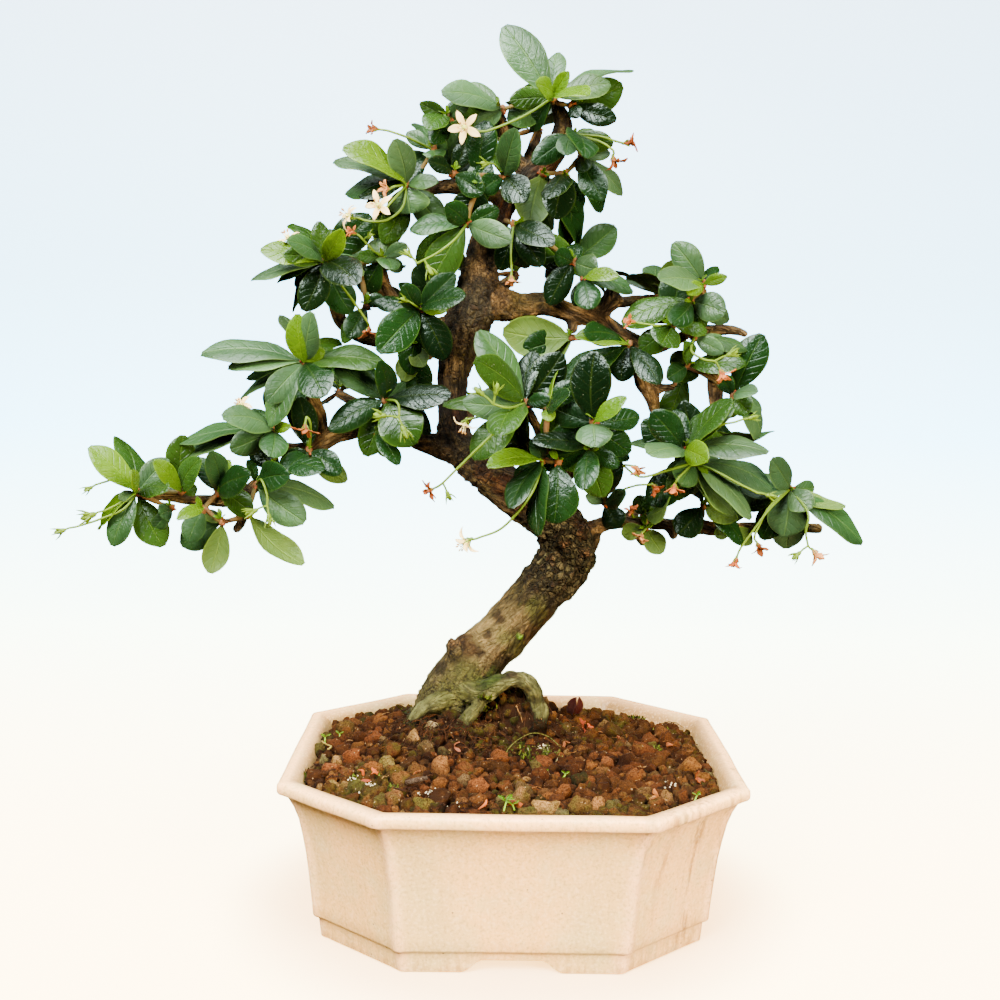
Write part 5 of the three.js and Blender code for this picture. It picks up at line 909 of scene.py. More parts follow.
class Look:
    """A small helper for a procedural material."""

    def __init__(self, name):
        self.material = bpy.data.materials.new(name)
        self.material.use_nodes = True
        self.tree = self.material.node_tree
        self.shader = self.tree.nodes["Principled BSDF"]
        self.tint = self.node("Attribute", attribute_name="tint").outputs["Color"]

    def node(self, kind, values=None, **settings):
        made = self.tree.nodes.new("ShaderNode" + kind)
        for key, value in settings.items():
            setattr(made, key, value)
        for key, value in (values or {}).items():
            self.set(made.inputs[key], value)
        return made

    def set(self, socket, value):
        """A socket linked to another, or given a number, a vector, a colour or a hex code."""
        if isinstance(value, bpy.types.NodeSocket):
            self.tree.links.new(value, socket)
            return
        if isinstance(value, str):
            value = srgb(value)
        if socket.type == "RGBA" and len(value) == 3:
            value = (*value, 1)
        socket.default_value = value

    def attribute(self, name, output="Fac"):
        return self.node("Attribute", attribute_name=name).outputs[output]

    def position(self, scale):
        """Object coordinates, stretched by scale, in cycles to the metre."""
        own = self.node("TexCoord").outputs["Object"]
        return self.node("VectorMath", {0: own, 1: scale}, operation="MULTIPLY").outputs[0]

    def noise(self, scale, detail, roughness, offset=0.0):
        where = self.position((scale, scale, scale) if np.isscalar(scale) else scale)
        if offset:
            where = self.node("VectorMath", {0: where, 1: (offset,) * 3}, operation="ADD").outputs[0]
        return self.noise_at(where, 1.0, detail, roughness)

    def noise_at(self, where, scale, detail, roughness, distortion=0.0):
        values = {"Vector": where, "Scale": scale, "Detail": detail, "Roughness": roughness,
                  "Distortion": distortion}
        return self.node("TexNoise", values).outputs["Fac"]

    def cells(self, where, scale=1.0, feature="F1"):
        return self.node("TexVoronoi", {"Vector": where, "Scale": scale}, feature=feature).outputs

    def math(self, operation, a, b=0.0):
        return self.node("Math", {0: a, 1: b}, operation=operation).outputs[0]

    def times(self, a, b):
        return self.math("MULTIPLY", a, b)

    def plus(self, a, b):
        return self.math("ADD", a, b)

    def ramp(self, value, low, high, to_low=0.0, to_high=1.0):
        """value eased from low..high to to_low..to_high."""
        return self.node("MapRange", {"Value": value, "From Min": low, "From Max": high, "To Min": to_low,
                                      "To Max": to_high}, interpolation_type="SMOOTHSTEP").outputs["Result"]

    def mix(self, amount, a, b, blend_type="MIX"):
        return self.node("Mix", {0: amount, 6: a, 7: b}, data_type="RGBA", blend_type=blend_type).outputs[2]

    def scaled(self, colour, by):
        return self.mix(1.0, colour, by, "MULTIPLY")

    def layer(self, colour, value, low, high, most, over):
        """over laid on colour from where value passes low, up to most of it where value reaches high."""
        return self.mix(self.ramp(value, low, high, 0, most), colour, over)

    def bump(self, height, depth, strength=1.0):
        values = {"Height": height, "Distance": depth, "Strength": strength}
        return self.node("Bump", values).outputs["Normal"]

    def finish(self, colour, roughness, normal=None, **sockets):
        self.set(self.shader.inputs["Base Color"], colour)
        self.set(self.shader.inputs["Roughness"], roughness)
        if normal is not None:
            self.set(self.shader.inputs["Normal"], normal)
        for key, value in sockets.items():
            self.set(self.shader.inputs[key.replace("_", " ")], value)
        return self.material


# Pot

# Height and inset from the foot up the outside, over the lip and down the inside
OUTER_PROFILE = [
    (0, 18.5), (0, 16.4), (0.5, 15.6), (4, 15.2), (7.6, 14.9), (8.6, 14.4), (9.2, 13.6), (10, 13.2),
    (15, 12.8), (22, 12.1), (30, 11.3), (36, 10.6), (43, 9.4), (50, 8.0), (55, 6.3), (58.5, 4.6),
    (60.2, 3.2), (60.9, 1.6), (61.2, 0.5), (61.9, 0.05), (63.2, 0), (64.5, 0.1), (65.3, 0.7), (65.7, 1.8),
    (65.7, 3.4), (65.5, 5.2), (64.9, 6.4), (63.4, 7.4), (58, 9.6), (48, 12.9), (30, 17.4), (10.4, 20.9),
    (10, 24)]
POT_SAMPLES = [72, 40, 72, 40]
# Where the foot ends and the lip starts, has its middle and ends, in rows of the profile
FOOT_END, LIP_START, LIP_MIDDLE, LIP_END = 6, 17, 24, 27


def pot_sizes(inset):
    """Half length, half depth and both corner cuts of the pot, drawn in by an inset."""
    return (POT_HALF_LENGTH - inset, POT_HALF_DEPTH - inset,
            POT_CUT_LENGTH - inset * CUT_SHRINK, POT_CUT_DEPTH - inset * CUT_SHRINK)


def pot_outline(inset):
    """Points round the pot at an inset, and how far each one is from the nearest corner."""
    a, b, cx, cy = pot_sizes(inset)
    corners = [(-(a - cx), -b), (a - cx, -b), (a, -(b - cy)), (a, b - cy), (a - cx, b), (-(a - cx), b),
               (-a, b - cy), (-a, -(b - cy))]
    points, corner = [], []
    for i in range(8):
        p, q = np.array(corners[i]), np.array(corners[(i + 1) % 8])
        f = np.arange(POT_SAMPLES[i % 4]) / POT_SAMPLES[i % 4]
        points.append(p + np.outer(f, q - p))
        corner.append(np.minimum(f, 1 - f) * np.linalg.norm(q - p))
    points, corner = np.concatenate(points), np.concatenate(corner)
    for _ in range(2):
        points = (np.roll(points, 1, 0) + 2 * points + np.roll(points, -1, 0)) / 4
    return points, corner


def level(xy, z):
    """Points of the plane given a height."""
    return np.column_stack([xy, np.broadcast_to(np.asarray(z, float), len(xy))])


def arch_height(xy):
    """How far the foot is cut away at a point of the outline."""
    x, y = np.abs(xy[:, 0]), np.abs(xy[:, 1])
    along = np.where(y > x * 0.86, x, y)
    rise = clipped((ARCH_HALF_LENGTH - along) / ARCH_SLOPE)
    return ARCH_HEIGHT * rise * rise * (3 - 2 * rise)


def make_pot():
    """Rings of points from the middle of the underside, up the outside and down the inside to the floor."""
    rings = []
    for inset, z in ((45, ARCH_HEIGHT), (26, ARCH_HEIGHT), (25, 0)):
        xy, _ = pot_outline(inset)
        rings.append(level(xy, arch_height(xy) if z == 0 else z))
    for k, (z, inset) in enumerate(OUTER_PROFILE):
        xy, corner = pot_outline(inset)
        way = np.roll(xy, -1, 0) - np.roll(xy, 1, 0)
        out = np.stack([way[:, 1], -way[:, 0]], axis=1) / np.linalg.norm(way, axis=1)[:, None]
        body = 1.0 if 9 < z < 59 and k < LIP_START else 0.35 if k < LIP_MIDDLE else 0
        rib = np.exp(-(corner / RIB_WIDTH) ** 2) * RIB_HEIGHT * body
        xyz = level(xy + out * rib[:, None], z)
        if z < FOOT_TOP and k < FOOT_END:
            lift = arch_height(xy)
            xyz[:, 2] = lift + (FOOT_TOP - lift) * z / FOOT_TOP
        # Hand-made unevenness, which the foot and the inside don't have
        if 3 < k < LIP_END:
            wave = layered_noise(xyz / 26, 2, 5) * 0.28
            xyz[:, :2] += out * wave[:, None]
            xyz[:, 2] += value_noise(xyz / 31, 9) * (0.25 if z > 60 else 0)
        rings.append(xyz)
    return np.concatenate(rings), ring_faces(len(rings), len(rings[0]))


def cut_drains(piece):
    for x in (-DRAIN_SPACING, DRAIN_SPACING):
        points, faces = tube([(x, 0, -5), (x, 0, 25)], [DRAIN_RADIUS, DRAIN_RADIUS], 32)
        mesh = bpy.data.meshes.new("drain")
        mesh.from_pydata(in_frame(points).tolist(), [], faces)
        cutter = bpy.data.objects.new("drain", mesh)
        bpy.context.scene.collection.objects.link(cutter)
        cut = piece.modifiers.new("cut", "BOOLEAN")
        cut.operation = "DIFFERENCE"
        cut.solver = "EXACT"
        cut.object = cutter
        bpy.context.view_layer.update()
        apply_modifiers(piece)
        bpy.data.objects.remove(cutter)


def apply_modifiers(piece):
    deps = bpy.context.evaluated_depsgraph_get()
    mesh = bpy.data.meshes.new_from_object(piece.evaluated_get(deps))
    piece.modifiers.clear()
    piece.data = mesh


def points_of(mesh):
    """A mesh's points, back in millimetres about the pot."""
    flat = np.empty(len(mesh.vertices) * 3)
    mesh.vertices.foreach_get("co", flat)
    return flat.reshape(-1, 3) * 1000 - [POT_X, 0, 0]


def pot_tint(points):
    """Beige glaze: pink on ribs and lip, the lip also lighter as a painted highlight, warm on the right,
    painted shade inside, bare underneath.
    """
    x, y = np.abs(points[:, :2]).T
    z = points[:, 2]
    inset = np.interp(z, [0, 8.3, 9, 36, 50, 60.6, 61.2], [15.5, 14.9, 13.4, 10.6, 8, 3.4, 0])
    a, b, cx, cy = pot_sizes(inset)
    near = np.minimum(np.hypot(x - (a - cx), y - b), np.hypot(x - a, y - (b - cy)))
    rib = np.exp(-(near / 3.0) ** 2)
    # The lip's pink, where the glaze thins, is also a painted highlight where the light catches the lip
    lip = np.exp(-((z - 60.6) / 1.1) ** 2) * 0.6 + np.exp(-((z - 65.8) / 1.0) ** 2) + 0.35 * (z > 61.3)
    thin = clipped(rib + lip + layered_noise(points / 22, 2, 3) * 0.25)
    wash = clipped(0.35 + layered_noise(points * [1 / 30, 1 / 30, 1 / 45], 3, 21) * 0.8)
    warm = clipped((points[:, 0] - 38) / 50 + layered_noise(points * [1 / 9, 1 / 9, 1 / 60], 2, 33) * 0.6)
    tint = blend(srgb("e9b566"), "cdb06d", wash)
    tint = blend(tint, "e6b067", 0.55 * warm)
    tint = blend(tint, "ffc78c", 0.85 * thin)
    along = ((x - a) * cy + (y - b + cy) * cx) / np.hypot(cx, cy)
    within = -np.maximum(np.maximum(x - a, y - b), along)
    # Painted shade: the inner wall from the soil up to the lip darkened to about a fifth
    inner = clipped((within - 3.5) / 1.5) * (z > 20) * clipped(1.25 - (z - 60) / 9)
    tint = tint * (1 - inner[:, None] * (1 - np.array([0.18, 0.2, 0.2])))
    return blend(tint, "b07c42", clipped(1 - z / 0.8))


def pot_stains(points):
    """How strongly brown runs show: on the right-hand facets, at a corner under the lip and at the foot."""
    x, y, z = points.T
    right = clipped((x - 42) / 22) * (y < 20)
    runs = clipped(layered_noise(points * [1 / 5, 1 / 5, 1 / 46], 2, 45) * 1.6 + 0.15)
    corner = np.exp(-(np.hypot(x - 50, z - 54) / 5) ** 2) * (y < -60)
    foot = clipped(1 - z / 9) * 0.5
    return clipped(right * runs + corner + foot + 0.12)


def glaze():
    look = Look("glaze")
    streak = look.noise((420, 420, 26), 4, 0.6)
    cloud = look.noise(70, 4, 0.6, 3.0)
    speck = look.noise(900, 2, 0.5, 7.0)
    grain = look.noise((1500, 1500, 380), 3, 0.6, 5.0)
    pin = look.cells(look.position((160,) * 3))["Distance"]
    runs = look.times(look.ramp(streak, 0.42, 0.62, 0, 0.9), look.attribute("gloss"))
    colour = look.mix(runs, look.tint, "936830")
    colour = look.layer(colour, grain, 0.5, 0.68, 0.4, "c59a5c")
    colour = look.layer(colour, cloud, 0.45, 0.75, 0.4, "c6bb80")
    colour = look.layer(colour, speck, 0.52, 0.66, 0.22, "fbe0b8")
    colour = look.layer(colour, speck, 0.44, 0.32, 0.45, "a0814f")
    colour = look.layer(colour, pin, 0.07, 0.045, 0.85, "5f4c37")
    height = look.plus(look.noise(260, 3, 0.6, 11.0), look.times(speck, 0.25))
    return look.finish(colour, look.ramp(cloud, 0.3, 0.8, 0.3, 0.5), look.bump(height, 0.0004, 0.35),
                       Coat_Weight=0.25, Coat_Roughness=0.18)


pot_points, pot_faces = make_pot()
pot = put_mesh("pot_glazed", pot_points, pot_faces, glaze(), ["pot"])
cut_drains(pot)
dress(pot, pot.data.materials[0], (),
      {"tint": pot_tint(points_of(pot.data)), "gloss": pot_stains(points_of(pot.data))}, 40)


# Soil

GRAIN_TONES = ["5a3418", "513015", "66401c", "43290f", "704a20", "3a220e", "5e4020", "4b2d13", "58351a"]
ODD_TONES = ["8a6238", "8a6a3c", "4d4722", "33361a", "6b5636", "7c4a22", "5f5a38"]
# Granules that stand out: x, y, radius, colour
SPECIAL_GRAINS = [
    (-41, 0, 3.6, "9a7748"), (-34, 4, 2.9, "8d7c5c"), (-50, -19, 4.2, "6d6030"), (-21, 18, 4.4, "6a3d1c"),
    (-29, -25, 4.6, "76502a"), (11, -61, 4.9, "9b7644"), (3, 36, 2.8, "8f744c"), (7, 56, 3.3, "94845c"),
    (43, 38, 4.6, "6e5230"), (-30, 15, 3.0, "7a5f3c"), (60, 14, 3.0, "3c3f18"), (-44, -52, 5.0, "6f4726"),
    (-14, -40, 5.2, "6a3f1e"), (24, -60, 4.2, "55401c"), (31, -56, 3.4, "8a6236"),
    (-60, -40, 4.4, "4c4a22"), (-33, -58, 4.4, "55501f"), (47, -30, 4.4, "6b4220"), (2, -52, 4.0, "7a5a34"),
    (38, -12, 3.9, "6a4122"), (-6, -14, 4.1, "633a1a"), (-44, -34, 4.2, "62401e"), (12, -14, 3.6, "5c351a"),
    (66, 30, 4.6, "5a3a1c"), (-66, -10, 4.6, "6a3c1c"), (-72, -22, 4.3, "70401f"), (-58, 8, 4.4, "5b3418"),
    (54, -52, 4.0, "5e3a1c"), (19, -44, 3.8, "5f3a1b"), (-72, 24, 4.0, "4a3a1a"), (-80, 4, 4.0, "45421c"),
    (74, 8, 3.8, "4f3216")]


def soil_surface(x, y):
    """Height of the soil: a bed with a low mound, humus round the trunk's foot and a heap at its left."""
    dx, dy = (x - SOIL_CENTRE[0]) / 46, (y - SOIL_CENTRE[1]) / 40
    mound = ((x - 2) / 16.5) ** 2 + ((y - 20) / 11) ** 2
    humus = ((x + 26) / 21) ** 2 + ((y - 7) / 10) ** 2
    heap = ((x + 50) / 14) ** 2 + ((y - 24) / 17) ** 2
    return (SOIL_EDGE + SOIL_MOUND * np.exp(-(dx * dx + dy * dy)) - 1.2 * (y > 0) * clipped(y / 70)
            + 19 * np.exp(-mound ** 1.7) + 6 * np.exp(-humus ** 1.5) + 3.2 * np.exp(-heap))


def inside_soil(x, y, margin):
    """Whether a place is on the bed and further than a margin from the pot's wall."""
    a, b = POT_HALF_LENGTH - BED_INSET - margin, POT_HALF_DEPTH - BED_INSET - margin
    cx, cy = POT_CUT_LENGTH - 3.8, POT_CUT_DEPTH - 3.8
    x, y = np.abs(x), np.abs(y)
    return (x < a) & (y < b) & ((x - (a - cx)) / cx + (y - (b - cy)) / cy < 1)


def soil_tint(points):
    """Brown, and darker where humus lies round the trunk."""
    around = np.hypot(points[:, 0] + 14, (points[:, 1] - 18) * 1.1)
    humus = clipped((38 - around) / 16 + layered_noise(points / 7, 2, 8) * 0.5)
    return blend(srgb("2c190c"), "1c130b", humus)


def make_ground():
    """The filling under the granules: up from the pot's floor, then in to the middle of the bed."""
    rings = [level(pot_outline(22)[0], 10.4), level(pot_outline(16.4)[0], 40)]
    outline, _ = pot_outline(9.6)
    for f in np.linspace(1, 0.02, 44):
        xy = outline * f
        xyz = level(xy, soil_surface(xy[:, 0], xy[:, 1]) - 1.6)
        xyz[:, 2] += layered_noise(xyz / 3.2, 2, 41) * 0.7
        rings.append(xyz)
    return np.concatenate(rings), ring_faces(len(rings), len(outline))


def pebble(level_of_detail, seed):
    """A rough granule of radius about 1: a divided icosahedron planed off along random directions."""
    t = (1 + math.sqrt(5)) / 2
    points = [unit(np.array(p, float)) for p in (
        (-1, t, 0), (1, t, 0), (-1, -t, 0), (1, -t, 0), (0, -1, t), (0, 1, t), (0, -1, -t), (0, 1, -t),
        (t, 0, -1), (t, 0, 1), (-t, 0, -1), (-t, 0, 1))]
    faces = [(0, 11, 5), (0, 5, 1), (0, 1, 7), (0, 7, 10), (0, 10, 11), (1, 5, 9), (5, 11, 4), (11, 10, 2),
             (10, 7, 6), (7, 1, 8), (3, 9, 4), (3, 4, 2), (3, 2, 6), (3, 6, 8), (3, 8, 9), (4, 9, 5),
             (2, 4, 11), (6, 2, 10), (8, 6, 7), (9, 8, 1)]
    for _ in range(level_of_detail):
        middle, split = {}, []

        def half(a, b):
            key = (min(a, b), max(a, b))
            if key not in middle:
                middle[key] = len(points)
                points.append(unit(points[a] + points[b]))
            return middle[key]

        for a, b, c in faces:
            ab, bc, ca = half(a, b), half(b, c), half(c, a)
            split += [(a, ab, ca), (b, bc, ab), (c, ca, bc), (ab, bc, ca)]
        faces = split
    points = np.array(points)
    rng = np.random.default_rng(seed)
    for _ in range(9):
        way = unit(rng.normal(size=3))
        reach = rng.uniform(0.55, 0.88)
        over = np.maximum(points @ way - reach, 0)
        points -= np.outer(over * 0.95, way)
    points += points * (layered_noise(points * 2.3 + seed * 7.7, 2, seed) * 0.26)[:, None]
    return points * rng.uniform(0.72, 1.25, 3), faces


def scatter_grains():
    rng = np.random.default_rng(71)
    spots = [(x, y, r, srgb(code) * 0.6) for x, y, r, code in SPECIAL_GRAINS]
    held = np.full((4000, 3), 1e6)
    held[:len(spots)] = [spot[:3] for spot in spots]
    for radius, count in ((4.1, 40), (3.4, 110), (2.7, 250), (2.1, 420), (1.6, 620), (1.1, 850)):
        made = tries = 0
        while made < count and tries < count * 30:
            tries += 1
            x, y = rng.uniform(-82, 82), rng.uniform(-71, 71)
            r = radius * rng.uniform(0.85, 1.15)
            # Fine crumbs gather round the trunk
            crumbs = math.hypot((x + 2) / 42, (y - 16) / 30) < 1
            rooty = math.hypot((x + 22) / 30, (y - 8) / 17) < 1
            if not inside_soil(x, y, r * 0.8) or (crumbs and r > 2 and rng.random() < 0.8):
                continue
            near = held[:len(spots)]
            if (np.hypot(near[:, 0] - x, near[:, 1] - y) - (near[:, 2] + r) * 0.76).min() < 0:
                continue
            tones = ODD_TONES if rng.random() < 0.12 else GRAIN_TONES
            tint = picked(tones, rng, 0.17, 0.64)
            if radius < 1.7:
                tint = tint * 0.6
            if rng.random() < (0.85 if rooty else 0.4 if crumbs else 0.06):
                tint = tint * 0.45
            held[len(spots)] = (x, y, r)
            spots.append((x, y, r, tint))
            made += 1
    return spots


def make_grains():
    rng = np.random.default_rng(5)
    fine = [pebble(1, s) for s in range(16)]
    coarse = [pebble(2, s + 20) for s in range(24)]
    coarse_bunch, fine_bunch = Bunch(), Bunch()
    moss_green = srgb("2e330e")
    for x, y, r, tint in scatter_grains():
        z = soil_surface(x, y) - 1.1 + r * rng.uniform(0.05, 0.5)
        if free_of_wood([x, y, z])[0] < r * 0.35:
            continue
        kinds, bunch = (coarse, coarse_bunch) if r > 2.35 else (fine, fine_bunch)
        points, faces = kinds[rng.integers(len(kinds))]
        turn = np.array(Matrix.Rotation(rng.uniform(0, 6.3), 3, rng.normal(size=3)))
        points = points @ turn.T * r * 1.08
        # Painted shade: each granule darker towards its underside, in the hollows between the granules; mossy
        # on top in places
        lit = np.clip(0.55 + points[:, 2] / r * 0.75, 0.08, 1.1)[:, None]
        points = points + [x, y, z]
        mossy = value_noise(np.array([[x / 16, y / 16, 3.0]]), 15)[0] + 0.2 * (y < -40) * (abs(x) < 60)
        moss = np.clip(mossy * 0.9 + layered_noise(points / 2.2, 2, 19) * 0.7 - 0.35, 0, 0.7)[:, None]
        bunch.add(points, faces, (tint * (1 - moss) + moss_green * moss) * lit)
    return coarse_bunch, fine_bunch


def granular():
    look = Look("granules")
    grit = look.noise(1300, 4, 0.7)
    pores = look.noise(2600, 3, 0.6, 3.0)
    patch = look.noise(260, 3, 0.6, 5.0)
    colour = look.layer(look.tint, patch, 0.5, 0.75, 0.25, "5c3a1a")
    colour = look.layer(colour, pores, 0.5, 0.68, 0.55, look.scaled(colour, (2.3, 2.1, 1.9)))
    colour = look.mix(look.ramp(grit, 0.36, 0.56, 0.85, 0), colour, (0.012, 0.0045, 0.0018))
    colour = look.layer(colour, pores, 0.44, 0.34, 0.7, (0.01, 0.004, 0.002))
    colour = look.layer(colour, look.noise(800, 2, 0.5, 9.0), 0.68, 0.76, 0.5, "a8906a")
    height = look.plus(grit, look.times(patch, 0.5))
    height = look.plus(height, look.times(pores, 0.4))
    return look.finish(colour, 0.95, look.bump(height, 0.0009), Specular_IOR_Level=0.12)


soil_look = granular()
ground_points, ground_faces = make_ground()
put_mesh("soil_bed", ground_points, ground_faces, soil_look, ["soil"],
         {"tint": soil_tint(ground_points)}, 0)
coarse_grains, fine_grains = make_grains()
coarse_grains.make("soil_granules", soil_look, "soil", (), 42)
fine_grains.make("soil_crumbs", soil_look, "soil", (), 42)


# Trunk, limbs, stubs and surface roots in one skin

WOOD_KINDS = ["trunk", "limb", "stub", "root"]
# How far the skin leans to the right of the solid's centreline at its nodes
TRUNK_LEAN = {4: 0.6, 5: 1.3, 6: 2.0, 7: 2.2, 8: 2.0, 9: 1.9, 10: 1.6, 11: 1.2, 12: 0.8}


def wood_paths():
    """(points, radii, kind) of every stretch of wood, smoothed."""
    made = []
    for kind, nodes in ([("trunk" if name == "trunk" else "limb", nodes) for name, nodes in wood]
                        + [("stub", nodes) for nodes in stubs] + [("root", nodes) for nodes in roots]):
        if kind == "trunk":
            nodes = [(p + [TRUNK_LEAN.get(i, 0), 0, 0], r) for i, (p, r) in enumerate(nodes)]
        points, along = smooth_path([p for p, _ in nodes], 2.6)
        radii = np.interp(along, np.arange(len(nodes)), [r for _, r in nodes])
        if kind == "stub" and radii[0] > 5:
            # Low callused scars rather than pegs
            points = points[:1] + (points - points[:1]) * 0.45
            radii = radii * 0.8
        if kind != "root":
            way = unit(points[-1] - points[-2])
            points = np.vstack([points, points[-1] + way * radii[-1] * 0.55])
            radii = np.append(radii, radii[-1] * 0.6)
        made.append((points, radii, kind))
    return made


# Marks on the bark as seen from the front: x, z, radius, kind
BARK_MARKS = [
    (22, 143, 10, "black"), (20, 155, 11, "black"), (28, 150, 8, "black"), (12, 131, 5.5, "black"),
    (16, 126, 5, "black"), (9, 122, 4.5, "black"), (5, 128, 3.5, "black"), (13, 138, 6, "black"),
    (-14, 250, 8, "black"), (-8, 244, 6, "black"), (-26, 238, 6, "black"), (-12, 240, 7, "black"),
    (14, 119, 6, "rough"), (9, 113, 5.5, "rough"), (4, 106, 5, "rough"), (-1, 100, 4.5, "dark"),
    (-6, 96, 4, "dark"), (-6.5, 120.5, 2.3, "scar"), (-11.2, 113, 2.0, "scar"), (-14.3, 105.5, 2.7, "scar"),
    (6, 127, 1.7, "scar"), (-21, 113, 4.2, "rough"), (-24, 110, 3.2, "ring"), (-19, 107, 3.4, "rough"),
    (-30, 99, 3, "dark"), (20, 152, 1.9, "cut"), (15, 145.5, 1.8, "cut"), (28, 148, 2, "cut"),
    (27, 158, 4, "rust"), (-13, 180, 5, "rust"), (-6, 176, 5, "rust"), (3, 172, 6, "rust"),
    (-24, 200, 5, "rust"), (-8, 284, 6, "rust"), (10, 302, 6, "rust"), (-13, 263, 5, "tan"),
    (-20, 262, 4, "tan"), (-27, 222, 5, "tan"), (-26, 210, 4, "tan"), (-9, 94, 5, "moss"),
    (-14, 93, 4, "moss"), (-24, 92, 7, "algae"), (-22, 84, 9, "algae"), (-30, 88, 6, "algae"),
    (0, 108, 5, "algae"), (8, 124, 5, "algae"), (-4, 112, 4, "algae"), (-17, 96, 6, "algae"),
    (2, 113, 1.2, "sprout")]
MARK_TONES = {"scar": "1d130a", "ring": "6d5433", "rough": "3a2a16", "dark": "21180d", "cut": "5e3e26",
              "rust": "48220f", "black": "2a2416", "moss": "26380c", "algae": "4e5225", "tan": "7a6644",
              "sprout": "6a9a20"}
MARK_LIFT = {"scar": -0.6, "ring": 0.9, "rough": 0.5, "cut": 0.5, "black": 0.3, "moss": 0.4, "sprout": 0.8}


def blur(values, edges, times):
    count = np.bincount(edges.ravel(), minlength=len(values))[:, None]
    for _ in range(times):
        total = np.zeros_like(values)
        for k in range(values.shape[1]):
            total[:, k] = (np.bincount(edges[:, 0], values[edges[:, 1], k], len(values))
                           + np.bincount(edges[:, 1], values[edges[:, 0], k], len(values)))
        values = 0.5 * values + 0.5 * total / np.maximum(count, 1)
    return values


def near_wood(points, paths):
    """For each point: where it lies round and along its limb, the limb's radius and its kind."""
    rows, start, kinds = [], [], []
    for line, radii, kind in paths:
        length = np.concatenate([[0], np.cumsum(np.linalg.norm(np.diff(line, axis=0), axis=1))])
        for i in range(len(line) - 1):
            rows.append(np.concatenate([line[i], line[i + 1], [radii[i], radii[i + 1]]]))
            start.append(length[i])
            kinds.append(WOOD_KINDS.index(kind))
    rows, start, kinds = np.array(rows), np.array(start), np.array(kinds)
    step = np.linalg.norm(rows[:, 3:6] - rows[:, 0:3], axis=1)
    where, radius, kind = np.empty_like(points), np.empty(len(points)), np.empty(len(points), int)
    batch = 1500
    for low in range(0, len(points), batch):
        some = points[low:low + batch]
        at, r, free, t = nearest(rows, some)
        i = free.argmin(axis=1)
        k = np.arange(len(some))
        u = start[i] + t[k, i] * step[i]
        where[low:low + batch] = some - at[k, i] + np.outer(u * 0.28, [0.577, 0.577, 0.577])
        radius[low:low + batch] = r[k, i]
        kind[low:low + batch] = kinds[i]
    return where, radius, kind


class Skin:
    """What the bark's shape and colour depend on at each of its points."""

    def __init__(self, points, normals, where, radius, kind):
        self.points, self.normals, self.kind = points, normals, kind
        depth = (points[:, 1] - VIEWER[1]) / -VIEWER[1]
        self.x = VIEWER[0] + (points[:, 0] - VIEWER[0]) / depth
        self.z = VIEWER[2] + (points[:, 2] - VIEWER[2]) / depth
        self.front = clipped(-normals[:, 1] * 2 + 0.5)
        self.size = np.clip(radius / 8, 0.22, 1)
        self.trunk, self.limb, self.root = (kind == WOOD_KINDS.index(k) for k in ("trunk", "limb", "root"))
        # Painted highlight, partly: the pale smooth bark of the low bend is kept to its upper left side,
        # where the light falls, and fades from its lower right
        left = clipped((self.x + self.z * -0.9 + 107) / 9)
        self.smooth = np.exp(-((self.z - 113) / 19) ** 4) * self.trunk * (1 - 0.8 * left)
        bend = np.exp(-(np.hypot(self.x - 21, self.z - 147) / 19) ** 3)
        fork = 0.4 * np.exp(-(np.hypot(self.x + 17, self.z - 244) / 13) ** 4)
        self.knobbly = np.maximum(bend * self.trunk, fork * self.trunk)
        self.cracks = np.exp(-(layered_noise(where / 4.2, 2, 61) / 0.12) ** 2)
        self.fine = layered_noise(where / 1.9, 3, 77)
        self.scales = np.abs(layered_noise(where / 3.1, 2, 67))
        self.lumps = layered_noise(points / 4.6, 3, 87)
        self.light = clipped(np.where(self.root, 0.6, 0.0) + self.smooth)


def bark_height(skin):
    """How far the bark stands out, in millimetres."""
    height = (skin.fine * 0.5 - skin.cracks * 0.85 + skin.scales * 0.7) * skin.size * (1 - 0.6 * skin.smooth)
    height += skin.lumps * (0.5 + 1.6 * skin.knobbly) * skin.size
    return height + np.where(skin.root, skin.lumps * 0.5, 0)


def bark_tone(skin):
    """Colour of the bark before its marks: pale where it is smooth and on roots, the smooth pale bark kept to
    the upper left of the low bend as a painted highlight too, olive low down, with painted shade where the
    wood meets the soil.
    """
    light = skin.light[:, None]
    tone = blend(srgb("332a1c"), "625736", light)
    patch = clipped(0.5 + layered_noise(skin.points / 7, 3, 97) * 0.95)[:, None]
    tone = tone * (0.55 + 0.3 * light + (0.75 - 0.4 * light) * patch)
    ridge = clipped(skin.fine * 1.2 + skin.scales * 0.6 - 0.1) * (1 - 0.6 * skin.light)
    tone = blend(tone, "6d5b3a", 0.6 * ridge)
    tone = blend(tone, "3f3d19", clipped(layered_noise(skin.points / 12, 2, 107) * 1.3) * 0.45)
    tone = blend(tone, "54552c", clipped((skin.z - 104) / -16) * 0.55)
    mossy = skin.root * clipped(0.75 + skin.normals[:, 2] * 0.4 + skin.lumps * 0.5)
    tone = blend(tone, "555b35", 0.8 * mossy)
    worn = clipped(0.5 + layered_noise(skin.points / 3.2, 3, 131) * 1.3)
    tone = tone * np.where(skin.root, 0.4 + 0.8 * worn, 1)[:, None]
    # Painted shade: darker down towards where the wood meets the soil
    above = skin.points[:, 2] - soil_surface(skin.points[:, 0], skin.points[:, 1])
    tone = tone * np.clip(above / 7 + skin.lumps * 0.4 + 0.1, 0.22, 1)[:, None]
    tone = tone * (1 - 0.5 * skin.trunk * clipped((skin.z - 175) / 30))[:, None]
    high = clipped((skin.z - 165) / 25)[:, None]
    knuckle = (skin.knobbly * (skin.z < 200))[:, None]
    return np.where(skin.limb[:, None], tone * [1.9, 1.75, 1.5] * (1 - 0.35 * high),
                    tone * (1 + knuckle * [0.2, 0.4, 0.4]))


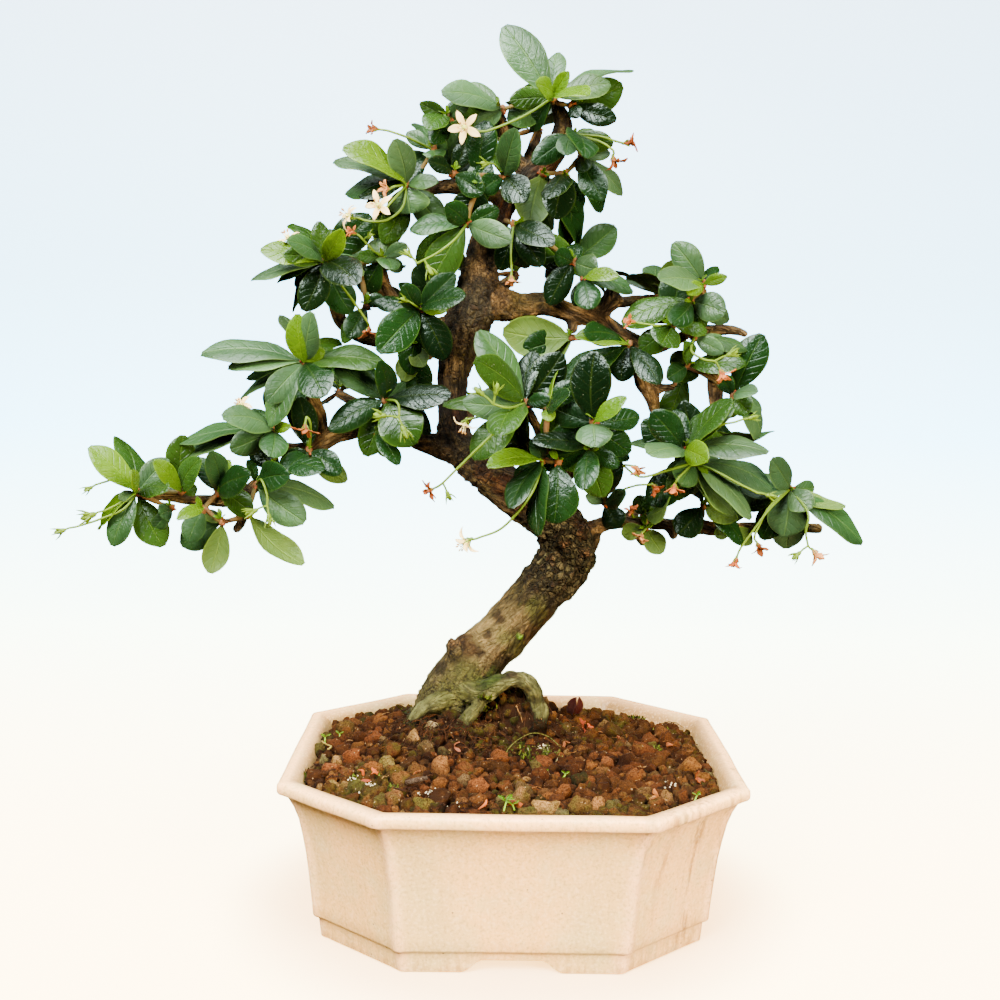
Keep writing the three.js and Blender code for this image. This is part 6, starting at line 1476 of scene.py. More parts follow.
def add_marks(skin, height, tone):
    """Scars, cuts, crusts and moss laid on the bark's height and colour."""
    for x, z, size, mark in BARK_MARKS:
        d = np.hypot(skin.x - x, skin.z - z) / size
        ragged = np.maximum(d + skin.fine * 0.4 + skin.lumps * 0.3, 0)
        edge = np.exp(-ragged ** 6) * skin.front * (~skin.limb if mark == "black" else 1)
        height = height + edge * MARK_LIFT.get(mark, 0)
        tone = blend(tone, MARK_TONES[mark], edge * (0.5 if mark in ("algae", "tan", "rust") else 0.85))
    return height, tone


def bark_relief(skin):
    """Height, colour, strength of the streaks and of the scabs on the bark."""
    height, tone = add_marks(skin, bark_height(skin), bark_tone(skin))
    dark = np.clip(skin.cracks * 0.85 - skin.fine * 0.5 + clipped(-skin.lumps) * 0.5, 0, 0.9)
    dark = dark * (1 - 0.75 * skin.light) * (1 - 0.5 * skin.limb)
    streaks = 1 - 0.7 * skin.light - 0.2 * skin.root - 0.5 * skin.limb
    return height, blend(tone, "100b06", dark), streaks, clipped(skin.knobbly * 1.2)


def make_wood(look):
    """One skin about all the wood, then roughened and coloured as bark."""
    paths = wood_paths()
    raw = Bunch()
    for points, radii, kind in paths:
        raw.add(*tube(points, radii, 18 if kind == "trunk" else 12), (1, 1, 1))
    piece = raw.make("trunk_bark", look, "bark", ["trunk"], 0)
    remesh = piece.modifiers.new("skin", "REMESH")
    remesh.mode = "VOXEL"
    remesh.voxel_size = BARK_VOXEL / 1000
    bpy.context.view_layer.update()
    apply_modifiers(piece)
    mesh = piece.data
    edges = np.empty(len(mesh.edges) * 2, int)
    mesh.edges.foreach_get("vertices", edges)
    points = blur(points_of(mesh), edges.reshape(-1, 2), 3)
    write_points(mesh, points)
    normals = np.empty(len(mesh.vertices) * 3)
    mesh.vertex_normals.foreach_get("vector", normals)
    normals = normals.reshape(-1, 3)
    where, radius, kind = near_wood(points, paths)
    height, tone, streaks, scab = bark_relief(Skin(points, normals, where, radius, kind))
    write_points(mesh, points + normals * height[:, None])
    dress(piece, look, (), {"tint": tone, "where": where, "gloss": streaks, "scab": scab}, 0)


def write_points(mesh, points):
    mesh.vertices.foreach_set("co", in_frame(points).ravel())
    mesh.update()


def bark():
    look = Look("bark")
    along = look.attribute("where", "Vector")
    streaks = look.attribute("gloss")
    scab = look.attribute("scab")
    fibre = look.noise_at(along, 0.9, 6.0, 0.72)
    crust = look.noise_at(along, 0.38, 3.0, 0.6, 1.2)
    flake = look.cells(along, 0.5, "DISTANCE_TO_EDGE")["Distance"]
    pale = look.scaled(look.tint, (2.3, 2.1, 1.9))
    colour = look.layer(look.tint, crust, 0.5, 0.68, 0.6, pale)
    dark = look.times(look.ramp(fibre, 0.53, 0.36, 0, 0.9), streaks)
    colour = look.mix(dark, colour, (0.008, 0.0055, 0.003))
    # Square plates with dark gaps on the knuckle of the bend
    shake = look.node("TexNoise", {"Vector": look.position((500,) * 3), "Scale": 1.0}).outputs["Color"]
    spot = look.mix(0.12, look.position((330,) * 3), shake, "ADD")
    gaps = look.cells(spot, feature="DISTANCE_TO_EDGE")["Distance"]
    hue = look.node("SeparateXYZ", {"Vector": look.cells(spot)["Color"]}).outputs
    plates = look.layer(colour, hue["X"], 0.55, 0.8, 0.5, "39261a")
    plates = look.layer(plates, hue["Y"], 0.55, 0.95, 0.5, "5c4e32")
    plates = look.layer(plates, gaps, 0.2, 0.0, 0.75, (0.009, 0.008, 0.004))
    colour = look.mix(scab, colour, look.scaled(plates, (1.3, 1.55, 1.7)))
    colour = look.mix(look.times(look.ramp(fibre, 0.55, 0.72, 0, 0.6), streaks), colour, pale)
    mottle = look.noise(480, 5, 0.75, 12.0)
    colour = look.layer(colour, mottle, 0.54, 0.36, 0.75, look.scaled(colour, (0.35, 0.36, 0.3)))
    edges = look.times(look.ramp(flake, 0.09, 0.0, 0, 0.75), streaks)
    colour = look.mix(edges, colour, (0.008, 0.005, 0.003))
    grit = look.noise(1100, 4, 0.75)
    colour = look.layer(colour, grit, 0.62, 0.72, 0.35, "8a7650")
    height = look.plus(look.times(fibre, 1.4), look.times(grit, 0.5))
    height = look.plus(height, look.times(look.ramp(gaps, 0.0, 0.2, 0, 1.6), scab))
    height = look.plus(height, look.times(crust, 1.2))
    height = look.plus(height, look.ramp(flake, 0.0, 0.14, 0, 0.6))
    return look.finish(colour, 0.85, look.bump(height, 0.0011), Specular_IOR_Level=0.3)


make_wood(bark())


# Leaves, twigs, flower stalks and buds of each spray

# Upper and under sides: deep, middle, yellow-green, grey-green with a painted grey sheen, pale green with a
# painted silvery sheen, young, and seen from below
LEAF_TONES = {"d": "051206", "m": "092009", "y": "1b350f", "g": "1c381c", "s": "264128", "l": "355605",
              "o": "2d4814"}
UNDER_TONES = {"d": "263d14", "m": "2a4216", "y": "3f5f1c", "g": "334729", "s": "405a33", "l": "4d6c18",
               "o": "3a5320"}
ROWS, COLUMNS = 15, 9
LEAF_FULLNESS = 1.2
# Leaves of the second layer: how many a tuft may have, the narrowest gap between its own leaves, how many
# other tips lie within reach of each one's tip, and how far each keeps from the trunk
BEHIND_EACH = 2
BEHIND_GAP = 0.6
BEHIND_REACH = 15
BEHIND_CROWD = 3
BEHIND_TO_TRUNK = 13


def leaf_half_width(s, plump):
    wide = np.sin(math.pi * clipped(s) ** plump) ** 0.6
    # Narrowed into a short stem at the base
    stem = clipped(s / 0.22)
    return np.maximum(wide * (0.35 + 0.65 * stem * stem * (3 - 2 * stem)), 0.085 + 0.12 * (s > 0.9))


def leaf_grid(f, rng, plump, curl, bend):
    """Middle surface of a blade: obovate, folded along its midrib, its margins rolled down."""
    s = np.sin(np.linspace(0, math.pi / 2, ROWS)) ** 1.12
    t = np.linspace(-1, 1, COLUMNS)
    half = leaf_half_width(s, plump) * f["width"] * 0.5 * LEAF_FULLNESS
    twist = rng.uniform(-0.28, 0.28) * (s - 0.25)
    sway = rng.uniform(-0.05, 0.05) * f["length"] * np.sin(math.pi * s)
    bow = f["length"] * (BLADE_BOW * 4 * s * (1 - s) + bend * (s * (1 - s) * 1.6 - s ** 3 * 0.5))
    phase = rng.uniform(0, 6.3, 2)
    grid = np.zeros((ROWS, COLUMNS, 3))
    fold = rng.uniform(0.1, 0.3)
    for i in range(ROWS):
        a = np.abs(t)
        rise = half[i] * (fold * a - curl * a ** 2.6)
        wave = half[i] * 0.10 * a ** 2 * np.sin(s[i] * 9 + phase[(t > 0).astype(int)])
        across = half[i] * (t * (1 - 0.12 * curl * a))
        side = f["side"] * math.cos(twist[i]) + f["normal"] * math.sin(twist[i])
        normal = f["normal"] * math.cos(twist[i]) - f["side"] * math.sin(twist[i])
        grid[i] = (f["base"] + f["along"] * f["length"] * s[i] + f["normal"] * bow[i] + f["side"] * sway[i]
                   + np.outer(across, side) + np.outer(rise + wave, normal))
    return grid, s, t


def add_leaf(bunch, f, colour, rng, thickness=0.42):
    """A leaf blade; "o" shows its underside, "l" is a young one."""
    f = dict(f)
    if colour == "o":
        f["normal"], f["side"] = -f["normal"], -f["side"]
    young = colour == "l"
    grid, s, t = leaf_grid(f, rng, rng.uniform(1.2, 1.6), rng.uniform(0.12, 0.42) * (0.6 if young else 1),
                           rng.uniform(-0.03, 0.07))
    points, faces, n = sheet(grid, thickness)
    shade = rng.uniform(0.74, 1.14)
    warm = rng.uniform(0, 0.3)
    upper = srgb(LEAF_TONES[colour]) * shade * (1 - warm * np.array([-0.5, 0, 0.3]))
    under = srgb(UNDER_TONES[colour]) * (0.8 + 0.3 * rng.random())
    if young:
        upper = upper * rng.uniform(0.75, 1.1)
    length_tint = 1 + 0.18 * (np.repeat(s, COLUMNS) - 0.5) * rng.uniform(-1, 1)
    tint = np.concatenate([upper * length_tint[:, None], under * length_tint[:, None]])
    where = np.stack([np.tile(np.repeat(s, COLUMNS), 2), np.tile(np.tile(t, ROWS), 2),
                      np.full(2 * n, rng.random())], axis=1)
    top_gloss = rng.uniform(0.09, 0.16) if colour == "d" else rng.uniform(0.13, 0.28)
    gloss = np.concatenate([np.full(n, top_gloss), np.full(n, 0.55)])
    if colour in "gs":
        # Painted sheen: one half of the blade lighter than the other, as where the light catches it, and
        # lighter or darker along it
        gloss[:n] = rng.uniform(0.3, 0.42)
        half = 1 + rng.uniform(0.15, 0.4) * rng.choice([-1, 1]) * where[:n, 1:2]
        tint[:n] = tint[:n] * half * (1 + rng.uniform(-0.5, 0.5) * (where[:n, :1] - 0.5))
    bunch.add(points, faces, tint, gloss, where)


def add_shoot(bunch, centre, way, rng, count, length):
    """A tuft of tiny new leaves at the tip of a twig."""
    side = unit(np.cross(way, [0.3, 0.5, 0.8]))
    for k in range(count):
        out = turned(side, way, k * 2.4 + rng.uniform(0, 1))
        along = unit(way * rng.uniform(0.7, 1.5) + out)
        across = unit(np.cross(along, way))
        size = length * rng.uniform(0.6, 1.1)
        f = {"base": centre + way * 0.5, "along": along, "length": size, "side": across,
             "normal": np.cross(across, along), "width": size * 0.36}
        add_leaf(bunch, f, "l", rng, 0.3)


def add_twig(bunch, a, b, radius, rng, tint_a, tint_b):
    """A slightly crooked knobbly twig."""
    length = np.linalg.norm(b - a)
    n = max(4, int(length / 2.2))
    f = np.linspace(0, 1, n + 1)
    path = a + np.outer(f, b - a)
    path += np.outer(np.sin(f * math.pi), rng.normal(size=3)) * min(0.7, length * 0.03)
    radii = radius * (1.0 - 0.2 * f) * (1 + 0.16 * np.sin(f * n * 2.1 + rng.uniform(0, 6)))
    points, faces = tube(path, radii, 8)
    tint = np.repeat(tint_a[None] * (1 - f[:, None]) + tint_b[None] * f[:, None], 8, axis=0)
    bunch.add(points, faces, tint * rng.uniform(0.85, 1.15, (len(tint), 1)), 0.8)


def add_calyx(bunch, at, way, size, rng, spread):
    """A green cup with five narrow pointed sepals."""
    tint = srgb("48610e")
    bunch.add(*ball(at, (size * 0.27, size * 0.45), 5, 8, way), tint, 0.5)
    side = unit(np.cross(way, [0.31, 0.2, 0.9]))
    for k in range(5):
        out = turned(side, way, k * math.tau / 5 + rng.uniform(-0.2, 0.2))
        tip_way = unit(way + out * spread * rng.uniform(0.7, 1.5))
        base = at + way * size * 0.15 + out * size * 0.22
        length = size * rng.uniform(0.85, 1.15)
        path = [base, base + tip_way * length * 0.5 + out * length * 0.06, base + tip_way * length]
        bunch.add(*tube(path, [size * 0.11, size * 0.09, size * 0.02], 5), tint * rng.uniform(0.8, 1.15), 0.5)


def add_stalks(bunch, spray, rng):
    """The flower stalks of a spray with their buds."""
    for stalk in spray["stalks"]:
        path, along = smooth_path(stalk["points"], 1.6)
        radii = STALK_RADIUS * np.linspace(0.95, 0.72, len(path))
        tint = blend(srgb("3a5412"), "526c16", np.repeat(along / along[-1], 7))
        bunch.add(*tube(path, radii, 7), tint, 0.45)
        end = np.array(stalk["points"][-1])
        way = unit(end - np.array(stalk["points"][-2]))
        for at, size in stalk["buds"]:
            start = path[np.linalg.norm(path - at, axis=1).argmin()]
            if np.linalg.norm(at - start) > 0.6:
                stem = [start, (start + at) / 2 + [0, 0, 0.3], at]
                bunch.add(*tube(stem, [0.42, 0.4, 0.4], 6), srgb("4c6614"), 0.45)
                way = unit(at - start)
            bud = srgb("516c14") * rng.uniform(0.8, 1.1)
            bunch.add(*ball(at + way * size * 0.3, (size * 0.22, size * 0.45), 6, 8, way), bud, 0.5)
            add_calyx(bunch, at, way, size * 0.8, rng, 0.5)


def foliage():
    look = Look("foliage")
    parts = look.node("SeparateXYZ", {"Vector": look.attribute("where", "Vector")}).outputs
    away = look.math("ABSOLUTE", parts["Y"])
    blade = look.ramp(away, 1.5, 2.0, 1, 0)
    rib = look.times(look.ramp(away, 0.075, 0.02, 0, 1), blade)
    course = look.math("SUBTRACT", look.times(parts["X"], 7.5), look.times(away, 1.7))
    vein = look.ramp(look.math("PINGPONG", course, 0.5), 0.1, 0.0, 0, 1)
    vein = look.times(look.times(vein, look.ramp(away, 0.95, 0.7, 0, 1)), blade)
    margin = look.times(look.ramp(away, 0.88, 0.97, 0, 1), blade)
    mottle = look.noise(230, 3, 0.6)
    fine = look.noise(780, 3, 0.6, 4.0)
    pale = look.mix(1.0, look.scaled(look.tint, (2.2, 1.9, 1.2)), (0.012, 0.02, 0.003), "ADD")
    colour = look.layer(look.tint, mottle, 0.35, 0.7, 0.35, look.scaled(look.tint, (1.5, 1.25, 0.9)))
    for part, strength in ((rib, 0.45), (vein, 0.12), (margin, 0.55)):
        colour = look.mix(look.times(part, strength), colour, pale)
    spots = look.ramp(look.cells(look.position((420,) * 3))["Distance"], 0.1, 0.05, 0, 0.12)
    colour = look.mix(look.times(spots, blade), colour, (0.42, 0.46, 0.36))
    height = look.plus(look.times(fine, 0.75), look.times(mottle, 1.1))
    height = look.math("SUBTRACT", height, look.times(rib, 0.9))
    height = look.math("SUBTRACT", height, look.times(vein, 0.45))
    rough = look.plus(look.attribute("gloss"), look.ramp(mottle, 0.3, 0.7, 0.0, 0.1))
    return look.finish(colour, rough, look.bump(height, 0.0005, 0.8), Specular_IOR_Level=0.5,
                       Specular_Tint=(0.82, 1.0, 0.94))


def as_seen(point):
    """Where a point shows in the plane through the middle of the pot."""
    k = depth_scale(point[1])
    return np.array([VIEWER[0] + (point[0] - VIEWER[0]) / k, VIEWER[2] + (point[2] - VIEWER[2]) / k])


def leaves_behind():
    """More leaves behind each tuft, in the gaps between its own, where the crown goes on past it."""
    rng = np.random.default_rng(200)
    front = sprays[:len(SPRAYS)]
    tufts = [(spray, centre, leaves) for spray in front for centre, leaves in spray["rosettes"]]
    tips = [[as_seen(tip) for tip, _, _ in leaves] for _, _, leaves in tufts]
    stem = np.array([as_seen(p) for line, _, kind in wood_paths() if kind == "trunk" for p in line])
    for i, (spray, centre, leaves) in enumerate(tufts):
        hub = as_seen(centre)
        others = np.array([tip for k, group in enumerate(tips) if k != i for tip in group])
        turns = np.sort([math.atan2(tip[1] - hub[1], tip[0] - hub[0]) for tip in tips[i]])
        gaps = np.diff(np.append(turns, turns[0] + math.tau))
        for g in np.argsort(-gaps)[:BEHIND_EACH]:
            length, width = rng.uniform(19, 27), rng.uniform(9.5, 12.5)
            turn = turns[g] + gaps[g] / 2 + rng.uniform(-0.2, 0.2)
            back, colour = rng.uniform(5, 13), "mymdmgy"[rng.integers(7)]
            way = np.array([math.cos(turn), math.sin(turn)])
            end = hub + way * length
            crowd = (np.linalg.norm(others - end, axis=1) < BEHIND_REACH).sum()
            to_trunk = np.linalg.norm(stem - (hub + way * length * 0.7), axis=1).min()
            if gaps[g] < BEHIND_GAP or crowd < BEHIND_CROWD or to_trunk < BEHIND_TO_TRUNK:
                continue
            base = place(*(hub + way * 1.5), centre[1] + back)
            f = blade_frame(base, place(*end, centre[1] + back - 3), width * depth_scale(base[1]), False)
            if free_of_wood(probes(f)).min() > 0.4:
                f["colour"] = colour
                spray["blades"].append(f)
                spray["twigs"].append((centre, base, 0.6))


def uncovered(f):
    """A young leaf's frame, brought in front of the older leaves round it without moving on the picture."""
    base, tip = (point + (VIEWER - point) / np.linalg.norm(VIEWER - point) * step
                 for point, step in ((f["base"], 3.0), (f["base"] + f["along"] * f["length"], 9.0)))
    along = unit(tip - base)
    side = unit(f["side"] - along * np.dot(f["side"], along))
    return {**f, "base": base, "along": along, "length": np.linalg.norm(tip - base), "side": side,
            "normal": np.cross(side, along)}


def make_sprays(look):
    leaves_behind()
    bark_brown, green = srgb("4b3220"), srgb("4f5f20")
    for number, spray in enumerate(sprays):
        rng = np.random.default_rng(300 + number)
        bunch = Bunch()
        for a, b, r in spray["twigs"]:
            add_twig(bunch, a, b, r, rng, bark_brown, bark_brown * 0.6 + green * 0.4)
        for centre, leaves in spray["rosettes"]:
            points, faces = ball(centre, (HUB_RADIUS * 0.8, HUB_RADIUS * 1.05), 5, 8,
                                 unit(rng.normal(size=3) + [0, 0, 2]))
            bunch.add(points, faces, srgb("57391e") * rng.uniform(0.8, 1.2), 0.8)
            ways = [unit(tip - centre) for tip, _, _ in leaves]
            way = unit(np.sum(ways, axis=0) * 0.3 + unit(VIEWER - centre) * 0.8 + [0, 0, 0.9])
            add_shoot(bunch, centre + way * HUB_RADIUS * 0.6, way, rng, 3, rng.uniform(3.2, 5.5))
            for _ in range(4):
                out = unit(rng.normal(size=3))
                scale = ball(centre + out * HUB_RADIUS * 0.8, (0.55, 0.9), 4, 5, out)
                bunch.add(*scale, srgb("6b3014") * rng.uniform(0.7, 1.2), 0.7)
        for blade in spray["blades"]:
            add_leaf(bunch, uncovered(blade) if blade["colour"] == "l" else blade, blade["colour"], rng)
        add_stalks(bunch, spray, rng)
        for bloom in blooms:
            if bloom["spray"] == spray["name"]:
                seat(bunch, bloom, rng)
        bunch.make(spray["name"] + "_foliage", look, "leaf", [spray["name"]], 60)


def seat(bunch, bloom, rng):
    """The thin stem and calyx behind a flower."""
    at, face, size = bloom["at"], bloom["face"], bloom["size"]
    neck = at - face * size * (0.42 if bloom["kind"] == "white" else 0.5)
    start = bloom["from"]
    path, _ = smooth_path([bloom["before"], start, neck], 1.2)
    path = path[np.linalg.norm(path - start, axis=1).argmin():]
    if len(path) > 1:
        bunch.add(*tube(path, np.linspace(0.46, 0.4, len(path)), 6), srgb("4c6614"), 0.45)
    add_calyx(bunch, neck, face, size * 0.42, rng, 0.9 if bloom["kind"] == "white" else 0.5)


# Flowers

def add_petal(bunch, at, face, out, length, width, tints, cup, curl, crumple=0.0, pointed=False):
    """A petal from its base at a point: cupped, its tip curled, crumpled if it is dry."""
    rows, cols = 9, 7
    side = unit(np.cross(face, out))
    s = np.linspace(0, 1, rows)
    t = np.linspace(-1, 1, cols)
    half = width * 0.5 * np.maximum(np.sin(math.pi * clipped(s * 0.9 + 0.04) ** 1.25) ** 0.8, 0.22)
    if pointed:
        half = width * 0.5 * np.interp(s, [0, 0.25, 0.5, 0.75, 0.92, 1], [0.55, 0.9, 1, 0.72, 0.34, 0.08])
    grid = np.zeros((rows, cols, 3))
    for i in range(rows):
        rise = length * (cup * s[i] - curl * s[i] ** 3) + half[i] * 0.25 * t ** 2
        grid[i] = at + np.outer(length * s[i] * (1 - 0.25 * cup * s[i]) * np.ones(cols), out)
        grid[i] += np.outer(rise, face) + np.outer(t * half[i], side)
    if crumple:
        flat = grid.reshape(-1, 3)
        for k in range(3):
            flat[:, k] += layered_noise(flat / 1.5, 2, 13 * k + 3) * crumple
        grid = flat.reshape(rows, cols, 3)
    points, faces, _ = sheet(grid, 0.3)
    f = np.tile(np.repeat(s, cols), 2)[:, None]
    bunch.add(points, faces, tints[0] * (1 - f) + tints[1] * f, 0.6)


def white_flower(bloom, rng):
    bunch = Bunch()
    at, face, size = bloom["at"], bloom["face"], bloom["size"]
    side = unit(np.cross(face, [0.2, 0.3, 0.9]))
    start = rng.uniform(0, 1.2)
    for k in range(5):
        out = turned(side, face, start + k * math.tau / 5)
        add_petal(bunch, at - face * size * 0.1 + out * size * 0.1, face, out, size * rng.uniform(0.84, 0.96),
                  size * rng.uniform(0.34, 0.42), (srgb("cfb86c"), srgb("e8d4a2")), 0.32,
                  rng.uniform(0.1, 0.6), 0.1, True)
        stem = at + out * size * 0.1
        tip = at + face * size * 0.5 + out * size * 0.22
        bunch.add(*tube([stem, (stem + tip) / 2, tip], [0.2, 0.17, 0.15], 5), srgb("f6eec4"), 0.6)
        bunch.add(*ball(tip, (0.36, 0.62), 4, 6, out + face), srgb("b98a4a") * rng.uniform(0.6, 1.1), 0.7)
    bunch.add(*ball(at, (size * 0.15, size * 0.24), 5, 8, face), srgb("b9c45a"), 0.6)
    return bunch


def wilted_flower(bloom, rng):
    bunch = Bunch()
    at, face, size = bloom["at"], bloom["face"], bloom["size"]
    side = unit(np.cross(face, [0.2, 0.3, 0.9]))
    tone = srgb(["a06a3c", "97532a", "84421e", "ad7647", "74401f"][rng.integers(5)])
    for k in range(5):
        out = turned(side, face, k * math.tau / 5 + rng.uniform(-0.4, 0.4))
        way = unit(out + face * rng.uniform(0.6, 2.2))
        tints = (tone * rng.uniform(0.5, 0.8), tone * rng.uniform(0.8, 1.35))
        add_petal(bunch, at - face * size * 0.3, unit(np.cross(way, np.cross(face, way))), way,
                  size * rng.uniform(0.75, 1.05), size * rng.uniform(0.32, 0.5), tints,
                  rng.uniform(-0.2, 0.3), rng.uniform(0.1, 0.6), size * 0.1)
    bunch.add(*ball(at - face * size * 0.2, (size * 0.2, size * 0.35), 5, 7, face), tone * 0.6, 0.7)
    return bunch


def petals(name, tone):
    look = Look(name)
    grain = look.noise(1500, 3, 0.6)
    colour = look.layer(look.tint, grain, 0.55, 0.75, 0.3, tone)
    return look.finish(colour, 0.6, look.bump(grain, 0.0003, 0.5), Specular_IOR_Level=0.3)


leaf_look = foliage()
make_sprays(leaf_look)
petal_look = petals("petal", "efe2c0")
wilted_look = petals("wilted_petal", "6b3a20")
for i, bloom in enumerate(blooms):
    rng = np.random.default_rng(700 + i)
    name = f"flower_{bloom['kind']}_{i + 1}"
    shape, look, slot = {"white": (white_flower, petal_look, "petal"),
                         "wilted": (wilted_flower, wilted_look, "wilted_petal")}[bloom["kind"]]
    shape(bloom, rng).make(name + "_petals", look, slot, [name], 0)


# Moss, rootlets and litter on the soil

def lay_thread(bunch, rng, x, y, length, radius, tint, lift):
    """A thin crooked rootlet lying on the soil."""
    step = 1.3
    turn = rng.uniform(0, math.tau)
    path = []
    bend = rng.normal() * 0.25
    for k in range(max(4, int(length / step))):
        z = soil_surface(x, y) + lift + 0.5 * math.sin(k * 0.9 + turn) + rng.uniform(0, 0.5)
        path.append((x, y, z))
        turn += bend + rng.normal() * 0.45
        x += math.cos(turn) * step
        y += math.sin(turn) * step
        if not inside_soil(x, y, 1):
            break
    if len(path) > 2:
        bunch.add(*tube(path, np.linspace(radius, radius * 0.5, len(path)), 4), tint, 0.7)


def moss_tuft(bunch, rng, at, spread, count, tones):
    """Short tapered shoots round a place on the soil, or on a root where a height is given."""
    for _ in range(count):
        x = at[0] + rng.normal() * spread
        y = at[1] + rng.normal() * spread
        ground = at[2] + rng.normal() * 0.8 if len(at) > 2 else soil_surface(x, y) + 0.9
        base = np.array([x, y, ground - 0.8])
        tip = base + unit(np.array([rng.normal() * 0.5, rng.normal() * 0.5, 1])) * 1.6 * rng.uniform(0.7, 1.5)
        shoot = tube([base, (base + tip) / 2, tip], [0.42, 0.3, 0.08], 4)
        bunch.add(*shoot, picked(tones, rng, 0.7, 1.3), 0.8)


def scrap(bunch, rng, x, y, size, code):
    """A dry curled petal or leaf."""
    at = np.array([x, y, soil_surface(x, y) + 2])
    for _ in range(rng.integers(2, 4)):
        out = unit(rng.normal(size=3) * [1, 1, 0.5])
        face = unit(np.cross(out, rng.normal(size=3)))
        tone = srgb(code) * rng.uniform(0.6, 1.3)
        add_petal(bunch, at, face, out, size * rng.uniform(0.7, 1.2), size * rng.uniform(0.3, 0.5),
                  (tone * 0.6, tone), rng.uniform(-0.2, 0.4), rng.uniform(0, 0.6), size * 0.12)


def seedling(bunch, rng, x, y, size):
    at = np.array([x, y, soil_surface(x, y) + 1.0])
    top = at + [rng.uniform(-1, 1), rng.uniform(-1, 1), size * 0.8]
    bunch.add(*tube([at, (at + top) / 2, top], [0.35, 0.3, 0.3], 5), srgb("6f9a20"), 0.5)
    for k in range(3):
        a = k * 2.4 + rng.uniform(0, 1)
        along = unit(np.array([math.cos(a), math.sin(a), 0.55]))
        across = unit(np.cross(along, [0, 0, 1]))
        add_leaf(bunch, {"base": top, "along": along, "length": size * rng.uniform(0.8, 1.1), "side": across,
                         "normal": np.cross(across, along), "width": size * 0.4}, "l", rng, 0.3)


# Colours of the threads and the moss
DARK_THREADS = ["20150d", "2b1b10", "170f0a", "3a2414", "241c14"]
PALE_THREADS = ["3a2616", "6d4a28", "8a6a40", "241810"]
GREENS = ["2c3a0e", "3d4f14", "24300c", "52651c", "1c230b"]
PALE_GREENS = ["6e7048", "8d8c66", "4a5220", "33401a"]
DEEP_GREENS = ["1d240c", "2a3310", "15180a"]
# Dark roots that lie along the rim: x, y
RIM_ROOTS = [(-81, 10), (-79, -20), (-74, -32), (66, 58), (60, 63), (72, 45), (78, 8), (79, -18), (-55, 64),
             (-22, -66), (-20, -64), (20, -20), (34, -4), (-40, -48), (-66, -30), (-47, 40), (-53, 34)]
# Moss: place, spread, count, colours
MOSS = [
    ((8, -6), 3.4, 150, GREENS), ((14, -3), 3.0, 70, PALE_GREENS), ((-50, 50), 4.0, 90, GREENS),
    ((-40, 12), 4.0, 110, DEEP_GREENS), ((-34, 24), 4.5, 90, DEEP_GREENS), ((-80, -27), 2.6, 60, GREENS),
    ((60, 60), 2.5, 50, GREENS), ((61, 12), 1.5, 26, GREENS), ((-60, -30), 3.0, 60, GREENS),
    ((-46, -44), 2.6, 40, GREENS), ((70, 38), 2.5, 40, GREENS), ((-11.5, 6.5, 85.5), 1.6, 60, GREENS),
    ((-14, 10, 80), 2.2, 90, GREENS), ((-19, 8, 76), 2.0, 60, GREENS),
    ((-28, 10, 72), 3.0, 70, ["1d240c", "2a3310", "3c4a18"])]
# Groups of white dots: x, y
WHITE_DOTS = [(-55, -44), (-33, -51), (-22, -62), (61, -37), (-56, -40), (-31, -48), (12, -2), (-62, -36)]
# Dry petals and bits of leaf: x, y, size, colour
SCRAPS = [
    (-58, -33, 5, "8a3f14"), (-53, -31, 4.5, "96481c"), (-60, -38, 4, "7a3413"), (32, 34, 4.6, "7d2f10"),
    (34, 31, 4, "8c3c14"), (-13, -63, 4.2, "9a4f22"), (2, -63, 4.4, "7a3d18"), (54, -50, 4.2, "8c5628"),
    (-75, 1, 4, "8c8040"), (-72, 3, 4, "96884a"), (72, -28, 4.5, "773a16"), (10, 44, 3.6, "8d6a38"),
    (22, 6, 3.2, "6b3d1e"), (-24, -8, 3.6, "7e4a30"), (46, 22, 3.4, "5c3018"), (66, 12, 3.4, "74401f"),
    (-37, -28, 3, "7a4820"), (5, 22, 3.4, "85562a")]
# Seedlings: x, y, size
SEEDLINGS = [(19.5, -30, 2.2), (-4, -63, 4.2), (0, -62, 3), (68, -50, 2.4), (-79, 8, 3), (12, -28, 1.8),
             (-73, 12, 2.2)]


def open_soil(x, y, clearance):
    """Whether a thread can lie at a place, clear of the wall and the wood."""
    return inside_soil(x, y, 2) and free_of_wood([x, y, soil_surface(x, y) + 1])[0] > clearance


def lay_threads(mat, rng):
    """Rootlets round the trunk, thick in front of it, along the rim, and scattered pale ones."""
    for _ in range(300):
        a, d = rng.uniform(0, math.tau), rng.uniform(0.35, 1.0) ** 0.7
        x, y = -14 + math.cos(a) * 42 * d, 16 + math.sin(a) * 26 * d
        if open_soil(x, y, 0.8):
            lay_thread(mat, rng, x, y, rng.uniform(6, 16), rng.uniform(0.16, 0.34),
                       picked(DARK_THREADS, rng, 0.7, 1.4), rng.uniform(0.4, 1.6))
    for _ in range(230):
        x, y = -26 + rng.normal() * 15, 4 + rng.normal() * 7
        if open_soil(x, y, 0.5):
            lay_thread(mat, rng, x, y, rng.uniform(4, 12), rng.uniform(0.16, 0.34),
                       picked(DARK_THREADS, rng, 0.6, 1.4), rng.uniform(0.8, 2.4))
    for x, y in RIM_ROOTS:
        for _ in range(7):
            lay_thread(mat, rng, x + rng.normal() * 2.5, y + rng.normal() * 2.5, rng.uniform(5, 11),
                       rng.uniform(0.18, 0.32), srgb("231610") * rng.uniform(0.6, 1.5), rng.uniform(1.4, 3))
    for _ in range(130):
        x, y = rng.uniform(-76, 76), rng.uniform(-66, 66)
        if inside_soil(x, y, 4):
            lay_thread(mat, rng, x, y, rng.uniform(3, 8), rng.uniform(0.15, 0.28),
                       srgb(PALE_THREADS[rng.integers(4)]), rng.uniform(1, 2))


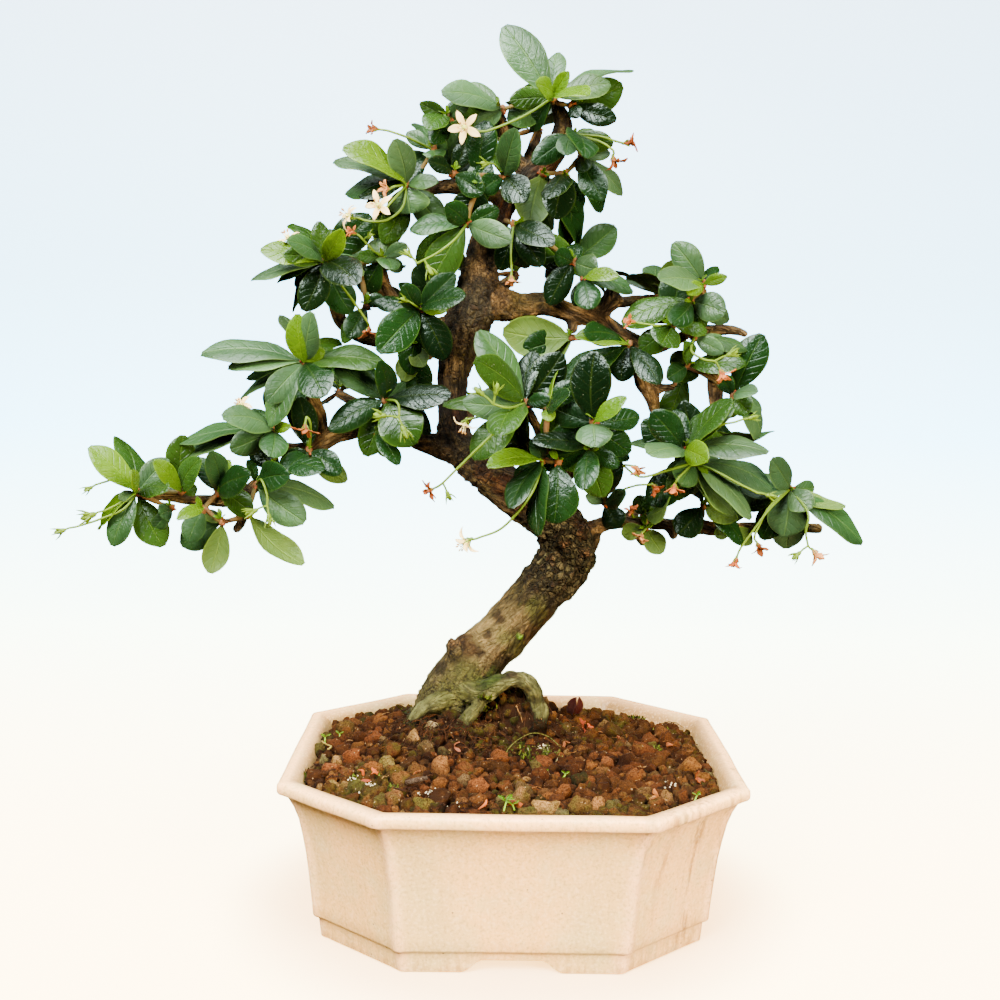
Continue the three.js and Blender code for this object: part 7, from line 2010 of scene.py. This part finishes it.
def lay_dots_and_stems(mat, rng):
    """White dots, a dark twig and a thin green stem that lies over the moss."""
    for x, y in WHITE_DOTS:
        for _ in range(9):
            at = np.array([x + rng.normal() * 1.6, y + rng.normal() * 1.6, 0])
            at[2] = soil_surface(at[0], at[1]) + rng.uniform(1.6, 3)
            dot = ball(at, (rng.uniform(0.18, 0.42),) * 2, 4, 5, rng.normal(size=3))
            mat.add(*dot, srgb("d2ccb0") * rng.uniform(0.8, 1.2), 0.9)
    twig = [(-41, -46, 66.5), (-37, -45, 67.2), (-33, -43.5, 67.6)]
    mat.add(*tube(twig, [0.9, 1.1, 0.8], 6), srgb("3b332b"), 0.8)
    stem, _ = smooth_path([(-3.5, -17, 65), (-2, -12, 68.5), (3, -5, 71), (9, 1, 71.5), (15, 1, 70),
                           (20, -3, 67)], 1.2)
    mat.add(*tube(stem, np.full(len(stem), 0.17), 6), srgb("4f5628"), 0.5)


def fallen_leaf(bunch):
    """A fallen dark red leaf, folded and standing on edge."""
    out = unit(np.array([0.25, 0.1, 0.95]))
    for turn, side in ((-0.95, -1.1), (0.95, 1.1)):
        face = turned(unit(np.cross(out, [1, 0, 0]) * -1), out, turn)
        add_petal(bunch, np.array([28.5 + side, 48, 65.5]), face, out, 8.5, 6.5,
                  (srgb("1c0807"), srgb("2c0e0c")), 0.1, 0.2, 0.3, True)


def make_litter():
    rng = np.random.default_rng(901)
    mat, scraps, sprouts = Bunch(), Bunch(), Bunch()
    lay_threads(mat, rng)
    for at, spread, count, tones in MOSS:
        moss_tuft(mat, rng, at, spread, count, tones)
    lay_dots_and_stems(mat, rng)
    mat.make("litter_threads", soil_look, "soil", (), 0)
    for x, y, size, code in SCRAPS:
        scrap(scraps, rng, x, y, size, code)
    fallen_leaf(scraps)
    scraps.make("litter_scraps", wilted_look, "wilted_petal", (), 0)
    for x, y, size in SEEDLINGS:
        seedling(sprouts, rng, x, y, size)
    sprouts.make("seedlings", leaf_look, "leaf", (), 60)


make_litter()


# Floor, backdrop, light and camera

# Colours of the backdrop: how far along it, colour
BACKDROP_TONES = [(-0.4, (0.86, 0.52, 0.14)), (0.0, (0.79, 0.57, 0.26)), (0.5, (0.58, 0.76, 0.6)),
                  (1.05, (0.09, 0.48, 0.74)), (1.35, (0.07, 0.33, 0.52)), (1.9, (0.09, 0.19, 0.31))]


def backdrop_look():
    """Bright by itself: warm in front, white behind, pale blue on high, with a painted shadow darker close
    round the pot.
    """
    look = Look("backdrop")
    where = look.node("SeparateXYZ", {"Vector": look.node("TexCoord").outputs["Object"]}).outputs
    run = look.plus(where["Y"], look.times(where["Z"], 1.5))
    ramp = look.node("ValToRGB", {"Fac": look.node("MapRange", {
        "Value": run, "From Min": -0.4, "From Max": 2.1}).outputs["Result"]})
    stops = ramp.color_ramp.elements
    for at, colour in BACKDROP_TONES[1:-1]:
        stops.new((at + 0.4) / 2.5).color = (*colour, 1)
    stops[0].color = (*BACKDROP_TONES[0][1], 1)
    stops[-1].color = (*BACKDROP_TONES[-1][1], 1)
    x_away = look.math("DIVIDE", look.math("SUBTRACT", where["X"], POT_X / 1000), 0.098)
    y_away = look.math("DIVIDE", where["Y"], 0.088)
    away = look.plus(look.math("POWER", x_away, 2), look.math("POWER", y_away, 2))
    # Painted shadow: the glow darkens and warms close round the pot
    shade = look.layer(ramp.outputs["Color"], away, 1.75, 0.7, 1, (0.42, 0.22, 0.06))
    return look.finish((0.5, 0.47, 0.42), 0.8, Emission_Color=shade, Emission_Strength=STAGE_GLOW,
                       Specular_IOR_Level=0.0)


def make_stage():
    """A floor that curves up into a backdrop. It shows bright, but the lamps and the room light the plant."""
    half_width, bend_at, bend, top = 2.2, 0.55, 0.35, 1.7
    profile = [(y, 0.0) for y in (-0.9, -0.3, 0.0, 0.3, bend_at)]
    for k in range(1, 13):
        a = k / 12 * math.pi / 2
        profile.append((bend_at + bend * math.sin(a), bend - bend * math.cos(a)))
    profile.append((bend_at + bend, top))
    points = [(x, y, z) for y, z in profile for x in (-half_width, half_width)]
    faces = [(2 * i, 2 * i + 1, 2 * i + 3, 2 * i + 2) for i in range(len(profile) - 1)]
    mesh = bpy.data.meshes.new("backdrop")
    mesh.from_pydata(points, [], faces)
    mesh.shade_smooth()
    mesh.materials.append(backdrop_look())
    stage = bpy.data.objects.new("backdrop", mesh)
    bpy.context.scene.collection.objects.link(stage)
    stage.visible_diffuse = False
    stage.visible_glossy = False


# Lamps: name, place, aim, size, power, colour, mirrored
LAMPS = [
    ("key", (-0.6, -0.9, 0.95), (0.02, 0, 0.14), (0.55, 0.5), 74, (1.0, 0.78, 0.55), False),
    ("fill", (0.85, -0.9, 0.45), (0.02, 0, 0.1), (0.5, 0.5), 88, (1.0, 0.79, 0.57), False),
    ("top", (-0.2, -0.3, 1.2), (0.02, 0, 0.2), (1.0, 0.8), 38, (0.92, 0.96, 0.92), True),
    ("sheen", (-0.4, -0.9, 1.1), (0.0, 0, 0.22), (0.8, 0.6), 50, (0.94, 0.96, 0.9), True),
    ("back", (0.25, 0.45, 0.85), (0.02, 0, 0.16), (0.7, 0.4), 22, (1.0, 0.93, 0.82), False)]


def add_light(name, at, aim, size, power, colour, mirrored):
    """A lamp that the camera doesn't see, and glossy leaves only if it is mirrored."""
    data = bpy.data.lights.new(name, "AREA")
    data.shape = "RECTANGLE"
    data.size, data.size_y = size
    data.energy = power
    data.color = colour
    lamp = bpy.data.objects.new(name, data)
    lamp.location = at
    lamp.visible_camera = False
    lamp.visible_glossy = mirrored
    lamp.rotation_euler = (Vector(aim) - Vector(at)).to_track_quat("-Z", "Y").to_euler()
    bpy.context.scene.collection.objects.link(lamp)


def add_camera():
    """The viewpoint of the photograph, as fitted to the pot's rim, corners and base."""
    elevation, azimuth, roll = math.radians(6.87), math.radians(-0.41), math.radians(0.9)
    aim, distance = Vector((POT_X - 6.7, 0, 169.2)) / 1000, 0.4913
    back = Vector((math.sin(azimuth) * math.cos(elevation), -math.cos(azimuth) * math.cos(elevation),
                   math.sin(elevation)))
    right = (-back).cross(Vector((0, 0, 1))).normalized()
    up = right.cross(-back)
    across = right * math.cos(roll) + up * math.sin(roll)
    upward = up * math.cos(roll) - right * math.sin(roll)
    data = bpy.data.cameras.new("camera")
    data.sensor_width = 36
    data.lens = 1.2094 * data.sensor_width
    data.clip_start = 0.02
    camera = bpy.data.objects.new("camera", data)
    turn = Matrix((across, upward, back)).transposed().to_4x4()
    camera.matrix_world = Matrix.Translation(aim + back * distance) @ turn
    bpy.context.scene.collection.objects.link(camera)
    bpy.context.scene.camera = camera


def make_room():
    """Soft light from all round: bright and cool from above, warm from below, dimmer between."""
    world = bpy.data.worlds.new("room")
    world.use_nodes = True
    tree = world.node_tree
    coords, parts, spread, ramp = (tree.nodes.new("ShaderNode" + kind) for kind in (
        "TexCoord", "SeparateXYZ", "MapRange", "ValToRGB"))
    spread.inputs["From Min"].default_value = -1
    tree.links.new(coords.outputs["Generated"], parts.inputs["Vector"])
    tree.links.new(parts.outputs["Z"], spread.inputs["Value"])
    tree.links.new(spread.outputs["Result"], ramp.inputs["Fac"])
    tree.links.new(ramp.outputs["Color"], tree.nodes["Background"].inputs["Color"])
    low, high = ramp.color_ramp.elements
    low.color, high.color = (0.75, 0.55, 0.34, 1), (0.86, 0.95, 1.0, 1)
    for at, colour in ((0.36, (0.24, 0.2, 0.15)), (0.56, (0.17, 0.18, 0.19)), (0.72, (0.4, 0.44, 0.48))):
        ramp.color_ramp.elements.new(at).color = (*colour, 1)
    tree.nodes["Background"].inputs["Strength"].default_value = ROOM_GLOW
    bpy.context.scene.world = world
    world.cycles_visibility.glossy = False


make_stage()
make_room()
for lamp in LAMPS:
    add_light(*lamp)
add_camera()
